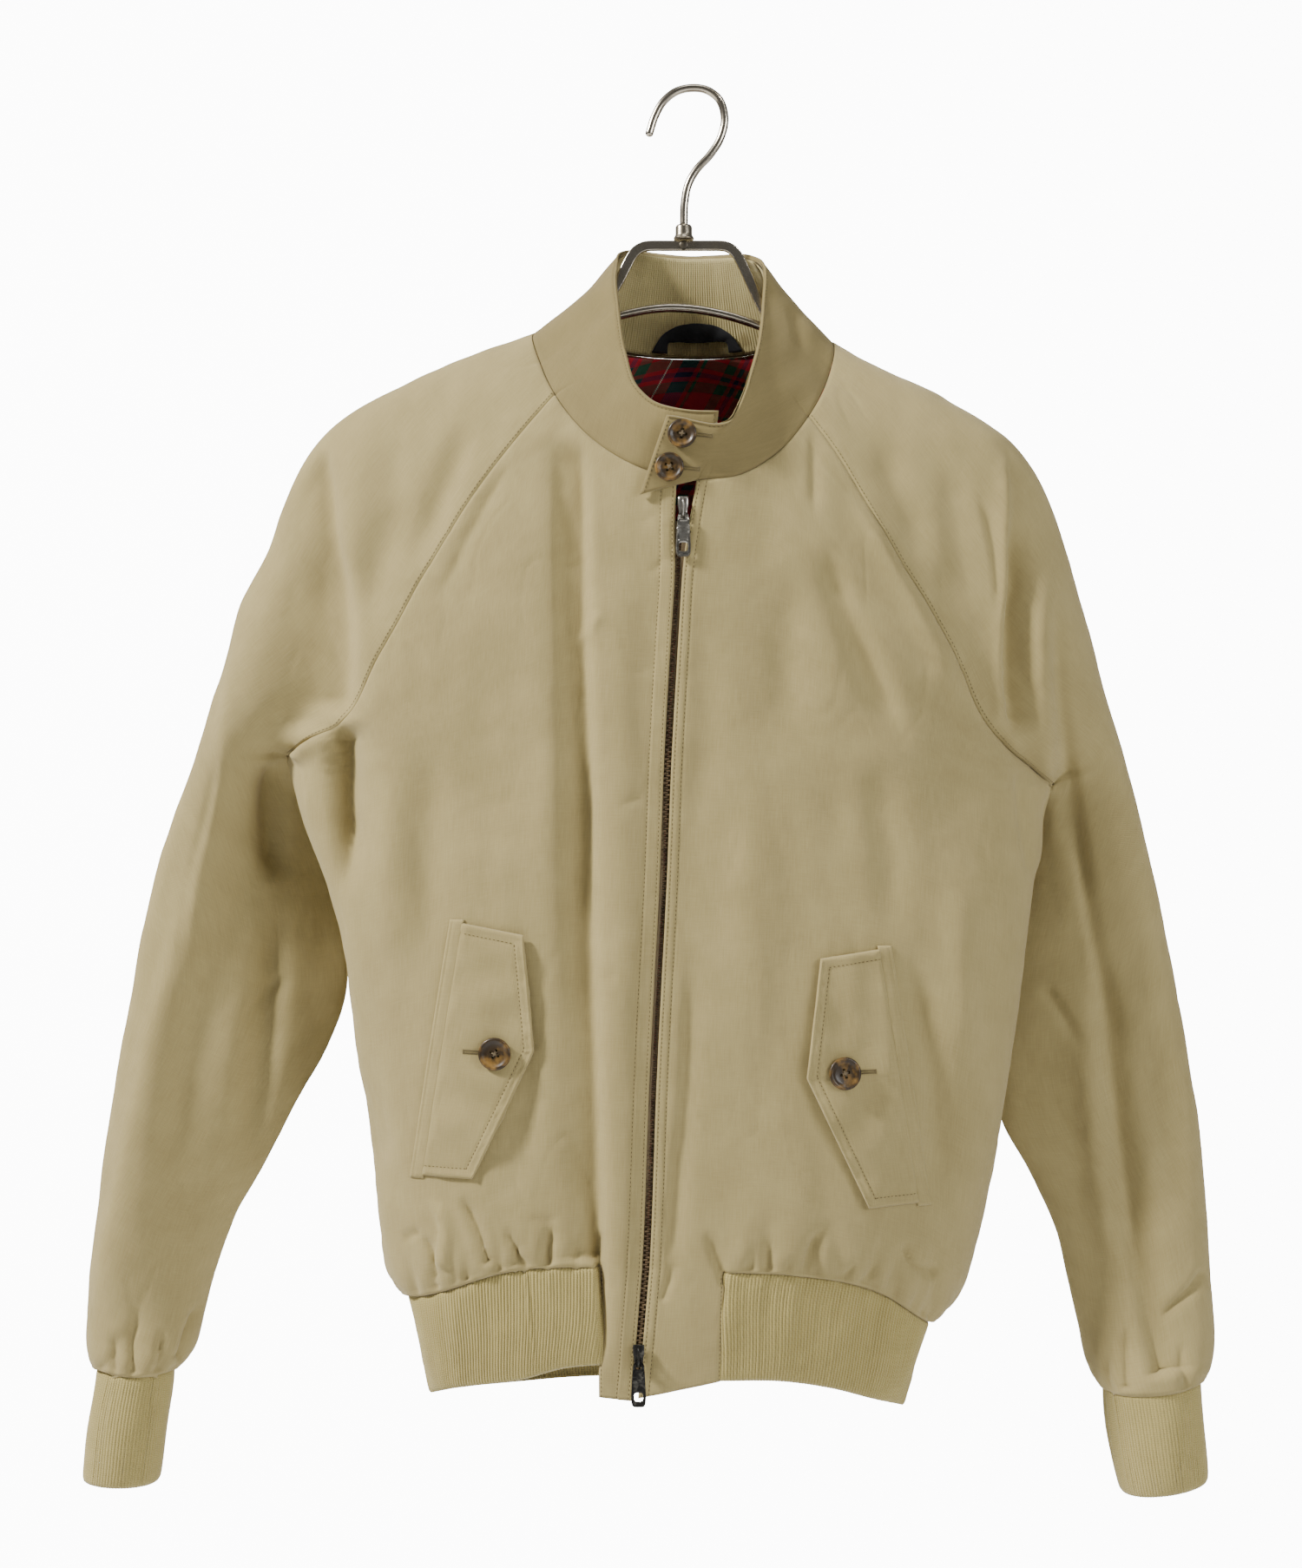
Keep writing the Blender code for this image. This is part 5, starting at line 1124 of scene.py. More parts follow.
class Panel:
    """A piece of cloth as rows and columns of points, in the tables' millimetres."""

    def __init__(self, name: str, points: Array, flip: bool) -> None:
        """Measures the cloth.

        Args:
            name: The piece's name.
            points: Its points, row by row.
            flip: Whether its columns run the other way round.
        """
        self.name = name
        self.points = points
        self.flip = flip
        self.along = self._walked(0)
        self.across = self._walked(1)
        self.normals = np.zeros_like(points)
        self.weigh()

    def _walked(self, axis: int) -> Array:
        """Distance walked along the rows or the columns, from the first.

        Args:
            axis: 0 for along, 1 for across.

        Returns:
            The distance at each point.
        """
        steps = np.linalg.norm(np.diff(self.points, axis=axis), axis=-1)
        pad = np.zeros_like(np.take(steps, [0], axis=axis))
        return np.cumsum(np.concatenate([pad, steps], axis=axis), axis=axis)

    def distances(self) -> tuple[Array, Array, Array, Array]:
        """Distances in mm from the first column, the last column, the first row and the last row."""
        return self.across, self.across[:, -1:] - self.across, self.along, self.along[-1:] - self.along

    def uv(self) -> Array:
        """Its points laid flat: distances across and along."""
        return np.stack([self.across, self.along], axis=-1)

    def mesh(self) -> bpy.types.Mesh:
        """Its mesh, laid flat for the finish."""
        return grid_mesh(self.name, self.points, self.flip, self.uv())

    def weigh(self) -> None:
        """Works out the outward normals again."""
        across = np.gradient(self.points, axis=1)
        along = np.gradient(self.points, axis=0)
        self.normals = unit(np.cross(across, along) * (-1 if self.flip else 1))

    def push(self, height: Array) -> None:
        """Moves every point along its normal."""
        self.points = self.points + self.normals * height[..., None]

    def folded(self, folds: Sequence[Fold], facing: int, scale: float = 1.0) -> Array:
        """The heights of a list of folds on the faces that look to the front (-1) or the back (1).

        Args:
            folds: The folds.
            facing: Which way those faces look.
            scale: How much deeper the broad ones become; narrow creases keep their depth.

        Returns:
            The height at each point.
        """
        flat = on_plane(self.points)
        total = np.zeros(flat.shape[:-1])
        for fold in folds:
            broad = smooth((max(fold.left, fold.right) - 2.0) / 5.0)
            total += fold.at(flat) * (1 + (scale - 1) * broad)
        return total * smooth((self.normals[..., 1] * facing - 0.02) / 0.4)


@dataclass(frozen=True)
class Border:
    """A run of a panel's rim, in sewing order, and the step from it into the panel."""

    panel: Panel
    rows: Array
    columns: Array
    inward: tuple[int, int]

    def points(self) -> Array:
        """Its points."""
        return self.panel.points[self.rows, self.columns]

    def normals(self) -> Array:
        """Its normals."""
        return self.panel.normals[self.rows, self.columns]

    def draw(self, shift: Array, reach: int) -> None:
        """Moves it, and less and less of the rows or columns behind it.

        Args:
            shift: The move of each of its points.
            reach: How many rows or columns take part.
        """
        for k in range(reach):
            rows = self.rows + k * self.inward[0]
            columns = self.columns + k * self.inward[1]
            self.panel.points[rows, columns] += shift * float(smooth(1 - k / reach))


def sew(first: Border, second: Border, share: float = 0.5, reach: int = 9) -> None:
    """Brings two borders together.

    Args:
        first: One border.
        second: The other, in the same order.
        share: How much of the way the first one goes.
        reach: How many rows take part in the move.
    """
    gap = second.points() - first.points()
    first.draw(gap * share, reach)
    second.draw(-gap * (1 - share), reach)


def share_normals(first: Border, second: Border) -> None:
    """Gives two borders that meet the same normals.

    Args:
        first: One border.
        second: The other, in the same order.
    """
    mean = unit(first.normals() + second.normals())
    first.panel.normals[first.rows, first.columns] = mean
    second.panel.normals[second.rows, second.columns] = mean


def grid_mesh(
    name: str, points: Array, flip: bool = False, uv: Array | None = None, keep: Array | None = None,
    closed: bool = False, merge: float = 0.0, wall: Array | None = None,
) -> bpy.types.Mesh:
    """A mesh from a grid that is laid on rows and columns of points.

    Args:
        name: The mesh's name.
        points: Rows and columns of points in the tables' millimetres.
        flip: Whether the faces would point inwards as the columns run.
        uv: Distances across and along in mm at each point.
        keep: Which cells are cloth; the others are cut away.
        closed: Whether the last column meets the first.
        merge: The distance in mm within which points become one.
        wall: The share of the full wall at each point.

    Returns:
        The mesh, in the frame's metres.
    """
    if flip:
        points = points[:, ::-1]
        uv = None if uv is None else uv[:, ::-1]
        keep = None if keep is None else keep[:, ::-1]
        wall = None if wall is None else wall[:, ::-1]
    rows, columns = points.shape[:2]
    bm = bmesh.new()
    bmesh.ops.create_grid(bm, x_segments=columns - 1, y_segments=rows - 1, size=1.0)
    mesh = bpy.data.meshes.new(name)
    bm.to_mesh(mesh)
    mesh.vertices.foreach_set("co", metres(points).astype(np.float32).ravel())
    layer = mesh.uv_layers.new(name="UVMap") if not mesh.uv_layers else mesh.uv_layers[0]
    if uv is None:
        uv = np.stack(np.meshgrid(np.arange(columns), np.arange(rows)), axis=-1) * 1.0
    corner = np.zeros(len(mesh.loops), np.int32)
    mesh.loops.foreach_get("vertex_index", corner)
    layer.data.foreach_set("uv", (uv.reshape(-1, 2) * MM)[corner].astype(np.float32).ravel())
    bm.clear()
    bm.from_mesh(mesh)
    if wall is not None:
        weights = bm.verts.layers.deform.verify()
        for vert, share in zip(bm.verts, wall.ravel()):
            vert[weights][0] = share
    if keep is not None:
        bm.faces.ensure_lookup_table()
        gone = [bm.faces[i] for i in np.flatnonzero(~keep.ravel())]
        bmesh.ops.delete(bm, geom=gone, context="FACES")
    if closed or merge:
        bmesh.ops.remove_doubles(bm, verts=bm.verts, dist=max(merge, 0.01) * MM)
    bm.to_mesh(mesh)
    bm.free()
    mesh.shade_smooth()
    return mesh


def finished_mesh(bm: bmesh.types.BMesh, name: str, smooth_shaded: bool = True) -> bpy.types.Mesh:
    """A mesh from a bmesh, which it frees.

    Args:
        bm: What the mesh is made of.
        name: The mesh's name.
        smooth_shaded: Whether its faces are shaded smoothly.

    Returns:
        The mesh.
    """
    mesh = bpy.data.meshes.new(name)
    bm.to_mesh(mesh)
    bm.free()
    if smooth_shaded:
        mesh.shade_smooth()
    return mesh


def joined_mesh(name: str, parts: Sequence[bpy.types.Mesh]) -> bpy.types.Mesh:
    """One mesh from several.

    Args:
        name: The new mesh's name.
        parts: The meshes that go into it.

    Returns:
        The new mesh.
    """
    bm = bmesh.new()
    for part in parts:
        bm.from_mesh(part)
    return finished_mesh(bm, name)


def add_piece(name: str, mesh: bpy.types.Mesh, materials: Sequence[bpy.types.Material]) -> bpy.types.Object:
    """Puts a mesh into the scene as a piece with its materials.

    Args:
        name: The piece's name.
        mesh: Its mesh.
        materials: Its materials, in the order of their slots.

    Returns:
        The piece.
    """
    obj = bpy.data.objects.new(name, mesh)
    for material in materials:
        mesh.materials.append(material)
    bpy.context.scene.collection.objects.link(obj)
    return obj


def thicken(
    obj: bpy.types.Object, wall: float, inner_slot: int = 0, offset: float = -1.0, tapered: bool = False
) -> None:
    """Gives a sheet its wall, on the inner side, with its lining in another slot.

    Args:
        obj: The sheet.
        wall: Its thickness in mm.
        inner_slot: How many slots further on the inner side's material is.
        offset: The side that the wall goes to.
        tapered: Whether the mesh says how much of the wall each point gets.
    """
    modifier = obj.modifiers.new("wall", "SOLIDIFY")
    if tapered:
        modifier.vertex_group = obj.vertex_groups.new(name="wall").name
        modifier.thickness_vertex_group = 0.03
    modifier.thickness = wall * MM
    modifier.offset = offset
    modifier.use_even_offset = False
    modifier.use_quality_normals = False
    modifier.material_offset = inner_slot
    modifier.material_offset_rim = 0


def dress(obj: bpy.types.Object, node: str = "", body: str = "jacket") -> bpy.types.Object:
    """Hides the solid that a piece stands for, and hangs the piece on its body.

    Args:
        obj: The piece.
        node: The solid that it stands for, if there is one.
        body: The body that it moves with.

    Returns:
        The piece.
    """
    if node:
        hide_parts(node)
    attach(obj, body)
    LOG.info("%s: %d points, on %s", obj.name, len(obj.data.vertices), body)
    return obj


def cloth_piece(
    name: str, mesh: bpy.types.Mesh, finish: bpy.types.Material, wall: float, node: str = ""
) -> bpy.types.Object:
    """A piece of cloth with one finish and an even wall.

    Args:
        name: The piece's name.
        mesh: Its outer face.
        finish: Its material.
        wall: Its thickness in mm.
        node: The solid that it stands for, if there is one.

    Returns:
        The piece.
    """
    obj = add_piece(name, mesh, [finish])
    thicken(obj, wall)
    return dress(obj, node)


# ---------------------------------------------------------------------------------------------
# Finishes.


class Nodes:
    """Adds shader nodes to a tree and joins them."""

    def __init__(self, tree: bpy.types.NodeTree) -> None:
        """Args: tree: The tree that the nodes go into."""
        self.tree = tree

    def add(self, kind: str, inputs: dict | None = None, **settings: object) -> bpy.types.Node:
        """A new node.

        Args:
            kind: Its type, as in ShaderNodeMath.
            inputs: A number, colour or socket for each input, by name or place.
            **settings: Its own settings.

        Returns:
            The node.
        """
        node = self.tree.nodes.new(kind)
        for key, value in settings.items():
            setattr(node, key, value)
        self.fill(node, inputs or {})
        return node

    def fill(self, node: bpy.types.Node, inputs: dict) -> None:
        """Sets a node's inputs.

        Args:
            node: The node.
            inputs: A number, colour or socket for each input, by name or place.
        """
        for key, value in inputs.items():
            if isinstance(value, bpy.types.NodeSocket):
                self.tree.links.new(value, node.inputs[key])
            else:
                node.inputs[key].default_value = value

    def group(self, name: str, inputs: dict) -> bpy.types.Node:
        """A node for one of the shared groups.

        Args:
            name: The group's name.
            inputs: A number, colour or socket for each of its inputs.

        Returns:
            The node.
        """
        return self.add("ShaderNodeGroup", inputs, node_tree=bpy.data.node_groups[name])

    def bump(self, height: bpy.types.NodeSocket, distance: float, strength: float) -> bpy.types.NodeSocket:
        """Normals from a height: its depth in metres and its share."""
        wanted = {"Height": height, "Distance": distance, "Strength": strength}
        return self.add("ShaderNodeBump", wanted).outputs["Normal"]

    def math(self, operation: str, *values: object) -> bpy.types.NodeSocket:
        """The result of a sum on numbers or sockets."""
        return self.add("ShaderNodeMath", dict(enumerate(values)), operation=operation).outputs[0]

    def noise(self, vector: bpy.types.NodeSocket, scale: float, detail: float = 2.0) -> bpy.types.NodeSocket:
        """A cloudy field of about 0 to 1."""
        wanted = {"Vector": vector, "Scale": scale, "Detail": detail}
        return self.add("ShaderNodeTexNoise", wanted, normalize=True).outputs["Fac"]

    def stretched(self, vector: bpy.types.NodeSocket, size: Spot) -> bpy.types.NodeSocket:
        """A vector scaled by its own amount along each axis."""
        wanted = {"Vector": vector, "Scale": size}
        return self.add("ShaderNodeMapping", wanted, vector_type="POINT").outputs["Vector"]

    def mix(self, share: object, first: object, second: object) -> bpy.types.NodeSocket:
        """A colour a share of the way from one to another.

        Args:
            share: The share.
            first: The colour at 0.
            second: The colour at 1.

        Returns:
            The mixed colour.
        """
        node = self.add("ShaderNodeMix", data_type="RGBA")
        node.clamp_factor = True
        self.fill(node, {0: share, 6: first, 7: second})
        return node.outputs[2]


def new_group(name: str, inputs: dict[str, str], outputs: dict[str, str]) -> tuple[Nodes, dict, dict]:
    """An empty shader group.

    Args:
        name: Its name.
        inputs: The socket type of each input, by name.
        outputs: The socket type of each output, by name.

    Returns:
        Its nodes, its input sockets and its output sockets.
    """
    tree = bpy.data.node_groups.new(name, "ShaderNodeTree")
    for key, kind in inputs.items():
        tree.interface.new_socket(name=key, in_out="INPUT", socket_type=kind)
    for key, kind in outputs.items():
        tree.interface.new_socket(name=key, in_out="OUTPUT", socket_type=kind)
    nodes = Nodes(tree)
    start, end = nodes.add("NodeGroupInput"), nodes.add("NodeGroupOutput")
    return nodes, dict(start.outputs.items()), dict(end.inputs.items())


FLOAT, VECTOR = "NodeSocketFloat", "NodeSocketVector"


def weave_group() -> bpy.types.NodeTree:
    """Plain weave: threads over and under, slubs along both ways and a slow mottle.

    Returns:
        The group.
    """
    nodes, given, out = new_group(
        "plain_weave", {"Vector": VECTOR, "Threads": FLOAT}, {"Height": FLOAT, "Slub": FLOAT, "Mottle": FLOAT}
    )
    parts = nodes.add("ShaderNodeSeparateXYZ", {"Vector": given["Vector"]})
    turn = nodes.math("MULTIPLY", given["Threads"], math.pi)
    warp = nodes.math("SINE", nodes.math("MULTIPLY", parts.outputs["X"], turn))
    weft = nodes.math("SINE", nodes.math("MULTIPLY", parts.outputs["Y"], turn))
    over = nodes.math("GREATER_THAN", nodes.math("MULTIPLY", warp, weft), 0.0)
    top, under = nodes.math("ABSOLUTE", warp), nodes.math("ABSOLUTE", weft)
    gap = nodes.math("MULTIPLY", nodes.math("SUBTRACT", top, under), over)
    height = nodes.math("ADD", under, gap)
    upright = nodes.noise(nodes.stretched(given["Vector"], (1500.0, 70.0, 1.0)), 1.0, 3.0)
    level = nodes.noise(nodes.stretched(given["Vector"], (90.0, 1700.0, 1.0)), 1.0, 3.0)
    slub = nodes.math("ADD", nodes.math("MULTIPLY", upright, 0.6), nodes.math("MULTIPLY", level, 0.4))
    mottle = nodes.noise(given["Vector"], 28.0, 4.0)
    for key, value in (("Height", height), ("Slub", slub), ("Mottle", mottle)):
        nodes.tree.links.new(value, out[key])
    return nodes.tree


def knit_group() -> bpy.types.NodeTree:
    """Rib knit: the stitches that climb each rib, and a slow mottle.

    Returns:
        The group.
    """
    nodes, given, out = new_group(
        "knit_stitches",
        {"Vector": VECTOR, "Courses": FLOAT, "Wales": FLOAT},
        {"Height": FLOAT, "Mottle": FLOAT},
    )
    parts = nodes.add("ShaderNodeSeparateXYZ", {"Vector": given["Vector"]})
    across = nodes.math("MULTIPLY", parts.outputs["X"], given["Wales"])
    lean = nodes.math("PINGPONG", across, 0.5)
    climb = nodes.math("ADD", nodes.math("MULTIPLY", parts.outputs["Y"], given["Courses"]), lean)
    loop = nodes.math("ABSOLUTE", nodes.math("SINE", nodes.math("MULTIPLY", climb, math.pi)))
    fuzz = nodes.noise(given["Vector"], 2600.0, 3.0)
    height = nodes.math("ADD", loop, nodes.math("MULTIPLY", fuzz, 0.5))
    mottle = nodes.noise(given["Vector"], 60.0, 4.0)
    for key, value in (("Height", height), ("Mottle", mottle)):
        nodes.tree.links.new(value, out[key])
    return nodes.tree


def wear_group() -> bpy.types.NodeTree:
    """Handling marks on hard pieces: fine scratches and dull patches.

    Returns:
        The group.
    """
    nodes, given, out = new_group(
        "handling_wear", {"Vector": VECTOR, "Fineness": FLOAT}, {"Patches": FLOAT, "Scratches": FLOAT}
    )
    patches = nodes.add(
        "ShaderNodeTexNoise", {"Vector": given["Vector"], "Scale": given["Fineness"], "Detail": 5.0}
    )
    drawn = nodes.stretched(given["Vector"], (7.0, 7.0, 1.0))
    fine = nodes.math("MULTIPLY", given["Fineness"], 9.0)
    scratches = nodes.add("ShaderNodeTexNoise", {"Vector": drawn, "Scale": fine, "Detail": 4.0})
    nodes.tree.links.new(patches.outputs["Fac"], out["Patches"])
    nodes.tree.links.new(scratches.outputs["Fac"], out["Scratches"])
    return nodes.tree


Colour = tuple[float, float, float]


def rgba(colour: Colour) -> tuple[float, float, float, float]:
    """A colour with an alpha of 1."""
    return (*colour, 1.0)


def new_material(name: str) -> tuple[bpy.types.Material, Nodes, bpy.types.Node]:
    """An empty material, its nodes and its shader.

    Args:
        name: Its name.

    Returns:
        The material, its nodes and its shader.
    """
    material = bpy.data.materials.new(name)
    material.use_nodes = True
    return material, Nodes(material.node_tree), material.node_tree.nodes["Principled BSDF"]


@dataclass(frozen=True)
class WovenFinish:
    """A woven cloth: two shades, its threads to the metre and how deep they are."""

    name: str
    light: Colour
    dark: Colour
    threads: float
    depth: float
    streak: float = 1.5
    mottle: float = 0.9
    roughness: float = 0.86
    sheen: float = 0.25

    def material(self) -> bpy.types.Material:
        """Builds the material.

        Returns:
            The material.
        """
        material, nodes, shader = new_material(self.name)
        cut = nodes.add("ShaderNodeTexCoord").outputs["UV"]
        weave = nodes.group("plain_weave", {"Vector": cut, "Threads": self.threads})
        slub = nodes.math("MULTIPLY", nodes.math("SUBTRACT", weave.outputs["Slub"], 0.5), self.streak)
        patch = nodes.math("MULTIPLY", nodes.math("SUBTRACT", weave.outputs["Mottle"], 0.5), self.mottle)
        threads = nodes.math("MULTIPLY", nodes.math("SUBTRACT", weave.outputs["Height"], 0.5), 0.3)
        share = nodes.math("ADD", nodes.math("ADD", slub, patch), nodes.math("ADD", threads, 0.5))
        nodes.fill(shader, {
            "Base Color": nodes.mix(share, rgba(self.dark), rgba(self.light)),
            "Normal": nodes.bump(weave.outputs["Height"], self.depth, 0.6),
            "Roughness": self.roughness,
            "Sheen Weight": self.sheen,
            "Sheen Roughness": 0.45,
            "Sheen Tint": rgba(tuple(0.5 + 0.5 * c for c in self.light)),
            "Specular IOR Level": 0.25,
        })
        return material


@dataclass(frozen=True)
class KnitFinish:
    """A rib knit: two shades, its courses and wales to the metre."""

    name: str
    light: Colour
    dark: Colour
    courses: float
    wales: float
    depth: float = 0.00022

    def material(self) -> bpy.types.Material:
        """Builds the material.

        Returns:
            The material.
        """
        material, nodes, shader = new_material(self.name)
        cut = nodes.add("ShaderNodeTexCoord").outputs["UV"]
        wanted = {"Vector": cut, "Courses": self.courses, "Wales": self.wales}
        knit = nodes.group("knit_stitches", wanted)
        loops = nodes.math("MULTIPLY", knit.outputs["Height"], 0.45)
        share = nodes.math("ADD", loops, nodes.math("MULTIPLY", knit.outputs["Mottle"], 0.5))
        nodes.fill(shader, {
            "Base Color": nodes.mix(share, rgba(self.dark), rgba(self.light)),
            "Normal": nodes.bump(knit.outputs["Height"], self.depth, 0.7),
            "Roughness": 0.92,
            "Sheen Weight": 0.3,
            "Sheen Roughness": 0.5,
            "Specular IOR Level": 0.2,
        })
        return material


@dataclass(frozen=True)
class HardFinish:
    """A metal, plastic or enamel: two shades, its shine and how worn it is."""

    name: str
    colour: Colour
    worn: Colour
    roughness: float
    metallic: float
    fineness: float = 220.0
    contrast: float = 3.0
    shift: float = 0.5
    coat: float = 0.0
    specular: float = 0.5

    def material(self) -> bpy.types.Material:
        """Builds the material.

        Returns:
            The material.
        """
        material, nodes, shader = new_material(self.name)
        place = nodes.add("ShaderNodeTexCoord").outputs["Object"]
        wear = nodes.group("handling_wear", {"Vector": place, "Fineness": self.fineness})
        patches = nodes.math("SUBTRACT", wear.outputs["Patches"], self.shift)
        share = nodes.math("MULTIPLY_ADD", patches, self.contrast, 0.5)
        nodes.fill(shader, {
            "Base Color": nodes.mix(share, rgba(self.colour), rgba(self.worn)),
            "Roughness": nodes.math("MULTIPLY_ADD", wear.outputs["Patches"], 0.22, self.roughness - 0.08),
            "Normal": nodes.bump(wear.outputs["Scratches"], 0.00004, 0.4),
            "Metallic": self.metallic,
            "Specular IOR Level": self.specular,
            "Coat Weight": self.coat,
            "Coat Roughness": 0.12,
        })
        return material


@dataclass(frozen=True)
class CheckFinish:
    """A woven check: bands of colour that cross, each laid out as widths in mm over one repeat."""

    name: str
    ground: Colour
    bands: tuple[tuple[float, float, Colour], ...]
    repeat: float
    twill_pitch: float = 0.0011
    threads: float = 1700.0

    def _stripes(self, nodes: Nodes, distance: bpy.types.NodeSocket) -> bpy.types.NodeSocket:
        """The colour of the bands across one direction.

        Args:
            nodes: The material's nodes.
            distance: The distance in metres along that direction.

        Returns:
            The colour.
        """
        share = nodes.math("FRACT", nodes.math("DIVIDE", distance, self.repeat * MM))
        ramp = nodes.add("ShaderNodeValToRGB", {"Fac": share})
        ramp.color_ramp.interpolation = "CONSTANT"
        stops = [(0.0, self.ground)]
        for start, width, colour in self.bands:
            stops += [(start / self.repeat, colour), ((start + width) / self.repeat, self.ground)]
        elements = ramp.color_ramp.elements
        while len(elements) < len(stops):
            elements.new(0.5)
        for element, (position, colour) in zip(elements, sorted(stops, key=lambda stop: stop[0])):
            element.position = position
            element.color = rgba(colour)
        return ramp.outputs["Color"]

    def material(self) -> bpy.types.Material:
        """Builds the material.

        Returns:
            The material.
        """
        material, nodes, shader = new_material(self.name)
        cut = nodes.add("ShaderNodeTexCoord").outputs["UV"]
        parts = nodes.add("ShaderNodeSeparateXYZ", {"Vector": cut})
        across = self._stripes(nodes, parts.outputs["X"])
        along = self._stripes(nodes, parts.outputs["Y"])
        slope = nodes.math("ADD", parts.outputs["X"], parts.outputs["Y"])
        wave = nodes.math("SINE", nodes.math("MULTIPLY", slope, 2 * math.pi / self.twill_pitch))
        twill = nodes.math("MULTIPLY_ADD", wave, 0.35, 0.5)
        weave = nodes.group("plain_weave", {"Vector": cut, "Threads": self.threads})
        nodes.fill(shader, {
            "Base Color": nodes.mix(twill, across, along),
            "Normal": nodes.bump(weave.outputs["Height"], 0.0001, 0.5),
            "Roughness": 0.85,
            "Sheen Weight": 0.2,
            "Sheen Roughness": 0.5,
            "Specular IOR Level": 0.25,
        })
        return material


RED, GREEN = (0.42, 0.014, 0.028), (0.020, 0.085, 0.045)
NAVY, CREAM = (0.016, 0.018, 0.06), (0.75, 0.68, 0.58)


class Finishes:
    """The materials of the garment and its hanger, built once."""

    def __init__(self) -> None:
        """Builds the shared groups and then each finish."""
        weave_group()
        knit_group()
        wear_group()
        self.poplin = WovenFinish(
            "khaki_poplin", (0.375, 0.302, 0.134), (0.265, 0.208, 0.085), 2300.0, 0.00012
        ).material()
        # The collar's poplin is the body's cloth painted darker: painted shade over the whole collar.
        self.collar = WovenFinish(
            "collar_poplin", (0.235, 0.183, 0.074), (0.170, 0.131, 0.050), 2300.0, 0.00012
        ).material()
        self.rib = KnitFinish(
            "hem_rib_knit", (0.400, 0.325, 0.118), (0.250, 0.197, 0.068), 700.0, 330.0
        ).material()
        self.collar_rib = KnitFinish(
            "collar_rib_knit", (0.45, 0.378, 0.172), (0.22, 0.176, 0.076), 800.0, 660.0
        ).material()
        self.check = CheckFinish(
            "check_lining", RED,
            (
                (9, 7, GREEN), (19, 3, NAVY), (25, 7, GREEN), (44, 1.3, CREAM), (52, 11, NAVY),
                (66, 2.5, GREEN),
            ),
            74.0,
        ).material()
        # The stitch thread is painted much darker than the cloth: painted shade of the stitch holes and the
        # grooves they sit in.
        self.thread = WovenFinish(
            "sewing_thread", (0.15, 0.115, 0.045), (0.10, 0.076, 0.029), 3000.0, 0.00005, roughness=0.7
        ).material()
        self.dark_thread = WovenFinish(
            "button_thread", (0.20, 0.15, 0.08), (0.09, 0.065, 0.035), 3000.0, 0.00005, roughness=0.7
        ).material()
        self.tape = WovenFinish(
            "black_loop_tape", (0.022, 0.022, 0.025), (0.006, 0.006, 0.008), 1500.0, 0.0002
        ).material()
        self.zip_tape = WovenFinish(
            "brown_zip_tape", (0.17, 0.125, 0.066), (0.09, 0.062, 0.03), 1500.0, 0.0002
        ).material()
        self.teeth = HardFinish(
            "brown_zip_teeth", (0.065, 0.040, 0.018), (0.17, 0.115, 0.055), 0.42, 0.35
        ).material()
        self.nickel = HardFinish(
            "worn_nickel", (0.44, 0.42, 0.375), (0.20, 0.19, 0.165), 0.30, 1.0, 340.0
        ).material()
        self.black = HardFinish(
            "black_enamel", (0.016, 0.015, 0.013), (0.10, 0.095, 0.08), 0.36, 0.6, 300.0, 5, 0.62
        ).material()
        self.steel = HardFinish(
            "hanger_steel", (0.60, 0.54, 0.44), (0.42, 0.37, 0.28), 0.2, 1.0, 90.0
        ).material()
        self.rivet = HardFinish("dark_rivet", (0.03, 0.026, 0.02), (0.10, 0.085, 0.06), 0.4, 0.7).material()
        self.button = HardFinish(
            "tortoise_button", (0.026, 0.015, 0.005), (0.185, 0.100, 0.020), 0.40, 0.0, 150.0, 4.5, 0.58,
            0.12, 0.3
        ).material()


# ---------------------------------------------------------------------------------------------
# The studio.


@dataclass(frozen=True)
class Lamp:
    """A soft square light."""

    name: str
    place: Spot
    target: Spot
    size: tuple[float, float]
    power: float
    colour: Colour = (1.0, 1.0, 1.0)


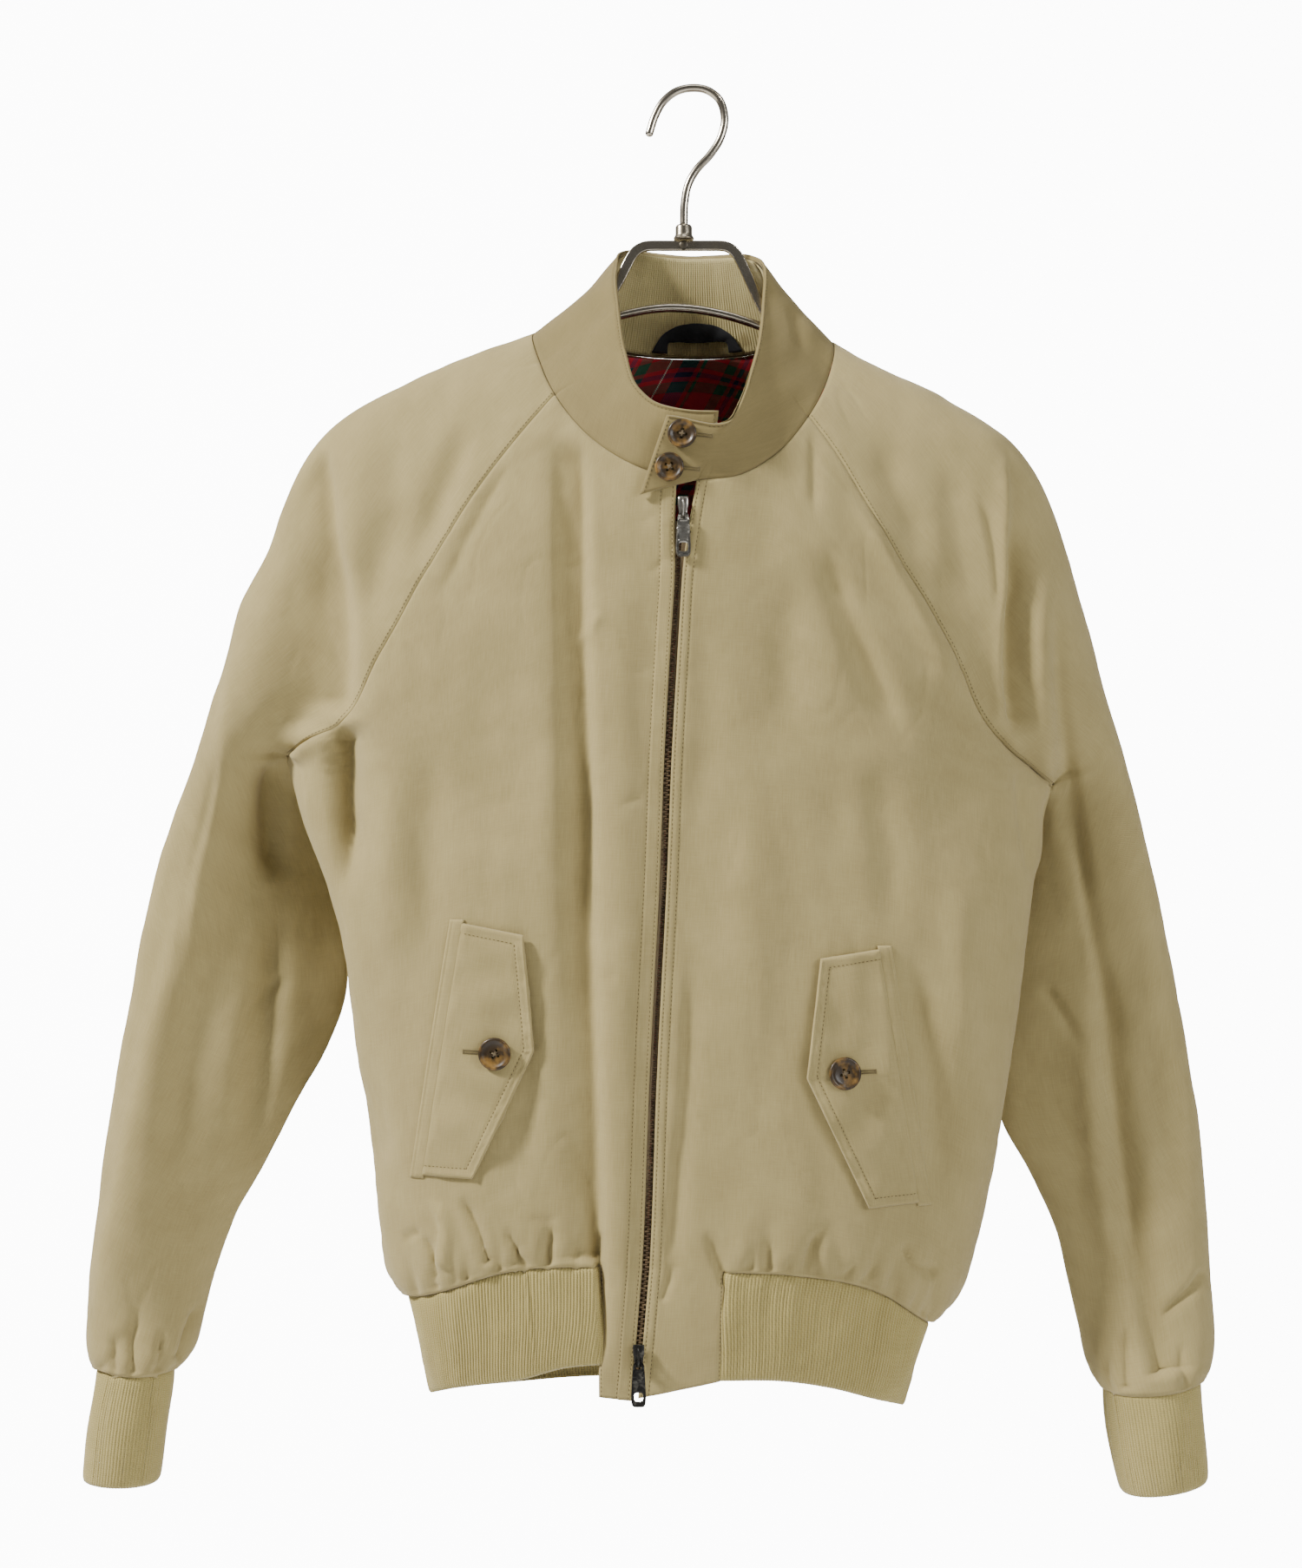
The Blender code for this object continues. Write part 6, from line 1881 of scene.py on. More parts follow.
@dataclass
class Studio:
    """The camera, the floor with its curved back, and the lights."""

    lens: float = 54.36
    floor: float = -1.85
    glow: float = 11.0
    lamps: tuple[Lamp, ...] = (
        Lamp("key", (-3.2, -1.3, 2.2), (0.0, 0.0, -0.45), (0.6, 0.6), 440.0, (1.0, 0.985, 0.96)),
        Lamp("crisp", (1.5, -1.6, 1.7), (0.0, 0.0, -0.45), (0.25, 0.25), 14.0, (1.0, 0.985, 0.96)),
        Lamp("fill", (2.2, -1.9, 0.2), (0.0, 0.0, -0.5), (1.2, 1.2), 58.0, (0.97, 0.985, 1.0)),
        Lamp("top", (0.1, -0.7, 1.9), (0.0, 0.0, -0.4), (1.0, 0.7), 8.0),
        Lamp("rear", (0.0, 2.0, 0.9), (0.0, 0.2, -0.6), (2.2, 1.6), 22.0),
    )

    def build(self) -> None:
        """Sets everything up."""
        self._camera()
        self._backdrop()
        for lamp in self.lamps:
            self._lamp(lamp)
        world = bpy.data.worlds.new("studio")
        world.use_nodes = True
        world.node_tree.nodes["Background"].inputs["Color"].default_value = (1.0, 1.0, 1.0, 1.0)
        world.node_tree.nodes["Background"].inputs["Strength"].default_value = 0.11
        bpy.context.scene.world = world

    def _camera(self) -> None:
        """The camera, level and square to the front."""
        data = bpy.data.cameras.new("camera")
        data.sensor_fit = "VERTICAL"
        data.sensor_height = 36.0
        data.lens = self.lens
        camera = bpy.data.objects.new("camera", data)
        camera.location = metres((EYE_X, -EYE_DISTANCE, EYE_Z))
        camera.rotation_euler = (math.pi / 2, 0.0, 0.0)
        bpy.context.scene.collection.objects.link(camera)
        bpy.context.scene.camera = camera

    def _backdrop(self) -> None:
        """A pale floor that curves up behind."""
        bm = bmesh.new()
        start = [bm.verts.new((-6.0, -5.0, self.floor)), bm.verts.new((6.0, -5.0, self.floor))]
        edge = bm.edges.new(start)
        bend = [(3.0, 0.0)] + [
            (3.0 + 1.2 * math.sin(a), 1.2 - 1.2 * math.cos(a)) for a in np.linspace(0.13, math.pi / 2, 12)
        ]
        for y, z in bend + [(4.2, 5.0)]:
            made = bmesh.ops.extrude_edge_only(bm, edges=[edge])["geom"]
            edge = next(item for item in made if isinstance(item, bmesh.types.BMEdge))
            for vert in edge.verts:
                vert.co.y, vert.co.z = y, self.floor + z
        bmesh.ops.recalc_face_normals(bm, faces=bm.faces)
        mesh = finished_mesh(bm, "floor")
        material, nodes, shader = new_material("pale_floor")
        place = nodes.add("ShaderNodeTexCoord").outputs["Object"]
        cloudy = nodes.noise(place, 1.5, 3.0)
        seen = nodes.add("ShaderNodeLightPath").outputs["Is Camera Ray"]
        nodes.fill(shader, {
            "Base Color": nodes.mix(cloudy, (0.90, 0.90, 0.90, 1.0), (0.93, 0.93, 0.93, 1.0)),
            "Roughness": 0.9,
            "Emission Strength": nodes.math("MULTIPLY", seen, self.glow),
            "Emission Color": (1.0, 1.0, 1.0, 1.0),
        })
        floor = add_piece("floor", mesh, [material])
        floor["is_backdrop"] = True

    @staticmethod
    def _lamp(lamp: Lamp) -> None:
        """One light, turned to its target.

        Args:
            lamp: The light.
        """
        data = bpy.data.lights.new(lamp.name, "AREA")
        data.shape = "RECTANGLE"
        data.size, data.size_y = lamp.size
        data.energy = lamp.power
        data.color = lamp.colour
        light = bpy.data.objects.new(lamp.name, data)
        light.location = lamp.place
        way = Vector(lamp.target) - Vector(lamp.place)
        light.rotation_euler = way.to_track_quat("-Z", "Y").to_euler()
        bpy.context.scene.collection.objects.link(light)


# ---------------------------------------------------------------------------------------------
# The shell: fronts, back and sleeves.

SEAM_EDGE = np.array((0.0, 0.6, 1.3, 2.2, 3.4, 5.2))
PLACKET = np.array(
    (0.0, 0.4, 0.9, 1.4, 1.9, 2.5, 3.6, 5.0, 5.8, 6.4, 7.0, 7.8, 8.6, 9.2, 9.8, 10.8, 12.6, 15.0)
)
PLACKET_STITCH = {"right": 9.2, "left": 6.4}
EDGE_STITCH = 1.9
COLLAR_STITCH = 2.3


def even(start: float, end: float, pitch: float) -> Array:
    """Even places from start to end, both included, about a pitch apart."""
    return np.linspace(start, end, max(2, round((end - start) / pitch) + 1))


def between(total: float, first: Array, last: Array, count: int) -> Array:
    """Distances across a row: set ones from either end, and a count of even ones between."""
    end = total - last[::-1]
    return np.concatenate([first, np.linspace(first[-1], end[0], count + 2)[1:-1], end])


def dip(distance: Array, centre: float, width: float) -> Array:
    """A small rounded mark across a distance, 1 at its centre."""
    return np.exp(-(((distance - centre) / width) ** 2))


@dataclass
class ShellCloth:
    """The five cut pieces of the shell, and the cloth strips that run down beside the zip."""

    pattern: Pattern
    wall: float = 1.4
    fold_scale: float = 2.1
    lined: float = 175.0
    front_columns: int = 78
    back_columns: int = 100
    sleeve_columns: int = 88
    side_length: float = 330.0
    raglan_length: float = 280.0
    arm_length: float = 410.0
    side_rows: int = 138
    raglan_rows: int = 112
    arm_rows: int = 150
    strip_rows: int = 34
    panels: dict[str, Panel] = field(default_factory=dict)
    strip_count: dict[str, int] = field(default_factory=dict)

    def __post_init__(self) -> None:
        """Sets the heights of the rows, closer together beside the seams."""
        edge = SEAM_EDGE / self.side_length
        low = np.concatenate([edge, np.linspace(edge[-1], 1, self.side_rows)[1:]])
        high, arm = (
            np.concatenate([np.linspace(0, 1 - edge[-1], rows)[:-1], 1 - edge[::-1]])
            for edge, rows in (
                (SEAM_EDGE / self.raglan_length, self.raglan_rows),
                (SEAM_EDGE / self.arm_length, self.arm_rows)
            )
        )
        self.body_v = np.concatenate([low, 1 + high[1:]])
        self.sleeve_v = np.concatenate([1 - high[::-1], 1 + arm[1:]])
        self.armpit_row = len(low) - 1
        self.raglan_count = len(high) - 1

    def draw(self) -> None:
        """Lays out the panels before any fold."""
        u, v = np.linspace(0, 1, 121), np.linspace(0, 2, 241)
        edge = SEAM_EDGE
        for side in (self.pattern.right, self.pattern.left):
            name = side.cut.name
            form = Form(self.pattern.front(side, u, v))
            foot = form.at(np.linspace(0, 1, 400), np.zeros(400))
            walked = walk_along(foot)
            width = float(np.interp(side.strip_u, np.linspace(0, 1, 400), walked))
            strip = np.concatenate([PLACKET, even(PLACKET[-1], width, 2.3)[1:]])
            self.strip_count[name] = len(strip)
            points = form.spread(
                self.body_v / 2, lambda total: between(total, strip, edge, self.front_columns)
            )
            self.panels["front_" + name] = Panel("front_" + name, points, side.sign < 0)
            self.panels["strip_" + name] = self._strip(side, points[0, : len(strip)], strip / width)
            form = Form(self.pattern.sleeve(side, np.linspace(0, 1, 161), v))
            points = form.spread(
                self.sleeve_v / 2, lambda total: between(total, edge, edge, self.sleeve_columns)
            )
            self.panels["sleeve_" + name] = Panel("sleeve_" + name, points, side.sign > 0)
        form = Form(self.pattern.back(np.linspace(-1, 1, 181), v))
        points = form.spread(self.body_v / 2, lambda total: between(total, edge, edge, self.back_columns))
        self.panels["back"] = Panel("back", points, True)

    def _strip(self, side: Side, top: Array, share: Array) -> Panel:
        """The cloth beside the zip, from the foot of the hem up to the seam.

        Args:
            side: The half of the garment.
            top: Its points along the seam.
            share: The share of its width at each.

        Returns:
            The strip.
        """
        start, corner = side.edge.at(0.0), np.array(side.cut.strip_foot, float)
        foot = start + (corner - start) * share[:, None]
        rise = np.linspace(0, 1, self.strip_rows)[:, None, None]
        return Panel("strip_" + side.cut.name, foot + (top - foot) * rise, side.sign < 0)

    def _borders(self) -> list[tuple[Border, Border]]:
        """The pairs of borders that are sewn to each other.

        Returns:
            The pairs, each in the same order.
        """
        pairs = []
        low = np.arange(self.armpit_row + 1)
        high = np.arange(self.armpit_row, self.armpit_row + self.raglan_count + 1)
        over = np.arange(self.raglan_count, -1, -1)
        arm = np.arange(self.raglan_count, len(self.sleeve_v))
        back = self.panels["back"]
        for name, back_column, back_step in (("right", 0, 1), ("left", back.points.shape[1] - 1, -1)):
            front, sleeve, strip = (self.panels[f"{kind}_{name}"] for kind in ("front", "sleeve", "strip"))
            last = front.points.shape[1] - 1
            end = sleeve.points.shape[1] - 1
            count = self.strip_count[name]
            pairs += [
                (self._border(front, high, last, -1), self._border(sleeve, over, 0, 1)),
                (self._border(back, high, back_column, back_step), self._border(sleeve, over, end, -1)),
                (self._border(front, low, last, -1), self._border(back, low, back_column, back_step)),
                (self._border(sleeve, arm, 0, 1), self._border(sleeve, arm, end, -1)),
                (
                    Border(front, np.zeros(count, int), np.arange(count), (1, 0)),
                    Border(strip, np.full(count, self.strip_rows - 1), np.arange(count), (-1, 0)),
                ),
            ]
        return pairs

    @staticmethod
    def _border(panel: Panel, rows: Array, column: int, step: int) -> Border:
        """A border along one column."""
        return Border(panel, rows, np.full(len(rows), column), (0, step))

    def fold(self) -> None:
        """Lays in the folds, the unevenness and the seams."""
        slow, middling = Ripples(7, 70.0, (0.8, 1.0, 2.4)), Ripples(11, 26.0, (0.8, 1.0, 1.7))
        for panel in self.panels.values():
            height = self._large(panel) + 0.95 * slow.at(panel.points)
            height += 0.2 * middling.at(panel.points)
            panel.push(self._guard(panel, height))
        self._sew()
        fine = Ripples(19, 11.0, (1.0, 1.0, 1.3))
        lines, where = Ripples(31, 46.0, (0.75, 1.0, 2.0)), Ripples(37, 90.0)
        for panel in self.panels.values():
            there = smooth((where.at(panel.points) + 0.2) / 0.9)
            crease = dip(lines.at(panel.points), 0.0, 0.16) * there
            height = self._small(panel) + 0.05 * fine.at(panel.points) - 0.42 * crease
            panel.push(self._clear(panel, height))
        self._sew()

    def _guard(self, panel: Panel, height: Array) -> Array:
        """Keeps the folds off what lies inside, and fills the cloth out under the armpits.

        Args:
            panel: The panel.
            height: The height of its large folds.

        Returns:
            The height at each point.
        """
        first, last, low, _ = panel.distances()
        if not panel.name.startswith("sleeve"):
            edge = last if panel.name.startswith("front") else np.minimum(first, last)
            below = 0.0
            if not panel.name.startswith("strip"):
                below = np.maximum(low[self.armpit_row] - low, 0) / 6.0
            if panel.name == "back":
                high = panel.along[-1:] - panel.along
                height = np.where(high < self.lined, np.maximum(height, -0.5), height)
            return height + 2.0 * below * np.exp(1 - below) * np.exp(-edge / 10)
        height = self._clear(panel, height)
        below = low - low[self.raglan_count]
        edge = np.minimum(first, last)
        near, far = np.maximum(below, 0) / 6.0, np.exp(-(((below - 130) / 42) ** 2))
        return height + (8.0 * near * np.exp(1 - near) + 3.0 * far) * np.exp(-edge / 12)

    def _clear(self, panel: Panel, height: Array) -> Array:
        """Keeps a sleeve's shoulder line from sinking onto the bar inside.

        Args:
            panel: The panel.
            height: The height of its folds.

        Returns:
            The height, without hollows over the bar.
        """
        if not panel.name.startswith("sleeve"):
            return height
        first, last, low, _ = panel.distances()
        line = 1 - smooth((np.abs(first - last) / 2 - 6) / 18)
        return np.where(height < 0, height * (1 - line * smooth((235 - low) / 30)), height)

    def _sew(self) -> None:
        """Closes every seam and evens the normals along it."""
        borders = self._borders()
        for _ in range(5):
            for first, second in borders:
                sew(first, second)
        self._close_armpits()
        for panel in self.panels.values():
            panel.weigh()
        for _ in range(2):
            for first, second in borders:
                share_normals(first, second)

    def _close_armpits(self) -> None:
        """Brings the corners of the pieces that meet at each armpit to one point."""
        back = self.panels["back"]
        for name, column in (("right", 0), ("left", -1)):
            front, sleeve = self.panels["front_" + name], self.panels["sleeve_" + name]
            spots = (
                (front, self.armpit_row, -1),
                (back, self.armpit_row, column),
                (sleeve, self.raglan_count, 0),
                (sleeve, self.raglan_count, -1),
            )
            corner = np.mean([panel.points[row, place] for panel, row, place in spots], axis=0)
            for panel, row, place in spots:
                panel.points[row, place] = corner
            self._close_below(front, sleeve)

    def _close_below(self, front: Panel, sleeve: Panel, reach: int = 10) -> None:
        """Lets the top of an underarm seam lean on the body's side, so that no slit shows beside it.

        Args:
            front: The front of that side.
            sleeve: Its sleeve.
            reach: How many rows of the seam lean.
        """
        side = front.points[: self.armpit_row + 1, -1]
        order = np.argsort(side[:, 2])
        for step in range(1, reach):
            row = self.raglan_count + step
            seam = sleeve.points[row, 0]
            body = np.interp(seam[2], side[order, 2], side[order, 0])
            lean = (body - seam[0]) * float(smooth((1 - step / reach) / 0.7))
            for column in range(8):
                share = float(smooth(1 - column / 8))
                sleeve.points[row, column, 0] += lean * share
                sleeve.points[row, -1 - column, 0] += lean * share

    def _large(self, panel: Panel) -> Array:
        """The heights of the drawn folds on a panel.

        Args:
            panel: The panel.

        Returns:
            The height at each point.
        """
        first, _, low, high = panel.distances()
        if panel.name.startswith("front"):
            height = panel.folded(FOLDS[Face.FRONT_BODY], -1, self.fold_scale)
            sewn = 0.8 * self._beyond(panel, first, 4.0) * (1 - smooth(low / 8))
            return height * smooth(high / 24) * (0.15 + 0.85 * smooth(first / 12)) * (1 - sewn)
        if panel.name.startswith("strip"):
            height = panel.folded(FOLDS[Face.FRONT_BODY], -1, self.fold_scale)
            return height * (0.15 + 0.85 * smooth(first / 12)) * (0.35 + 0.65 * smooth(low / 70))
        if panel.name == "back":
            height = panel.folded(FOLDS[Face.BACK_BODY], 1, self.fold_scale)
            return height * smooth(high / 24) * (0.2 + 0.8 * smooth(low / 8))
        height = panel.folded(FOLDS[Face.FRONT_SLEEVE], -1, self.fold_scale)
        height += panel.folded(FOLDS[Face.BACK_SLEEVE], 1, self.fold_scale)
        return height * smooth(low / 24) * (0.2 + 0.8 * smooth(high / 8))

    def _beyond(self, panel: Panel, first: Array, over: float) -> Array:
        """0 where a front runs on into its strip and 1 where it is sewn to the ribbing."""
        width = panel.across[0, self.strip_count[panel.name.rsplit("_", 1)[-1]] - 1]
        return smooth((first - width + 1.5) / over)

    def _small(self, panel: Panel) -> Array:
        """The heights of gathers, puckers, seams and stitched edges on a panel.

        Args:
            panel: The panel.

        Returns:
            The height at each point.
        """
        first, last, low, high = panel.distances()
        seed = sum(map(ord, panel.name))
        stitch = PLACKET_STITCH.get(panel.name.rsplit("_", 1)[-1], 0.0)
        if panel.name.startswith("strip"):
            return self._placket(first, stitch) + self._seam(last)
        if panel.name.startswith("front"):
            height = self._placket(first, stitch) + self._seam(last) + self._seam(high)
            height += (
                self._seam(low) * self._beyond(panel, first, 2.5)
                + self._swell(low) * self._beyond(panel, first, 16.0)
            )
            height += HEM_GATHERS.at(first, low, seed)
            height += ZIP_PUCKERS.at(low, first, seed + 1)
            return height + SIDE_PUCKERS.at(low, last, seed + 2)
        if panel.name == "back":
            height = self._seam(first) + self._seam(last) + self._seam(low) + self._seam(high)
            height = height + self._swell(low)
            height += BACK_GATHERS.at(first, low, seed)
            height += SIDE_PUCKERS.at(low, first, seed + 1)
            return height + SIDE_PUCKERS.at(low, last, seed + 2)
        height = self._seam(first) + self._seam(last) + self._seam(high) + self._seam(low) + self._swell(high)
        armpit = np.exp(-(((low - low[self.raglan_count] - 18) / 22) ** 2))
        height -= armpit * (self._seam(first) + self._seam(last))
        height += CUFF_GATHERS.at(first, high, seed)
        height += SLEEVE_PUCKERS.at(low, first, seed + 1)
        return height + SLEEVE_PUCKERS.at(low, last, seed + 2)

    @staticmethod
    def _seam(away: Array) -> Array:
        """The groove of a sewn seam."""
        return -0.75 * np.exp(-((away / 1.1) ** 2)) - 0.35 * np.exp(-away / 4.0)

    @staticmethod
    def _swell(away: Array) -> Array:
        """The cloth's blouse above the ribbing."""
        x = away / 14.0
        return 3.0 * x * np.exp(1 - x) - 1.2 * np.exp(-away / 3.0) + 0.6 * dip(away, 2.2, 1.1)

    @staticmethod
    def _placket(edge: Array, stitch: float) -> Array:
        """The turned edge beside the zip: a raised band and the grooves of two rows of stitches."""
        band = 0.4 * smooth((stitch + 1.5 - edge) / 3.0) - 1.0 * np.exp(-((edge / 0.7) ** 2))
        return band - 0.35 * dip(edge, EDGE_STITCH, 0.6) - 0.45 * dip(edge, stitch, 0.7)

    def build(self, finishes: Finishes) -> dict[str, bpy.types.Object]:
        """Makes the pieces.

        Args:
            finishes: The materials.

        Returns:
            The pieces by the node that each stands for.
        """
        made = {}
        for name in ("front_right", "front_left", "back", "sleeve_right", "sleeve_left"):
            panel = self.panels[name]
            points, uv, keep = panel.points, panel.uv(), None
            first, last, _, _ = panel.distances()
            wall = smooth(last / 9.0) * (1.0 if name.startswith("front") else smooth(first / 9.0))
            if name.startswith("front"):
                points, uv, keep = self._with_strip(panel, self.panels[name.replace("front", "strip")])
                wall = np.concatenate([np.ones((self.strip_rows - 1, wall.shape[1])), wall])
            mesh = grid_mesh(name, points, panel.flip, uv, keep, merge=0.02, wall=wall)
            self._allow_seams(mesh)
            obj = add_piece(
                name + "_cloth", mesh, [finishes.poplin, finishes.check, finishes.poplin, finishes.poplin]
            )
            thicken(obj, self.wall, 1, tapered=True)
            dress(obj, name)
            made[name] = obj
        return made

    @staticmethod
    def _allow_seams(mesh: bpy.types.Mesh, band: float = 0.5) -> None:
        """Gives the faces beside the seams, where the wall thins, their own cloth on both sides.

        Args:
            mesh: The piece's mesh, with its wall's shares.
            band: The share of the wall below which a face counts as beside a seam.
        """
        bm = bmesh.new()
        bm.from_mesh(mesh)
        weights = bm.verts.layers.deform.verify()
        for face in bm.faces:
            if min(vert[weights].get(0, 1.0) for vert in face.verts) < band:
                face.material_index = 2
        bm.to_mesh(mesh)
        bm.free()

    @staticmethod
    def _with_strip(front: Panel, strip: Panel) -> tuple[Array, Array, Array]:
        """The front and its strip as one grid, with the cells that are cloth.

        Args:
            front: The front.
            strip: Its strip.

        Returns:
            The points, their places laid flat, and which cells are cloth.
        """
        rows, columns = front.points.shape[:2]
        below, count = strip.points.shape[0] - 1, strip.points.shape[1]
        points = np.concatenate([np.repeat(front.points[:1], below, axis=0), front.points])
        points[:below, :count] = strip.points[:-1]
        across = np.concatenate([np.repeat(front.across[:1], below, axis=0), front.across])
        drop = np.repeat((strip.along[:-1, :1] - strip.along[-1:, :1]), columns, axis=1)
        along = np.concatenate([drop, front.along])
        keep = np.ones((below + rows - 1, columns - 1), bool)
        keep[:below, count - 1 :] = False
        return points, np.stack([across, along], axis=-1), keep


# ---------------------------------------------------------------------------------------------
# The collar.


@dataclass
class Collar:
    """The stand collar with its buttoned tab, its rib facing and the neck of the garment."""

    pattern: Pattern
    shell: ShellCloth
    wall: float = 2.2
    height: float = 47.0
    roll: Array = field(default_factory=lambda: np.array((0.0, 0.35, 0.8, 1.3, 1.8, 2.3, 2.9, 3.8, 5.2, 7.0)))
    panel: Panel | None = None

    def _stations(self) -> tuple[Array, list[Border]]:
        """The columns along the neck seam, and the borders of the shell that they are sewn to.

        Returns:
            The stations, and a border for each piece that the collar is sewn to.
        """
        neck = self.pattern.neck
        end_columns = even(0.0, 1.0, 0.11)
        columns, borders = [end_columns], []
        spans = (
            ("front_right", 1.0, 4.0, False, -1),
            ("sleeve_right", 4.0, 8.0, False, 0),
            ("back", 8.0, 12.0, False, -1),
            ("sleeve_left", 16.0, 12.0, True, 0),
            ("front_left", 19.0, 16.0, True, -1),
        )
        for name, start, end, turned, row in spans:
            panel = self.shell.panels[name]
            share = panel.across[row] / panel.across[row, -1]
            stations = neck.by_length(share, start, end)
            order = np.arange(len(share))[::-1] if turned else np.arange(len(share))
            rows = np.full(len(order), len(panel.points) - 1 if row else 0)
            borders.append(Border(panel, rows, order, (-1, 0) if row else (1, 0)))
            columns.append(stations[order][1:])
        columns.append(even(19.0, neck.last, 0.05)[1:])
        return np.concatenate(columns), borders

    def draw(self) -> None:
        """Lays out the collar and sews it to the shell."""
        stations, borders = self._stations()
        low = np.concatenate([SEAM_EDGE, even(SEAM_EDGE[-1], self.height - self.roll[-1], 3.0)[1:-1]])
        heights = np.concatenate([low, (self.height - self.roll)[::-1]]) / self.height
        self.panel = Panel("collar", self.pattern.collar(stations, heights), True)
        column = len(even(0.0, 1.0, 0.11)) - 1
        for border in borders:
            count = len(border.rows)
            own = Border(self.panel, np.zeros(count, int), column + np.arange(count), (1, 0))
            sew(own, border, share=1.0)
            column += count - 1
        self.panel.weigh()
        self.panel.push(self._small(self.panel))
        self.panel.weigh()

    def _small(self, panel: Panel) -> Array:
        """The heights of its seam, rolled edges, stitches and unevenness.

        Args:
            panel: The collar.

        Returns:
            The height at each point.
        """
        start, end, low, high = panel.distances()
        rim = np.minimum(np.minimum(high, start), end)
        edge = 0.5 * dip(rim, 1.1, 0.8) - dip(rim, 0.0, 0.5) - 0.4 * dip(rim, COLLAR_STITCH, 0.7)
        seam = -0.7 * np.exp(-((low / 1.1) ** 2))
        puckers = COLLAR_PUCKERS.at(start, rim, 5)
        uneven = 0.35 * Ripples(23, 30.0).at(panel.points) * smooth(low / 8)
        creases = panel.folded(
            (
                Fold("collar_crease_left", ((67, -135), (70, -150), (72, -166)), -1.3, 3.5, 4.5),
                Fold("collar_crease_right", ((-62, -144), (-66, -160), (-72, -178)), -0.9, 4, 4),
            ),
            -1,
        )
        return edge + seam + puckers + uneven + creases

    def build(self, finishes: Finishes) -> bpy.types.Object:
        """Makes the collar's cloth.

        Args:
            finishes: The materials.

        Returns:
            The piece.
        """
        mesh = self.panel.mesh()
        # The collar wears the darker copy of the poplin, which is painted shade.
        obj = cloth_piece("collar_cloth", mesh, finishes.collar, self.wall, "collar")
        return obj

    def build_facing(self, finishes: Finishes) -> bpy.types.Object:
        """Makes the rib knit that lines the collar.

        Args:
            finishes: The materials.

        Returns:
            The piece.
        """
        neck = self.pattern.neck
        stations = neck.by_length(np.linspace(0, 1, 220), 2.2, 18.0)
        heights = np.array((0.02, 0.05, 0.2, 0.4, 0.6, 0.8, 0.92, 0.965))
        base = Panel("facing", self.pattern.collar(stations, heights), False)
        depth = self.wall + 0.9 + 0.6 * smooth((0.1 - heights) / 0.1) + 0.5 * smooth((heights - 0.93) / 0.05)
        base.points = base.points + base.normals * depth[:, None, None]
        band = RibBand("facing", base.points, 1.55, 0.4, 5, flip=False)
        mesh = band.mesh()
        obj = cloth_piece(
            "collar_rib_facing", mesh, finishes.collar_rib, KNIT_WALL, "collar_facing"
        )
        return obj


# ---------------------------------------------------------------------------------------------
# Ribbing.


KNIT_WALL = 0.6


@dataclass
class RibBand:
    """A knitted band with standing ribs across its rows of guide points."""

    name: str
    guides: Array
    pitch: float
    rise: float
    samples: int = 6
    flip: bool = False
    closed: bool = False

    def mesh(self) -> bpy.types.Mesh:
        """Spreads the guides into ribs and makes the mesh.

        Returns:
            The mesh.
        """
        middle = self.guides[len(self.guides) // 2]
        length = float(np.linalg.norm(np.diff(middle, axis=0), axis=1).sum())
        ribs = max(4, round(length / self.pitch))
        share = np.linspace(0, 1, ribs * self.samples + 1)
        rows = []
        for guide in self.guides:
            walked = walk_along(guide)
            rows.append(read_between(share * walked[-1], walked, guide))
        points = np.array(rows)
        panel = Panel(self.name, points, self.flip)
        if self.closed:
            ends = unit(panel.normals[:, 0] + panel.normals[:, -1])
            panel.normals[:, 0] = panel.normals[:, -1] = ends
        phase = np.arange(points.shape[1]) / self.samples
        standing = (0.5 - 0.5 * np.cos(2 * math.pi * phase)) ** 0.7
        _, _, low, high = panel.distances()
        uneven = 1 + 0.18 * np.sin(1.7 * np.floor(phase)) * np.sin(0.9 * np.floor(phase) + 2)
        held = 0.35 + 0.65 * smooth(np.minimum(low, high) / 2.5)
        panel.push(self.rise * (standing * uneven)[None, :] * held)
        return grid_mesh(
            self.name, panel.points, self.flip, panel.uv(), closed=self.closed,
            merge=0.02 if self.closed else 0.0
        )


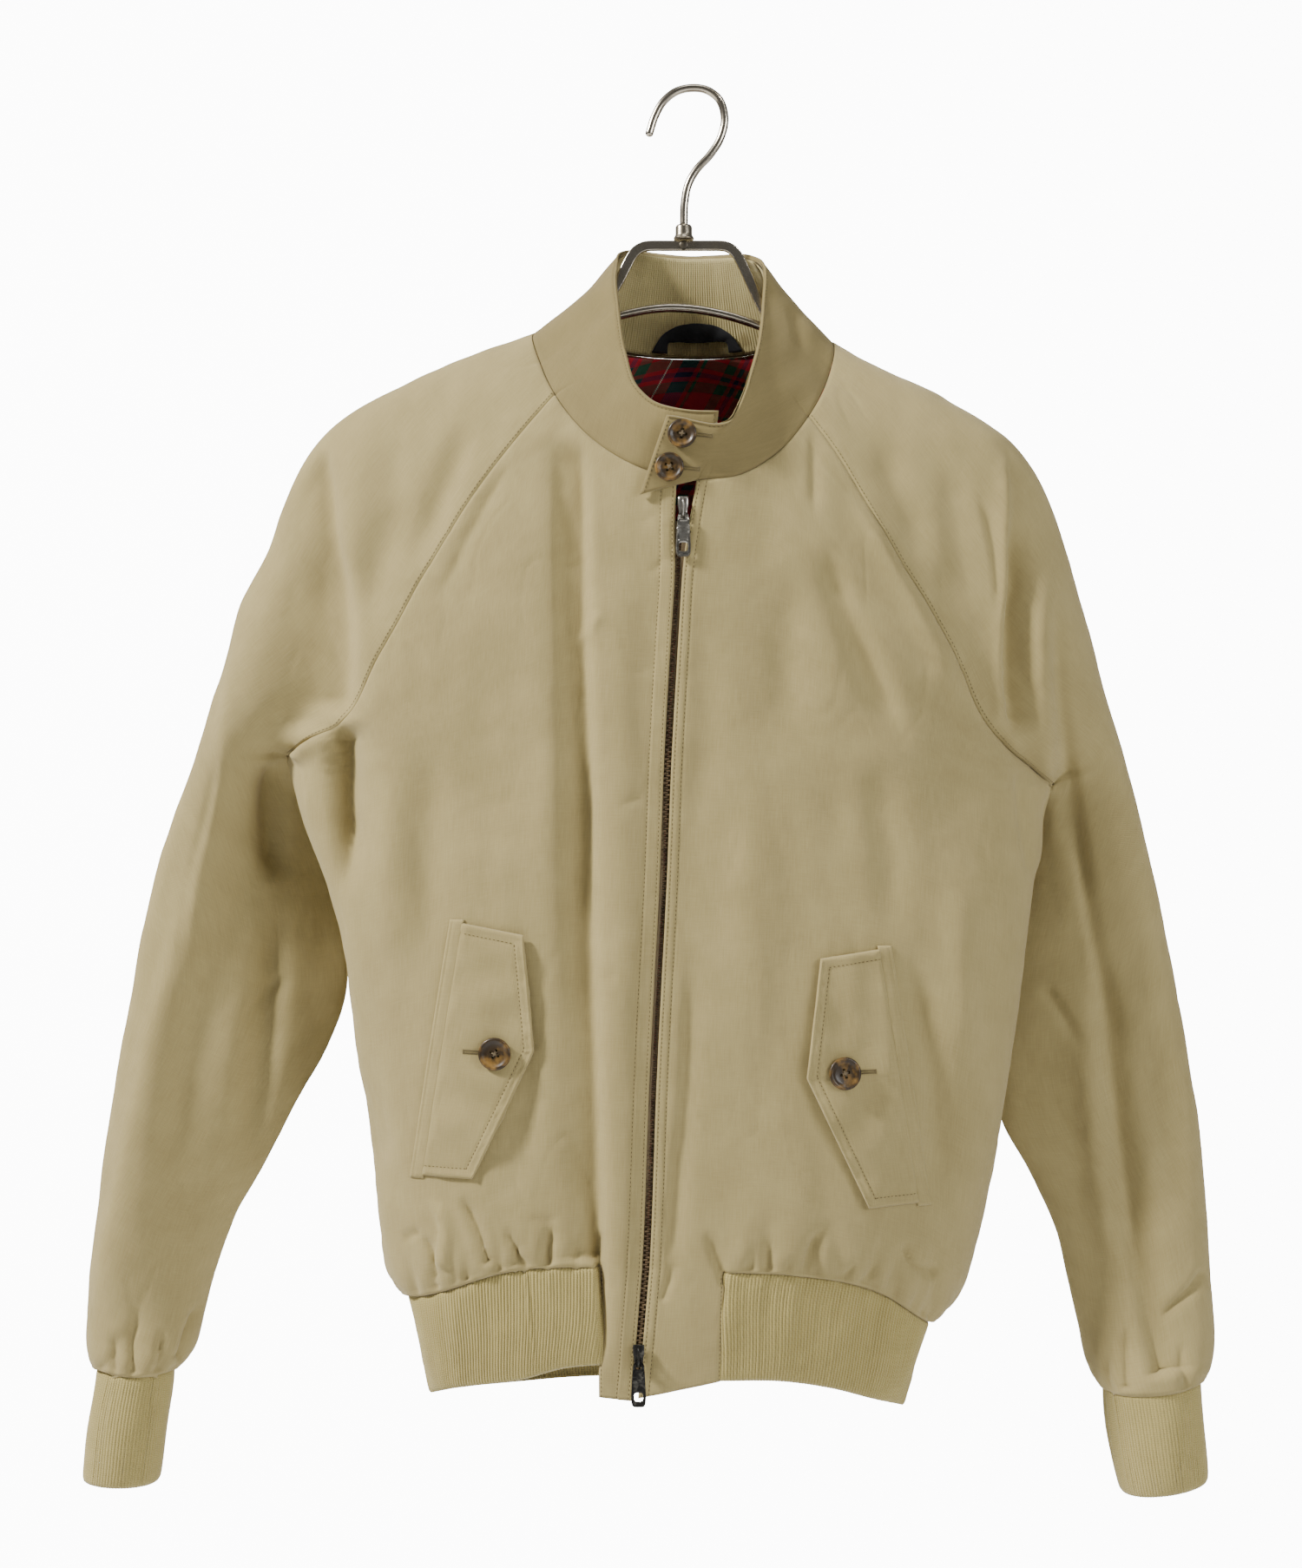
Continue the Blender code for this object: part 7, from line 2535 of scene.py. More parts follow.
@dataclass
class Ribbing:
    """The hem and cuff ribs, hung on the final seams of the shell."""

    pattern: Pattern
    shell: ShellCloth
    hem_pitch: float = 2.0
    cuff_pitch: float = 2.0
    rows: Array = field(
        default_factory=lambda: np.array(
            (0.0, 0.012, 0.04, 0.12, 0.25, 0.4, 0.55, 0.7, 0.83, 0.93, 0.975, 1.0)
        )
    )

    def _hang(self, top: Array, foot: Array, belly: float, seed: int) -> Array:
        """Rows of guide points between a seam and the band's foot.

        Args:
            top: The points of the seam.
            foot: The points of the foot, as many.
            belly: How far the band swells in its middle.
            seed: Which unevenness it has.

        Returns:
            The rows.
        """
        share = self.rows[:, None, None]
        points = top + (foot - top) * share
        out = Panel("band", points, False).normals
        middle = points.mean(axis=(0, 1))
        sign = np.sign(np.sum(out * (points - middle), axis=-1).mean())
        ripples = Ripples(seed, 34.0, (1.0, 1.0, 2.0)).at(points)
        wave = ripples * 0.7 * np.sin(math.pi * self.rows)[:, None] ** 0.7
        swell = belly * np.sin(math.pi * self.rows)[:, None]
        rim = -0.9 * np.exp(-(((1 - self.rows) / 0.02) ** 2)) - 0.9 * np.exp(-((self.rows / 0.012) ** 2))
        return points + out * sign * (wave + swell + rim[:, None])[..., None]

    def build_hem(self, finishes: Finishes) -> bpy.types.Object:
        """Makes the hem rib.

        Args:
            finishes: The materials.

        Returns:
            The piece.
        """
        panels = self.shell.panels
        right = panels["front_right"].points[0, self.shell.strip_count["right"] - 1 :]
        left = panels["front_left"].points[0, self.shell.strip_count["left"] - 1 :]
        back = panels["back"].points[0]
        half = len(back) // 2
        seam = np.concatenate([right, back[1:], left[::-1][1:]])
        foot = self.pattern.rib_foot(len(right) - 1, half, len(left) - 1)
        foot = self._resampled(foot, len(right) - 1, len(back) - 1, half)
        low_back = np.exp(-((foot[:, 0] / 110) ** 4)) * (foot[:, 1] > 0)
        foot = foot + low_back[:, None] * np.array((0, 0, 5.0))
        guides = self._hang(seam, foot, 1.2, 31)
        guides = np.concatenate([self._tucked(guides), guides, self._tucked(guides[:, ::-1])], axis=1)
        band = RibBand("hem", guides, self.hem_pitch, 0.8, 5, flip=False)
        obj = cloth_piece("hem_rib_knit", band.mesh(), finishes.rib, KNIT_WALL, "hem_rib")
        return obj

    @staticmethod
    def _tucked(guides: Array) -> Array:
        """A column that carries the band's end in behind the strip beside it."""
        return guides[:, :1] + unit(guides[:, :1] - guides[:, 3:4]) * 6.0 + np.array((0, 1.8, 0))

    @staticmethod
    def _resampled(foot: Array, right: int, back: int, half: int) -> Array:
        """The foot with its back stretch given the same number of points as the back's seam.

        Args:
            foot: The whole foot.
            right: How many cells the right front has there.
            back: How many the back's seam has.
            half: How many each half of the back's foot has.

        Returns:
            The foot.
        """
        stretch = foot[right : right + 2 * half + 1]
        share = np.linspace(0, 1, back + 1) * (len(stretch) - 1)
        spread = read_between(share, np.arange(len(stretch)), stretch)
        return np.concatenate([foot[:right], spread, foot[right + 2 * half + 1 :]])

    def build_cuff(self, side: Side, finishes: Finishes) -> bpy.types.Object:
        """Makes one cuff.

        Args:
            side: The half of the garment.
            finishes: The materials.

        Returns:
            The piece.
        """
        name = "cuff_" + side.cut.name
        seam = self.shell.panels["sleeve_" + side.cut.name].points[-1]
        end = np.array(side.cut.cuff_end, float)
        outer, under = end[:3], end[3:6]
        w = np.linspace(0, 1, 121)
        front = bezier(under, under - (0, end[6], 0), outer - (0, end[6], 0), outer, w[:61, None] * 2)
        rear = bezier(outer, outer + (0, end[7], 0), under + (0, end[7], 0), under, w[61:, None] * 2 - 1)
        ring = Rail(np.concatenate([front, rear]))
        walked = np.linalg.norm(np.diff(seam, axis=0), axis=1)
        share = np.concatenate([[0], np.cumsum(walked)]) / walked.sum()
        guides = self._hang(seam, ring.share(share), 1.0, 37 + side.sign)
        band = RibBand(name, guides, self.cuff_pitch, 0.6, 5, flip=side.sign < 0, closed=True)
        obj = cloth_piece(name + "_knit", band.mesh(), finishes.rib, KNIT_WALL, name)
        return obj


# ---------------------------------------------------------------------------------------------
# Small shapes: bars swept along a path, turned shapes, stitches.


def rounded(wave: Array, power: float) -> Array:
    """A sine or cosine, made squarer by a power below 1."""
    return np.sign(wave) * np.abs(wave) ** power


def oval(a: float, b: float, sides: int = 16, power: float = 2.0) -> Array:
    """A bar's section: an ellipse, or with a higher power a rectangle of rounded corners.

    Args:
        a: Its half size along the first offset.
        b: Its half size along the second.
        sides: How many points it has.
        power: How square it is; an ellipse has 2.

    Returns:
        The offsets of its points.
    """
    turn = np.arange(sides) * 2 * math.pi / sides + math.pi / sides
    c, s = np.cos(turn), np.sin(turn)
    return np.stack([a * rounded(c, 2 / power), b * rounded(s, 2 / power)], axis=-1)


def bar_mesh(
    name: str, path: Array, section: Array, bulge: float = 0.3, up: Spot = (0.0, 1.0, 0.0),
    scale: Array | float = 1.0
) -> bpy.types.Mesh:
    """A solid bar with softly closed ends.

    Args:
        name: The mesh's name.
        path: The line through its middle.
        section: Its section's offsets along up and across it.
        bulge: How far the ends stand out, as a share of the section's reach.
        up: The way the section's first offset points.
        scale: The section's size along the path.

    Returns:
        The mesh.
    """
    path = np.asarray(path, float)
    ahead = unit(np.gradient(path, axis=0))
    turns = np.radians((90, 72, 50, 25))
    reach = bulge * np.abs(section).max() * np.sin(turns)[:, None]
    size = np.full(len(path), 1.0) * scale
    size = np.concatenate([np.cos(turns) * size[0], size, np.cos(turns[::-1]) * size[-1]])
    path = np.concatenate([path[0] - ahead[0] * reach, path, path[-1] + ahead[-1] * reach[::-1]])
    ahead = np.concatenate([np.repeat(ahead[:1], 4, axis=0), ahead, np.repeat(ahead[-1:], 4, axis=0)])
    across = unit(np.cross(ahead, np.array(up)))
    upward = np.cross(across, ahead)
    ring = section[None, :, :] * size[:, None, None]
    points = path[:, None] + ring[..., :1] * upward[:, None] + ring[..., 1:] * across[:, None]
    return grid_mesh(name, np.concatenate([points, points[:, :1]], axis=1), closed=True, merge=0.004)


def place_at(point: Array, ahead: Array, out: Array, size: Spot = (1.0, 1.0, 1.0)) -> Matrix:
    """A placing matrix in metres: X along ahead, Z along out.

    Args:
        point: Where it goes, in the tables' millimetres.
        ahead: The way of its X.
        out: The way of its Z.
        size: Its size along each axis in mm.

    Returns:
        The matrix.
    """
    z = unit(out)
    x = unit(ahead - z * np.sum(ahead * z))
    y = np.cross(z, x)
    matrix = np.eye(4)
    matrix[:3, 0], matrix[:3, 1], matrix[:3, 2] = (axis * s * MM for axis, s in zip((x, y, z), size))
    matrix[:3, 3] = metres(point)
    return Matrix(matrix.tolist())


def turned_mesh(
    name: str, profile: Sequence[Sequence[float]], place: Matrix, steps: int = 32
) -> bpy.types.Mesh:
    """A profile of radius and height spun once round its axis.

    Args:
        name: The mesh's name.
        profile: Its radii and heights in mm.
        place: Where it goes.
        steps: How many steps the turn has.

    Returns:
        The mesh.
    """
    bm = bmesh.new()
    verts = [bm.verts.new((radius, 0.0, height)) for radius, height in profile]
    edges = [bm.edges.new(pair) for pair in zip(verts, verts[1:])]
    bmesh.ops.spin(
        bm, geom=verts + edges, cent=(0, 0, 0), axis=(0, 0, 1), angle=2 * math.pi, steps=steps, use_merge=True
    )
    bmesh.ops.remove_doubles(bm, verts=bm.verts, dist=0.002)
    bmesh.ops.recalc_face_normals(bm, faces=bm.faces)
    bmesh.ops.transform(bm, matrix=place, verts=bm.verts)
    return finished_mesh(bm, name)


class Seamwork:
    """Stitches gathered into one mesh."""

    def __init__(self, seed: int) -> None:
        """Starts empty."""
        self.bm = bmesh.new()
        self.rng = np.random.default_rng(seed)

    def one(self, point: Array, ahead: Array, out: Array, length: float, thick: float) -> None:
        """One stitch: a small bead drawn long.

        Args:
            point: Its middle.
            ahead: The way it runs.
            out: The way the cloth looks.
            length: Its length in mm.
            thick: Its thickness in mm.
        """
        slant = np.cross(out, ahead) * self.rng.normal() * 0.06
        size = (length / 2, thick / 2, thick * 0.42)
        bmesh.ops.create_icosphere(
            self.bm, subdivisions=1, radius=1.0, matrix=place_at(point, ahead + slant, out, size)
        )

    def run(
        self, points: Array, normals: Array, pitch: float = 2.6, length: float = 1.8, thick: float = 0.62
    ) -> None:
        """A row of stitches along a line on the cloth.

        Args:
            points: The line.
            normals: The way the cloth looks along it.
            pitch: The distance from stitch to stitch.
            length: The length of a stitch.
            thick: Its thickness.
        """
        walked = walk_along(points)
        ahead = unit(np.gradient(points, axis=0))
        for spot in np.arange(pitch / 2, walked[-1], pitch):
            point, along, out = (read_between(spot, walked, rows) for rows in (points, ahead, normals))
            self.one(point + out * thick * 0.12, along, out, length * self.rng.uniform(0.92, 1.06), thick)

    def buttonhole(self, start: Array, end: Array, out: Array, width: float = 1.5) -> None:
        """A worked buttonhole: two close rows of stitches across and a bar at its far end.

        Args:
            start: Where it starts.
            end: Where it ends.
            out: The way the cloth looks.
            width: The width of its stitches.
        """
        ahead = unit(end - start)
        side = np.cross(out, ahead)
        count = max(4, round(float(np.linalg.norm(end - start)) / 0.5))
        for k in range(count + 1):
            middle = start + (end - start) * k / count
            for sign in (-1, 1):
                self.one(middle + side * sign * width * 0.52 + out * 0.12, side, out, width * 0.95, 0.5)
        for k in range(5):
            self.one(
                end + ahead * 0.5 + side * (k - 2) * 0.45 * width / 1.2 + out * 0.15, ahead, out, 1.5, 0.55
            )

    def build(self, name: str, finish: bpy.types.Material, slot: str) -> bpy.types.Object:
        """Makes the piece."""
        return dress(add_piece(name, finished_mesh(self.bm, name), [finish]))


class Ground:
    """The cloth that a trim lies on, found by looking along Y from in front."""

    def __init__(self, *grids: Array) -> None:
        """Takes grids of points."""
        points, faces = [], []
        for grid in grids:
            rows, columns = grid.shape[:2]
            index = np.arange(rows * columns).reshape(rows, columns) + len(points)
            points += grid.reshape(-1, 3).tolist()
            cells = (index[:-1, :-1], index[:-1, 1:], index[1:, 1:], index[1:, :-1])
            faces += np.stack(cells, axis=-1).reshape(-1, 4).tolist()
        self.tree = BVHTree.FromPolygons(points, faces)

    def _look(self, x: float, z: float) -> tuple[Array, Array] | None:
        """The point at X and Z and the way that its face looks, or None beside the cloth."""
        hit, normal, _, _ = self.tree.ray_cast(Vector((x, -300.0, z)), Vector((0.0, 1.0, 0.0)))
        return None if hit is None else (np.array(hit), np.array(normal if normal.y < 0 else -normal))

    def at(self, x: float, z: float) -> tuple[Array, Array]:
        """What lies at X and Z, where there has to be cloth.

        Args:
            x: The X in mm.
            z: The Z in mm.

        Returns:
            The point, and the way that its face looks.
        """
        found = self._look(x, z)
        if found is None:
            raise ValueError(f"no cloth at {x:.1f}, {z:.1f}")
        return found

    def follow(self, spots: Array) -> tuple[Array, Array]:
        """Points and normals under a line of X and Z places, without those beside the cloth.

        Args:
            spots: X and Z of each place.

        Returns:
            The points and their normals.
        """
        looks = (self._look(x, z) for x, z in spots)
        found = [look for look in looks if look is not None]
        return np.array([point for point, _ in found]), np.array([out for _, out in found])

    def depths(self, x: Array, z: Array) -> Array:
        """The Y of the cloth at many places."""
        return np.array([self.at(a, b)[0][1] for a, b in zip(x.ravel(), z.ravel())]).reshape(x.shape)


# ---------------------------------------------------------------------------------------------
# Pocket flaps and buttons.


@dataclass(frozen=True)
class FlapCut:
    """A pocket flap as it hangs: X and Z down its sewn side and down its free side, and its button."""

    name: str
    seam: tuple[tuple[float, float], ...]
    free: tuple[tuple[float, float], ...]
    button: tuple[float, float]


RIGHT_FLAP = FlapCut(
    "right", ((-137.7, -523.8), (-144, -563), (-150.4, -601.5), (-156.6, -640), (-163.1, -679.4)),
    ((-99.7, -530.9), (-96.2, -566), (-93.3, -601.5), (-112, -641), (-131.1, -679.9)), (-116.9, -602.9),
)
LEFT_FLAP = FlapCut(
    "left", ((116.6, -539.7), (123, -579), (129.3, -618), (135.9, -657.5), (142.4, -696.9)),
    ((80.1, -545.1), (75.8, -581.5), (71.6, -617.6), (91, -658), (110.4, -698.3)), (94.6, -615.0),
)


# The welt's section: distances from the flap's seam and heights over the front, in mm.
WELT_SECTION = (
    (-1.2, 0.8), (-0.2, 1.15), (0.5, 1.2), (1.0, 1.2), (2.4, 1.25), (3.8, 1.2),
    (5.0, 1.0), (5.6, 0.7), (6.2, 1.0), (6.8, 0.85), (7.1, 0.3), (7.2, -0.4),
)


@dataclass
class PocketFlap:
    """A five-sided flap with its welt, stitched border and button."""

    cut: FlapCut
    ground: Ground
    wall: float = 1.4
    border: float = 6.2
    lift: float = 3.4
    pucker_line: float = 3.4
    row_pitch: float = 1.5
    welt_wall: float = 0.5
    columns: int = 46
    rows: int = 104

    def _outline(self) -> tuple[Array, Array]:
        """X and Z of the whole grid, its rows from the top to the foot.

        Returns:
            The X and the Z of each point.
        """
        knots = np.linspace(0, 1, 5)
        down = np.unique(np.concatenate([np.linspace(0, 1, self.rows), 0.5 + np.array((-0.006, 0.006))]))
        over = np.linspace(0, 1, self.columns)
        over = over + 0.07 * np.sin(2 * math.pi * over) * -1
        seam, free = (
            read_between(down, knots, np.array(line)) for line in (self.cut.seam, self.cut.free)
        )
        grid = seam[:, None] + (free - seam)[:, None] * over[None, :, None]
        return grid[..., 0], grid[..., 1]

    def _corners(self) -> list[Array]:
        """The corners of the free outline, from the top of the sewn side round to its foot."""
        seam, free = self.cut.seam, self.cut.free
        return [np.array(corner) for corner in (seam[0], free[0], free[2], free[-1], seam[-1])]

    def _rim(self, x: Array, z: Array) -> Array:
        """Distance of each point from the free outline: top, free side and foot.

        Args:
            x: The X of each point.
            z: The Z of each point.

        Returns:
            The distances in mm.
        """
        corners = self._corners()
        spots = np.stack([x, z], axis=-1)
        rim = np.full(x.shape, np.inf)
        for start, end in zip(corners, corners[1:]):
            run = end - start
            t = np.clip((spots - start) @ run / (run @ run), 0, 1)
            rim = np.minimum(rim, np.linalg.norm(spots - start - t[..., None] * run, axis=-1))
        return rim

    def build(self, finishes: Finishes, stitches: Seamwork) -> Ground:
        """Makes the flap and returns it as ground for its button.

        Args:
            finishes: The materials.
            stitches: Takes the flap's stitches.

        Returns:
            The flap's own cloth.
        """
        x, z = self._outline()
        under = self.ground.depths(x, z)
        eased = soften(soften(under[..., None], 7.0).transpose(1, 0, 2), 5.0).transpose(1, 0, 2)[..., 0]
        rim, sewn = self._rim(x, z), np.hypot(x - x[:, :1], z - z[:, :1])
        width = np.maximum(sewn[:, -1:], 1e-3)
        down = np.linspace(0, 1, len(x))[:, None]
        stand = 1.0 + self.lift * smooth(sewn / width) ** 1.5 * (0.35 + 0.65 * np.sin(math.pi * down))
        y = np.minimum(eased - stand, under - 0.9) - self.wall
        away = np.hypot(x - self.cut.button[0], z - self.cut.button[1])
        y += 1.1 * np.exp(-((away / 15) ** 2))
        folds = self._folds(np.stack([x, y, z], axis=-1), rim, sewn)
        points = np.stack([x, y - folds, z], axis=-1)[::-1]
        panel = Panel("flap_" + self.cut.name, points, x[0, 0] > x[0, -1])
        name = panel.name
        obj = cloth_piece(name + "_cloth", panel.mesh(), finishes.poplin, self.wall, name)
        self._welt(finishes)
        self._stitch(panel, stitches)
        return Ground(points)

    def _folds(self, spots: Array, rim: Array, sewn: Array) -> Array:
        """The heights of its border, its puckers and the groove along its sewn side.

        Args:
            spots: Its points before they are moved.
            rim: How far each is from the free outline.
            sewn: How far each is from the sewn side.

        Returns:
            The height at each point.
        """
        seed = 3 if spots[0, 0, 0] < 0 else 9
        folds = 0.42 * smooth(rim / 1.3) * smooth((self.border + 1 - rim) / 2) + 0.5 * dip(rim, 0.9, 0.8)
        folds -= 1.0 * np.exp(-((rim / 0.5) ** 2)) + 0.5 * dip(rim, self.border, 0.8)
        along = np.cumsum(np.full(rim.shape, self.row_pitch), axis=0)
        puckers = FLAP_PUCKERS.at(along, np.abs(rim - self.pucker_line) * 1.6, seed)
        folds += puckers * smooth(rim / 1.4)
        folds += 0.5 * Ripples(seed + 40, 24.0).at(spots) * smooth(sewn / 6)
        return folds - 0.9 * np.exp(-sewn / 1.2)

    def _welt(self, finishes: Finishes) -> None:
        """The narrow welt beside the flap's sewn side.

        Args:
            finishes: The materials.
        """
        sign = np.sign(self.cut.seam[0][0] - self.cut.free[0][0])
        knots, down = np.array(self.cut.seam), np.linspace(-0.012, 1.012, 110)
        line = knots[0] + (knots[-1] - knots[0]) * down[:, None]
        over, rise = np.array(WELT_SECTION).T
        x = line[:, :1] + sign * over
        z = np.repeat(line[:, 1:], len(over), axis=1)
        ends = smooth(np.minimum(down + 0.012, 1.012 - down) / 0.01)[:, None]
        y = self.ground.depths(x, z) - rise * (0.25 + 0.75 * ends)
        panel = Panel("welt_" + self.cut.name, np.stack([x, y, z], axis=-1)[::-1], sign > 0)
        obj = cloth_piece(panel.name + "_cloth", panel.mesh(), finishes.poplin, self.welt_wall)

    def _stitch(self, panel: Panel, stitches: Seamwork) -> None:
        """The border's stitches, and those of the welt beside the flap.

        Args:
            panel: The flap.
            stitches: Takes the stitches.
        """
        inner = self._inset(self.border)
        tree = Ground(panel.points)
        for start, end in zip(inner, inner[1:]):
            count = max(3, int(np.linalg.norm(end - start) / 2))
            spots = start + (end - start) * np.linspace(0, 1, count)[:, None]
            stitches.run(*tree.follow(spots))
        sign = np.sign(self.cut.seam[0][0] - self.cut.free[0][0])
        line = np.array(self.cut.seam) + np.array((sign * 5.6, 1.0))
        spots = line[0] + (line[-1] - line[0]) * np.linspace(0, 1, 70)[:, None]
        stitches.run(*self.ground.follow(spots))
        x, z = self.cut.button
        run = np.array([tree.at(x + sign * reach, z + 0.05 * reach)[0] for reach in (9.0, 19.0)])
        stitches.buttonhole(run[0], run[1], tree.at(x + sign * 14, z)[1])

    def _inset(self, depth: float) -> list[Array]:
        """Corners of the line that runs a depth inside the free outline.

        Args:
            depth: The depth in mm.

        Returns:
            The corners, X and Z.
        """
        corners = self._corners()
        middle = np.mean(corners, axis=0)
        lines = []
        for start, end in zip(corners, corners[1:]):
            run = unit(end - start)
            side = np.array((-run[1], run[0]))
            side = side * np.sign(side @ (middle - start))
            lines.append((start + side * depth, run))
        spots = [lines[0][0]]
        for (p, r), (q, s) in zip(lines, lines[1:]):
            t = np.linalg.solve(np.stack([r, -s], axis=1), q - p)[0]
            spots.append(p + r * t)
        return spots + [corners[-1] + (lines[-1][0] - corners[-2])]


# A button's section from under its middle round its rim to its dish: shares of the radius and heights.
BUTTON_PROFILE = (
    (0, 0.5), (0.78, 0.5), (0.93, 1.1), (1, 1.95), (0.995, 2.7), (0.955, 3.25), (0.89, 3.5),
    (0.82, 3.4), (0.74, 2.95), (0.66, 2.45), (0.56, 2.2), (0.3, 2.12), (0, 2.1),
)


@dataclass(frozen=True)
class ButtonCut:
    """A dished four-hole button."""

    node: str
    x: float
    z: float
    diameter: float
    hole_spread: float = 1.65
    hole_radius: float = 0.95

    def build(self, ground: Ground, finishes: Finishes, threads: Seamwork, turn: float) -> None:
        """Makes the button, its holes and its thread, on what it is sewn to.

        Args:
            ground: What it is sewn to.
            finishes: The materials.
            threads: Takes its thread.
            turn: How far its holes are turned, in radians.
        """
        point = ground.at(self.x, self.z)[0]
        radius = self.diameter / 2
        ways = [ground.at(self.x + 4 * math.cos(a), self.z + 4 * math.sin(a))[1] for a in range(6)]
        normal = unit(unit(sum(ways)))
        seat, reach = 0.0, 0.8 * radius
        for angle in np.linspace(0, 2 * math.pi, 13)[:-1]:
            probe = ground.at(self.x + reach * math.cos(angle), self.z + reach * math.sin(angle))[0]
            seat = max(seat, float((probe - point) @ normal))
        point = point + normal * seat
        side = np.array((math.cos(turn), 0.0, math.sin(turn)))
        base = place_at(point, side, normal)
        profile = [(radius * share, height) for share, height in BUTTON_PROFILE]
        disc = add_piece(self.node + "_disc", turned_mesh(self.node, profile, base, 48), [finishes.button])
        across = np.cross(normal, unit(side - normal * (side @ normal)))
        ahead = np.cross(across, normal)
        bm = bmesh.new()
        spots = ((1, 1), (-1, 1), (-1, -1), (1, -1))
        holes = [point + (ahead * a + across * b) * self.hole_spread for a, b in spots]
        for hole in holes:
            place = place_at(hole + normal * 1.5, ahead, normal)
            wide = self.hole_radius
            bmesh.ops.create_cone(
                bm, cap_ends=True, segments=14, radius1=wide, radius2=wide, depth=8.0, matrix=place
            )
        cutter = add_piece("holes", finished_mesh(bm, "holes", smooth_shaded=False), [finishes.button])
        cut = disc.modifiers.new("holes", "BOOLEAN")
        cut.operation, cut.solver, cut.object = "DIFFERENCE", "EXACT", cutter
        drilled = bpy.data.meshes.new_from_object(disc.evaluated_get(bpy.context.evaluated_depsgraph_get()))
        disc.modifiers.clear()
        disc.data = drilled
        bpy.data.objects.remove(cutter)
        drilled.shade_smooth()
        drilled.set_sharp_from_angle(angle=math.radians(50))
        dress(disc, self.node)
        for start, end in ((0, 2), (1, 3)):
            for shift in (-0.35, 0.0, 0.35):
                line = holes[end] - holes[start]
                beside = np.cross(normal, unit(line)) * shift
                middle = (holes[start] + holes[end]) / 2 + normal * (2.45 + 0.2 * start) + beside
                threads.one(middle, line, normal, 4.8, 0.42)


# ---------------------------------------------------------------------------------------------
# The zip.


@dataclass(frozen=True)
class SliderCut:
    """A zip slider: its height, half width, length, and the Y of its face and back."""

    name: str
    z: float
    half: float
    length: float
    face: float
    back: float
    bail_rise: float = 5.2
    bail_drop: float = 2.1
    bail_stand: float = 2.5


@dataclass(frozen=True)
class TabHole:
    """A rounded hole in a pull tab: the Z of its middle from the pin, and its half sizes."""

    name: str
    z: float
    half_width: float
    half_height: float


@dataclass(frozen=True)
class TabCut:
    """A pull tab: a long plate with a raised rim, an eye for the bail and a window.

    It is made in two halves that meet at ``split``. ``section`` runs from the plate's rim in to a
    hole and back, as shares of that way and heights over the plate's middle.
    """

    length: float = 27.0
    eye_half: float = 3.5
    foot_half: float = 4.9
    split: float = -9.0
    split_share: float = 1 / 3
    flat_reach: float = 3.97
    plate_power: float = 0.42
    hole_power: float = 0.6
    face: float = 0.25
    back: float = -0.5
    bend: float = 2.35
    holes: tuple[TabHole, ...] = (TabHole("window", -20.6, 2.7, 2.7), TabHole("eye", -2.15, 1.6, 1.7))
    section: tuple[tuple[float, float], ...] = (
        (0.0, -0.25), (0.0, 0.4), (0.06, 0.9), (0.2, 0.9), (0.3, 0.25), (0.72, 0.25), (0.8, 0.7),
        (0.94, 0.7), (1.0, 0.35), (1.0, -0.25), (0.9, -0.5), (0.1, -0.5), (0.0, -0.25),
    )

    def _outline(self, c: Array, s: Array) -> tuple[Array, Array]:
        """The plate's outline.

        Args:
            c: The cosine of each step round it.
            s: The sine of each step.

        Returns:
            Its X and its Z, from the pin.
        """
        middle, reach = -0.5 * self.length + 0.4, 0.5 * self.length + 0.1
        z = middle + reach * rounded(s, self.plate_power)
        half = lerp(self.eye_half, self.foot_half, np.clip(-z / self.length, 0, 1))
        return half * rounded(c, self.plate_power), z

    def parts(self, pin: Array) -> list[bpy.types.Mesh]:
        """The two halves of the plate.

        Args:
            pin: Where the tab hangs from.

        Returns:
            Their meshes, each with its hole.
        """
        turn = np.linspace(0, 2 * math.pi, 97)
        c, s = np.cos(turn), np.sin(turn)
        outer_x, outer_z = self._outline(c, s)
        split_half = lerp(self.eye_half, self.foot_half, self.split_share)
        made = []
        for hole in self.holes:
            edge_z = (np.minimum if hole.z < self.split else np.maximum)(outer_z, self.split)
            divided = np.abs(edge_z - outer_z) > 1e-6
            edge_x = np.where(divided, np.clip(c * 8.0, -1, 1) * split_half, outer_x)
            rim = np.stack([edge_x, edge_z], axis=-1)
            inner_x = hole.half_width * rounded(c, self.hole_power)
            inner_z = hole.z + hole.half_height * rounded(s, self.hole_power)
            met = divided * smooth((self.flat_reach - np.abs(edge_x)) / 0.9)
            rows = self._rows(pin, rim, np.stack([inner_x, inner_z], axis=-1), met)
            made.append(grid_mesh(hole.name, rows, True, closed=True, merge=0.004))
        return made

    def _rows(self, pin: Array, rim: Array, hole: Array, met: Array) -> Array:
        """The section's points all round one half.

        Args:
            pin: Where the tab hangs from.
            rim: X and Z round its outline.
            hole: X and Z round its hole.
            met: How much of the rim's height is left off, where the two halves meet.

        Returns:
            Rows of points.
        """
        rows = []
        for share, rise in self.section:
            flat = rim + (hole - rim) * share
            level = self.face if rise > 0 else self.back
            height = rise + (level - rise) * met * float(smooth((0.72 - share) / 0.1))
            bend = -self.bend * smooth((-flat[:, 1] - 0.6) / 3.6)
            rows.append(pin + np.stack([flat[:, 0], bend - height, flat[:, 1]], axis=-1))
        return np.array(rows)


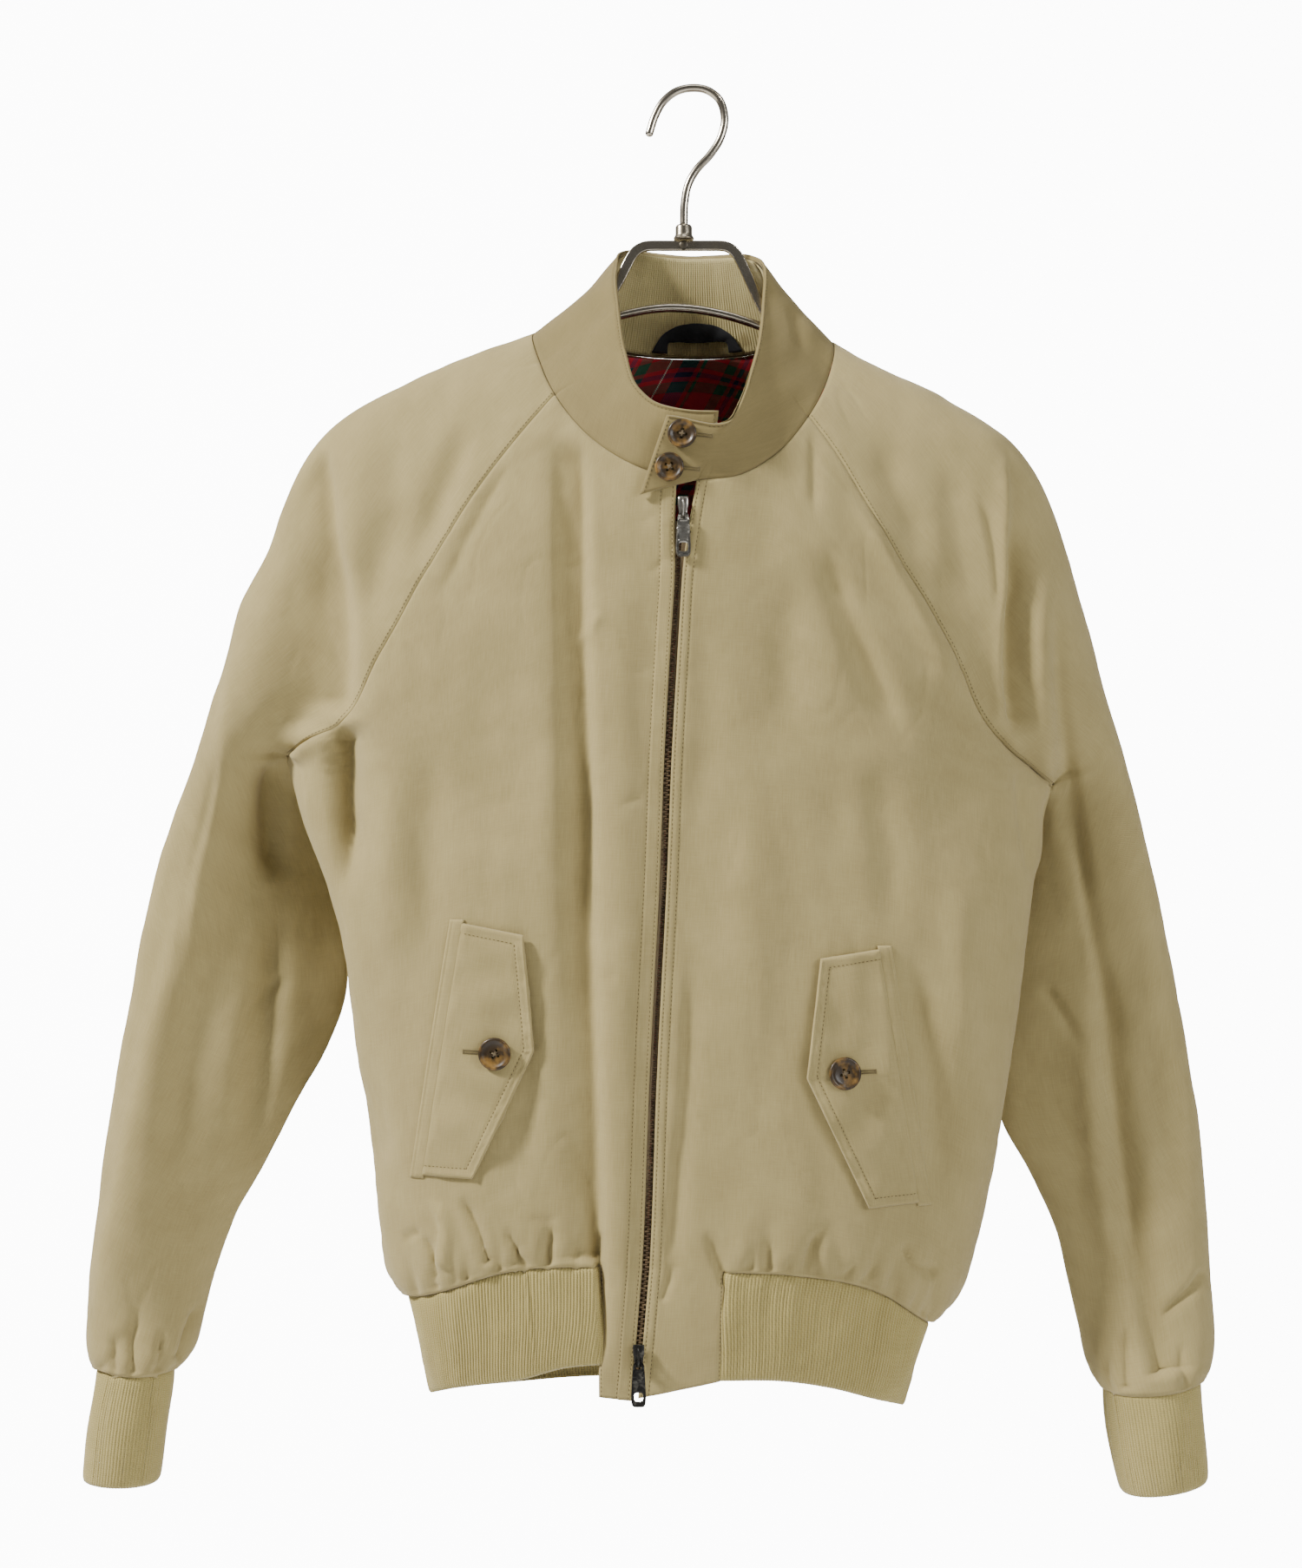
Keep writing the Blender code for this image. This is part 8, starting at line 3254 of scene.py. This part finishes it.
@dataclass
class Zip:
    """The tapes, the teeth, and two sliders with their pull tabs."""

    pattern: Pattern
    ground: Ground
    low: float = -808.0
    high: float = -280.6
    behind: float = 1.75
    tape_wall: float = 0.9
    pitch: float = 1.45
    tooth: Spot = (3.0, 1.05, 1.9)
    tooth_shift: float = 0.75
    tooth_depth: float = 1.1
    tooth_edge: float = 0.22
    pin_drop: float = 3.2
    pin_stand: float = 0.95
    tab: TabCut = TabCut()
    sliders: tuple[SliderCut, ...] = (
        SliderCut("top", -273.0, 3.4, 13.6, -73.6, -67.2),
        SliderCut("bottom", -786.5, 3.5, 13.0, -64.6, -62.0),
    )

    def line(self, z: Array) -> Array:
        """The middle of the zip at heights.

        Args:
            z: The heights.

        Returns:
            A point for each.
        """
        pair = []
        for side in (self.pattern.right, self.pattern.left):
            points = side.edge.at(np.linspace(0, side.edge.last, 500))
            order = np.argsort(points[:, 2])
            pair.append(read_between(z, points[order, 2], points[order]))
        return (pair[0] + pair[1]) / 2

    def build(self, finishes: Finishes) -> None:
        """Makes every piece of the zip.

        Args:
            finishes: The materials.
        """
        self._tapes(finishes)
        self._teeth(finishes)
        for cut, metal in zip(self.sliders, (finishes.nickel, finishes.black)):
            self._slider(cut, metal)

    def _tapes(self, finishes: Finishes) -> None:
        """The two tapes behind the edges of the fronts.

        Args:
            finishes: The materials.
        """
        z = np.linspace(self.low, self.high, 180)
        middle = self.line(z)
        for name, sign in (("zip_tape_right", -1), ("zip_tape_left", 1)):
            reach = np.array((0.7, 1.6, 3.0, 4.8, 6.8, 8.8, 10.2))
            x = middle[:, :1] + sign * reach
            front = np.array([self.ground.at(m[0] + sign * 6.0, m[2])[0][1] for m in middle])
            y = soften(front[:, None], 6.0) + self.behind + 1.3 + 0.25 * np.sin(reach * 1.1)[None, :]
            points = np.stack([x, y, np.repeat(z[:, None], len(reach), axis=1)], axis=-1)
            panel = Panel(name, points, sign < 0)
            obj = cloth_piece(
                name + "_cloth", panel.mesh(), finishes.zip_tape, self.tape_wall, name
            )

    def _teeth(self, finishes: Finishes) -> None:
        """The teeth, left and right in turn.

        Args:
            finishes: The materials.
        """
        z = np.arange(self.low + 1, self.high, self.pitch)
        bm = bmesh.new()
        for k, point in enumerate(self.line(z)):
            sign = 1 if k % 2 else -1
            middle = point + (sign * self.tooth_shift, self.behind + self.tooth_depth, 0.0)
            place = place_at(middle, ACROSS, TO_FRONT, self.tooth)
            bmesh.ops.create_cube(bm, size=1.0, matrix=place)
        edge = self.tooth_edge * MM
        bmesh.ops.bevel(bm, geom=bm.edges, offset=edge, segments=1, profile=0.5, affect="EDGES", material=-1)
        mesh = finished_mesh(bm, "teeth", smooth_shaded=False)
        dress(add_piece("zip_teeth", mesh, [finishes.teeth]), "zip_chain")

    def _slider(self, cut: SliderCut, metal: bpy.types.Material) -> None:
        """One slider's body, its bail and its pull tab.

        Args:
            cut: The slider.
            metal: Its material.
        """
        x = float(self.line(np.array([cut.z]))[0, 0])
        rows = np.linspace(-0.5, 0.5, 9) * cut.length
        path = np.array([(x, (cut.face + cut.back) / 2 + 0.2, cut.z + row) for row in rows])
        widths = 0.8 + 0.2 * smooth((rows + 2) / 4)
        section = oval((cut.back - cut.face) / 2 - 0.2, cut.half, 20, 4.5)
        body = bar_mesh("slider", path, section, 0.12, (0.0, -1.0, 0.0), widths)
        high, low = cut.z + cut.bail_rise, cut.z - self.pin_drop - cut.bail_drop
        root, out = cut.face + 1.0, cut.face - cut.bail_stand
        loop = Rail([
            (x, root, high - 0.6), (x, out + 0.4, high - 0.9), (x, out, high - 2.4), (x, out, cut.z),
            (x, out, low + 2.2), (x, out + 0.5, low + 0.9), (x, root, low + 0.6),
        ])
        bail = bar_mesh(
            "bail", loop.share(np.linspace(0, 1, 26)), oval(0.62, 1.1, 12, 3.0), 0.2, (1.0, 0.0, 0.0)
        )
        joined = joined_mesh("slider_" + cut.name, (body, bail))
        dress(add_piece(f"slider_{cut.name}_metal", joined, [metal]), "slider_" + cut.name)
        self._tab(cut, x, metal)

    def _tab(self, cut: SliderCut, x: float, metal: bpy.types.Material) -> None:
        """Makes a slider's pull tab.

        Args:
            cut: The slider that it hangs from.
            x: The X of the zip's middle there.
            metal: Its material.
        """
        pin = np.array((x, cut.face - self.pin_stand, cut.z - self.pin_drop))
        name = "pull_tab_" + cut.name
        mesh = joined_mesh(name, self.tab.parts(pin))
        mesh.set_sharp_from_angle(angle=math.radians(40))
        dress(add_piece(name + "_metal", mesh, [metal]), name, name)


# ---------------------------------------------------------------------------------------------
# The neck: lining and label.


@dataclass
class Neck:
    """What shows inside the neck: the check lining and the black loop tape."""

    pattern: Pattern
    wall: float = 1.4
    tape_wall: float = 0.8
    tape_depth: float = 5.1
    arch: tuple[tuple[float, float, float, float], ...] = (
        (9.28, 0.05, 9.62, 0.05), (9.42, 0.19, 9.62, 0.14), (9.72, 0.30, 9.75, 0.16),
        (10.05, 0.34, 10.1, 0.16), (10.45, 0.34, 10.4, 0.16), (10.85, 0.29, 10.8, 0.16),
        (11.1, 0.19, 10.92, 0.14), (11.22, 0.05, 10.92, 0.05),
    )

    def build(self, finishes: Finishes) -> None:
        """Makes the lining and the tape.

        Args:
            finishes: The materials.
        """
        u, v = np.linspace(-0.8, 0.8, 90), np.linspace(1.62, 1.985, 46)
        panel = Panel("back_lining", self.pattern.back(u, v), True)
        puckers = LINING_PUCKERS.at(panel.across, panel.along[-1:] - panel.along, 77)
        panel.push(-(self.wall + 1.1) + 0.4 * Ripples(61, 34.0).at(panel.points) + np.clip(puckers, -0.6, 0))
        mesh = panel.mesh()
        obj = cloth_piece("back_lining_cloth", mesh, finishes.check, 1.0, "back_lining")
        self._tape(finishes)

    def _tape(self, finishes: Finishes) -> None:
        """The arched loop of black tape, sewn under the ribbing's lower edge.

        Args:
            finishes: The materials.
        """
        knots = np.array(self.arch)
        share = np.linspace(0, 1, 70)
        outer, inner = (Rail(np.insert(half, 2, 0, axis=1)) for half in (knots[:, :2], knots[:, 2:]))
        across = np.array((0.0, 0.04, 0.1, 0.25, 0.45, 0.65, 0.85, 0.95, 1.0))
        a, b = outer.share(share)[:, None, :2], inner.share(share)[:, None, :2]
        place = a + (b - a) * across[None, :, None]
        grid = np.zeros(place.shape[:2] + (3,))
        for i, j in np.ndindex(place.shape[:2]):
            t, h = place[i, j]
            here, later, higher = (
                self.pattern.collar(np.array([station]), np.array([height]))[0, 0]
                for station, height in ((t, h), (t + 0.05, h), (t, h + 0.02))
            )
            out = unit(np.cross(later - here, higher - here))
            out = out * np.sign(out[1])
            puff = 0.35 * math.sin(math.pi * across[j]) + 0.25 * math.sin(share[i] * 31 + 2 * across[j])
            grid[i, j] = here - out * (self.tape_depth + puff)
        panel = Panel("neck_label", grid, False)
        panel.flip = bool(panel.normals[..., 1].mean() > 0)
        obj = cloth_piece(
            "neck_label_tape", panel.mesh(), finishes.tape, self.tape_wall, "neck_label"
        )


# ---------------------------------------------------------------------------------------------
# The hanger.


# Radii and heights in mm, from the middle of the foot round to the middle of the top.
FERRULE_PROFILE = (
    (0, 0), (6.0, 0), (6.4, 0.3), (6.6, 1.0), (6.3, 1.7), (5.5, 3.1), (5.4, 3.6), (5.4, 7.9),
    (5.2, 8.5), (4.6, 9.4), (4.2, 9.6), (0, 9.6),
)
RIVET_PROFILE = ((0, 0), (3.0, 0), (2.95, 0.25), (2.4, 0.68), (1.2, 0.86), (0, 0.9))


@dataclass(frozen=True)
class Hanger:
    """The steel hanger: its hook, ferrule, bracket and shoulder bar."""

    pattern: Pattern
    back: float = 8.0
    bar: float = 2.6
    bar_depth: float = 4.2
    hook_radius: float = 2.6
    wall: float = 1.4
    stem_x: float = -1.6
    ferrule_foot: float = -93.0
    rivet_z: float = -96.6
    rivet_stand: float = 2.35
    bend: float = 3.2
    shares: tuple[float, ...] = (0.1, 0.2, 0.3, 0.38)
    clearance: tuple[float, ...] = (1.2, 0.9, 1.1, 3.0)
    set_back: tuple[float, ...] = (3.4, 1.6, 0.6, 0.0)
    hook: tuple[tuple[float, float], ...] = (
        (-1.6, -83.0), (-1.0, -68.1), (1.2, -57.7), (6.4, -48.3), (14.9, -39.0), (21.6, -28.4), (24.4, -15.0),
        (20.6, -3.0), (12.9, 2.6), (3.4, 3.9), (-6.6, 1.6), (-14.8, -5.0), (-19.9, -13.9), (-23.6, -25.2),
    )
    bracket: tuple[tuple[float, float], ...] = (
        (53.2, -144.0), (47.0, -133.5), (37.5, -112.5), (32.0, -101.0), (26.5, -96.6), (-27.5, -96.6),
        (-33.5, -100.5), (-43.2, -120.0), (-56.6, -140.0),
    )
    middle: tuple[Spot, ...] = (
        (-97.0, 5.6, -162.4), (-70, 7.4, -150.5), (-42.9, 8, -141.3), (-11.5, 8, -136.2), (5, 8, -137.0),
        (27, 8, -141.3), (44.6, 8, -147.0), (66, 7.4, -156.5), (92.0, 5.6, -167.8),
    )

    def _bar_path(self) -> Array:
        """The bar lies under the sleeves' outer lines and arches through the neck.

        Returns:
            The points of its middle line, from right to left.
        """
        arms = []
        for side in (self.pattern.right, self.pattern.left):
            line = side.ridge.share(np.array(self.shares))
            ahead = unit(np.gradient(line, axis=0))
            out = np.stack([-ahead[:, 2], 0 * ahead[:, 1], ahead[:, 0]], axis=-1) * np.sign(ahead[:, :1])
            drop = self.wall + 1.2 + self.bar + np.array(self.clearance)[:, None]
            arms.append(line - np.array(self.set_back)[:, None] * TO_FRONT - out * drop)
        return np.concatenate([arms[0][::-1], np.array(self.middle), arms[1]])

    def build(self, finishes: Finishes) -> None:
        """Makes the hanger's pieces.

        Args:
            finishes: The materials.
        """
        hook = Rail([(x, self.back, z) for x, z in self.hook]).share(np.linspace(0, 1, 110))
        bracket = np.array([(x, self.back, z) for x, z in self.bracket])
        walked = walk_along(bracket)
        bent = soften(read_between(np.linspace(0, walked[-1], 150), walked, bracket), self.bend)
        arm = Rail(self._bar_path()).share(np.linspace(0, 1, 150))
        oval_bar, flat_bar = oval(self.bar_depth, self.bar, 20, 2.4), oval(2.0, 3.2, 24, 6.0)
        wire = oval(self.hook_radius, self.hook_radius, 20)
        for node, mesh in (
            ("hanger_hook", bar_mesh("hook", hook, wire, 0.8)),
            ("hanger_bracket", bar_mesh("bracket", bent, flat_bar, 0.05)),
            ("hanger_bar", bar_mesh("bar", arm, oval_bar, 0.05)),
        ):
            dress(add_piece(node + "_metal", mesh, [finishes.steel]), node)
        foot = place_at(np.array((self.stem_x, self.back, self.ferrule_foot)), TO_FRONT, UP)
        ferrule = turned_mesh("ferrule", FERRULE_PROFILE, foot, 40)
        ferrule.set_sharp_from_angle(angle=math.radians(35))
        dress(add_piece("hanger_ferrule_metal", ferrule, [finishes.steel]), "hanger_ferrule")
        stud = place_at(np.array((self.stem_x, self.back - self.rivet_stand, self.rivet_z)), ACROSS, TO_FRONT)
        rivet = turned_mesh("rivet", RIVET_PROFILE, stud, 24)
        dress(add_piece("hanger_rivet_head", rivet, [finishes.rivet]), "hanger_rivet")


# ---------------------------------------------------------------------------------------------
# Stitches on the shell and the collar.


def inset(panel: Panel, edge: str, depth: float) -> tuple[Array, Array]:
    """The line that runs a depth inside a panel's edge, and the cloth's normals along it.

    Args:
        panel: The panel.
        edge: first or last column, low or high row.
        depth: The depth in mm.

    Returns:
        The line's points and the normals.
    """
    if edge in ("first", "last"):
        across = panel.across if edge == "first" else panel.across[:, -1:] - panel.across
        points, normals = panel.points, panel.normals
    else:
        across = (panel.along if edge == "low" else panel.along[-1:] - panel.along).T
        points, normals = panel.points.transpose(1, 0, 2), panel.normals.transpose(1, 0, 2)
    line, out = [], []
    for row, spots, ways in zip(across, points, normals):
        order = np.argsort(row)
        line.append(read_between(depth, row[order], spots[order]))
        out.append(read_between(depth, row[order], ways[order]))
    return np.array(line), np.array(out)


def stitch_shell(shell: ShellCloth, collar: Collar, work: Seamwork) -> None:
    """The rows of stitches on the fronts, the sleeves and the collar.

    Args:
        shell: The shell.
        collar: The collar.
        work: Takes the stitches.
    """
    for panel in list(shell.panels.values()) + [collar.panel]:
        panel.weigh()
    for side, depth in PLACKET_STITCH.items():
        for kind in ("front", "strip"):
            for away in (EDGE_STITCH, depth):
                work.run(*inset(shell.panels[f"{kind}_{side}"], "first", away))
        strip = shell.panels["strip_" + side]
        work.run(*inset(strip, "last", 1.5))
        sleeve = shell.panels["sleeve_" + side]
        for edge in ("first", "last"):
            line, out = inset(sleeve, edge, EDGE_STITCH)
            work.run(line[1 : shell.raglan_count], out[1 : shell.raglan_count])
    line, out = inset(collar.panel, "high", COLLAR_STITCH)
    work.run(line[12:-12], out[12:-12])
    for edge in ("first", "last"):
        line, out = inset(collar.panel, edge, COLLAR_STITCH)
        work.run(line[1:-2], out[1:-2])


COLLAR_BUTTON, FLAP_BUTTON = 17.5, 20.0
COLLAR_BUTTONS = (
    ButtonCut("collar_button_upper", -3.7, -228.7, COLLAR_BUTTON),
    ButtonCut("collar_button_lower", -11.5, -248.6, COLLAR_BUTTON),
)


def build_trims(pattern: Pattern, shell: ShellCloth, collar: Collar, finishes: Finishes) -> None:
    """Makes everything that is sewn on or set in.

    Args:
        pattern: The lines of the garment.
        shell: The shell.
        collar: The collar.
        finishes: The materials.
    """
    stitches, threads = Seamwork(5), Seamwork(6)
    stitch_shell(shell, collar, stitches)
    grounds = {side: Ground(shell.panels["front_" + side].points) for side in ("right", "left")}
    for cut, turn in ((RIGHT_FLAP, 0.3), (LEFT_FLAP, 1.1)):
        flap = PocketFlap(cut, grounds[cut.name]).build(finishes, stitches)
        button = ButtonCut("flap_button_" + cut.name, *cut.button, FLAP_BUTTON)
        button.build(flap, finishes, threads, turn)
    tab = Ground(collar.panel.points)
    for cut, turn in zip(COLLAR_BUTTONS, (0.6, 0.2)):
        cut.build(tab, finishes, threads, turn)
        start, end = (tab.at(cut.x + reach, cut.z - 0.06 * reach)[0] for reach in (8.0, 17.5))
        stitches.buttonhole(start, end, tab.at(cut.x + 12, cut.z)[1])
    fronts = [shell.panels[f"{kind}_{side}"].points for kind in ("front", "strip") for side in grounds]
    Zip(pattern, Ground(*fronts)).build(finishes)
    Neck(pattern).build(finishes)
    # The seam stitches wear the darkened thread, which paints the shade in their holes.
    stitches.build("seam_stitches", finishes.thread, "shell_cloth")
    threads.build("button_threads", finishes.dark_thread, "button")
    Hanger(pattern).build(finishes)


def main() -> None:
    """Builds the garment, its hanger and the studio."""
    logging.basicConfig(level=logging.INFO, format="%(message)s")
    for obj in list(bpy.data.objects):
        bpy.data.objects.remove(obj)
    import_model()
    finishes = Finishes()
    pattern = Pattern()
    shell = ShellCloth(pattern)
    shell.draw()
    shell.fold()
    made = shell.build(finishes)
    LOG.info("shell: %s", ", ".join(sorted(made)))
    collar = Collar(pattern, shell)
    collar.draw()
    collar.build(finishes)
    collar.build_facing(finishes)
    ribbing = Ribbing(pattern, shell)
    ribbing.build_hem(finishes)
    for side in (pattern.right, pattern.left):
        ribbing.build_cuff(side, finishes)
    build_trims(pattern, shell, collar, finishes)
    Studio().build()
    total = sum(len(obj.data.polygons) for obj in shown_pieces())
    LOG.info("polygons before their walls: %d", total)


if __name__ == "__main__":
    main()
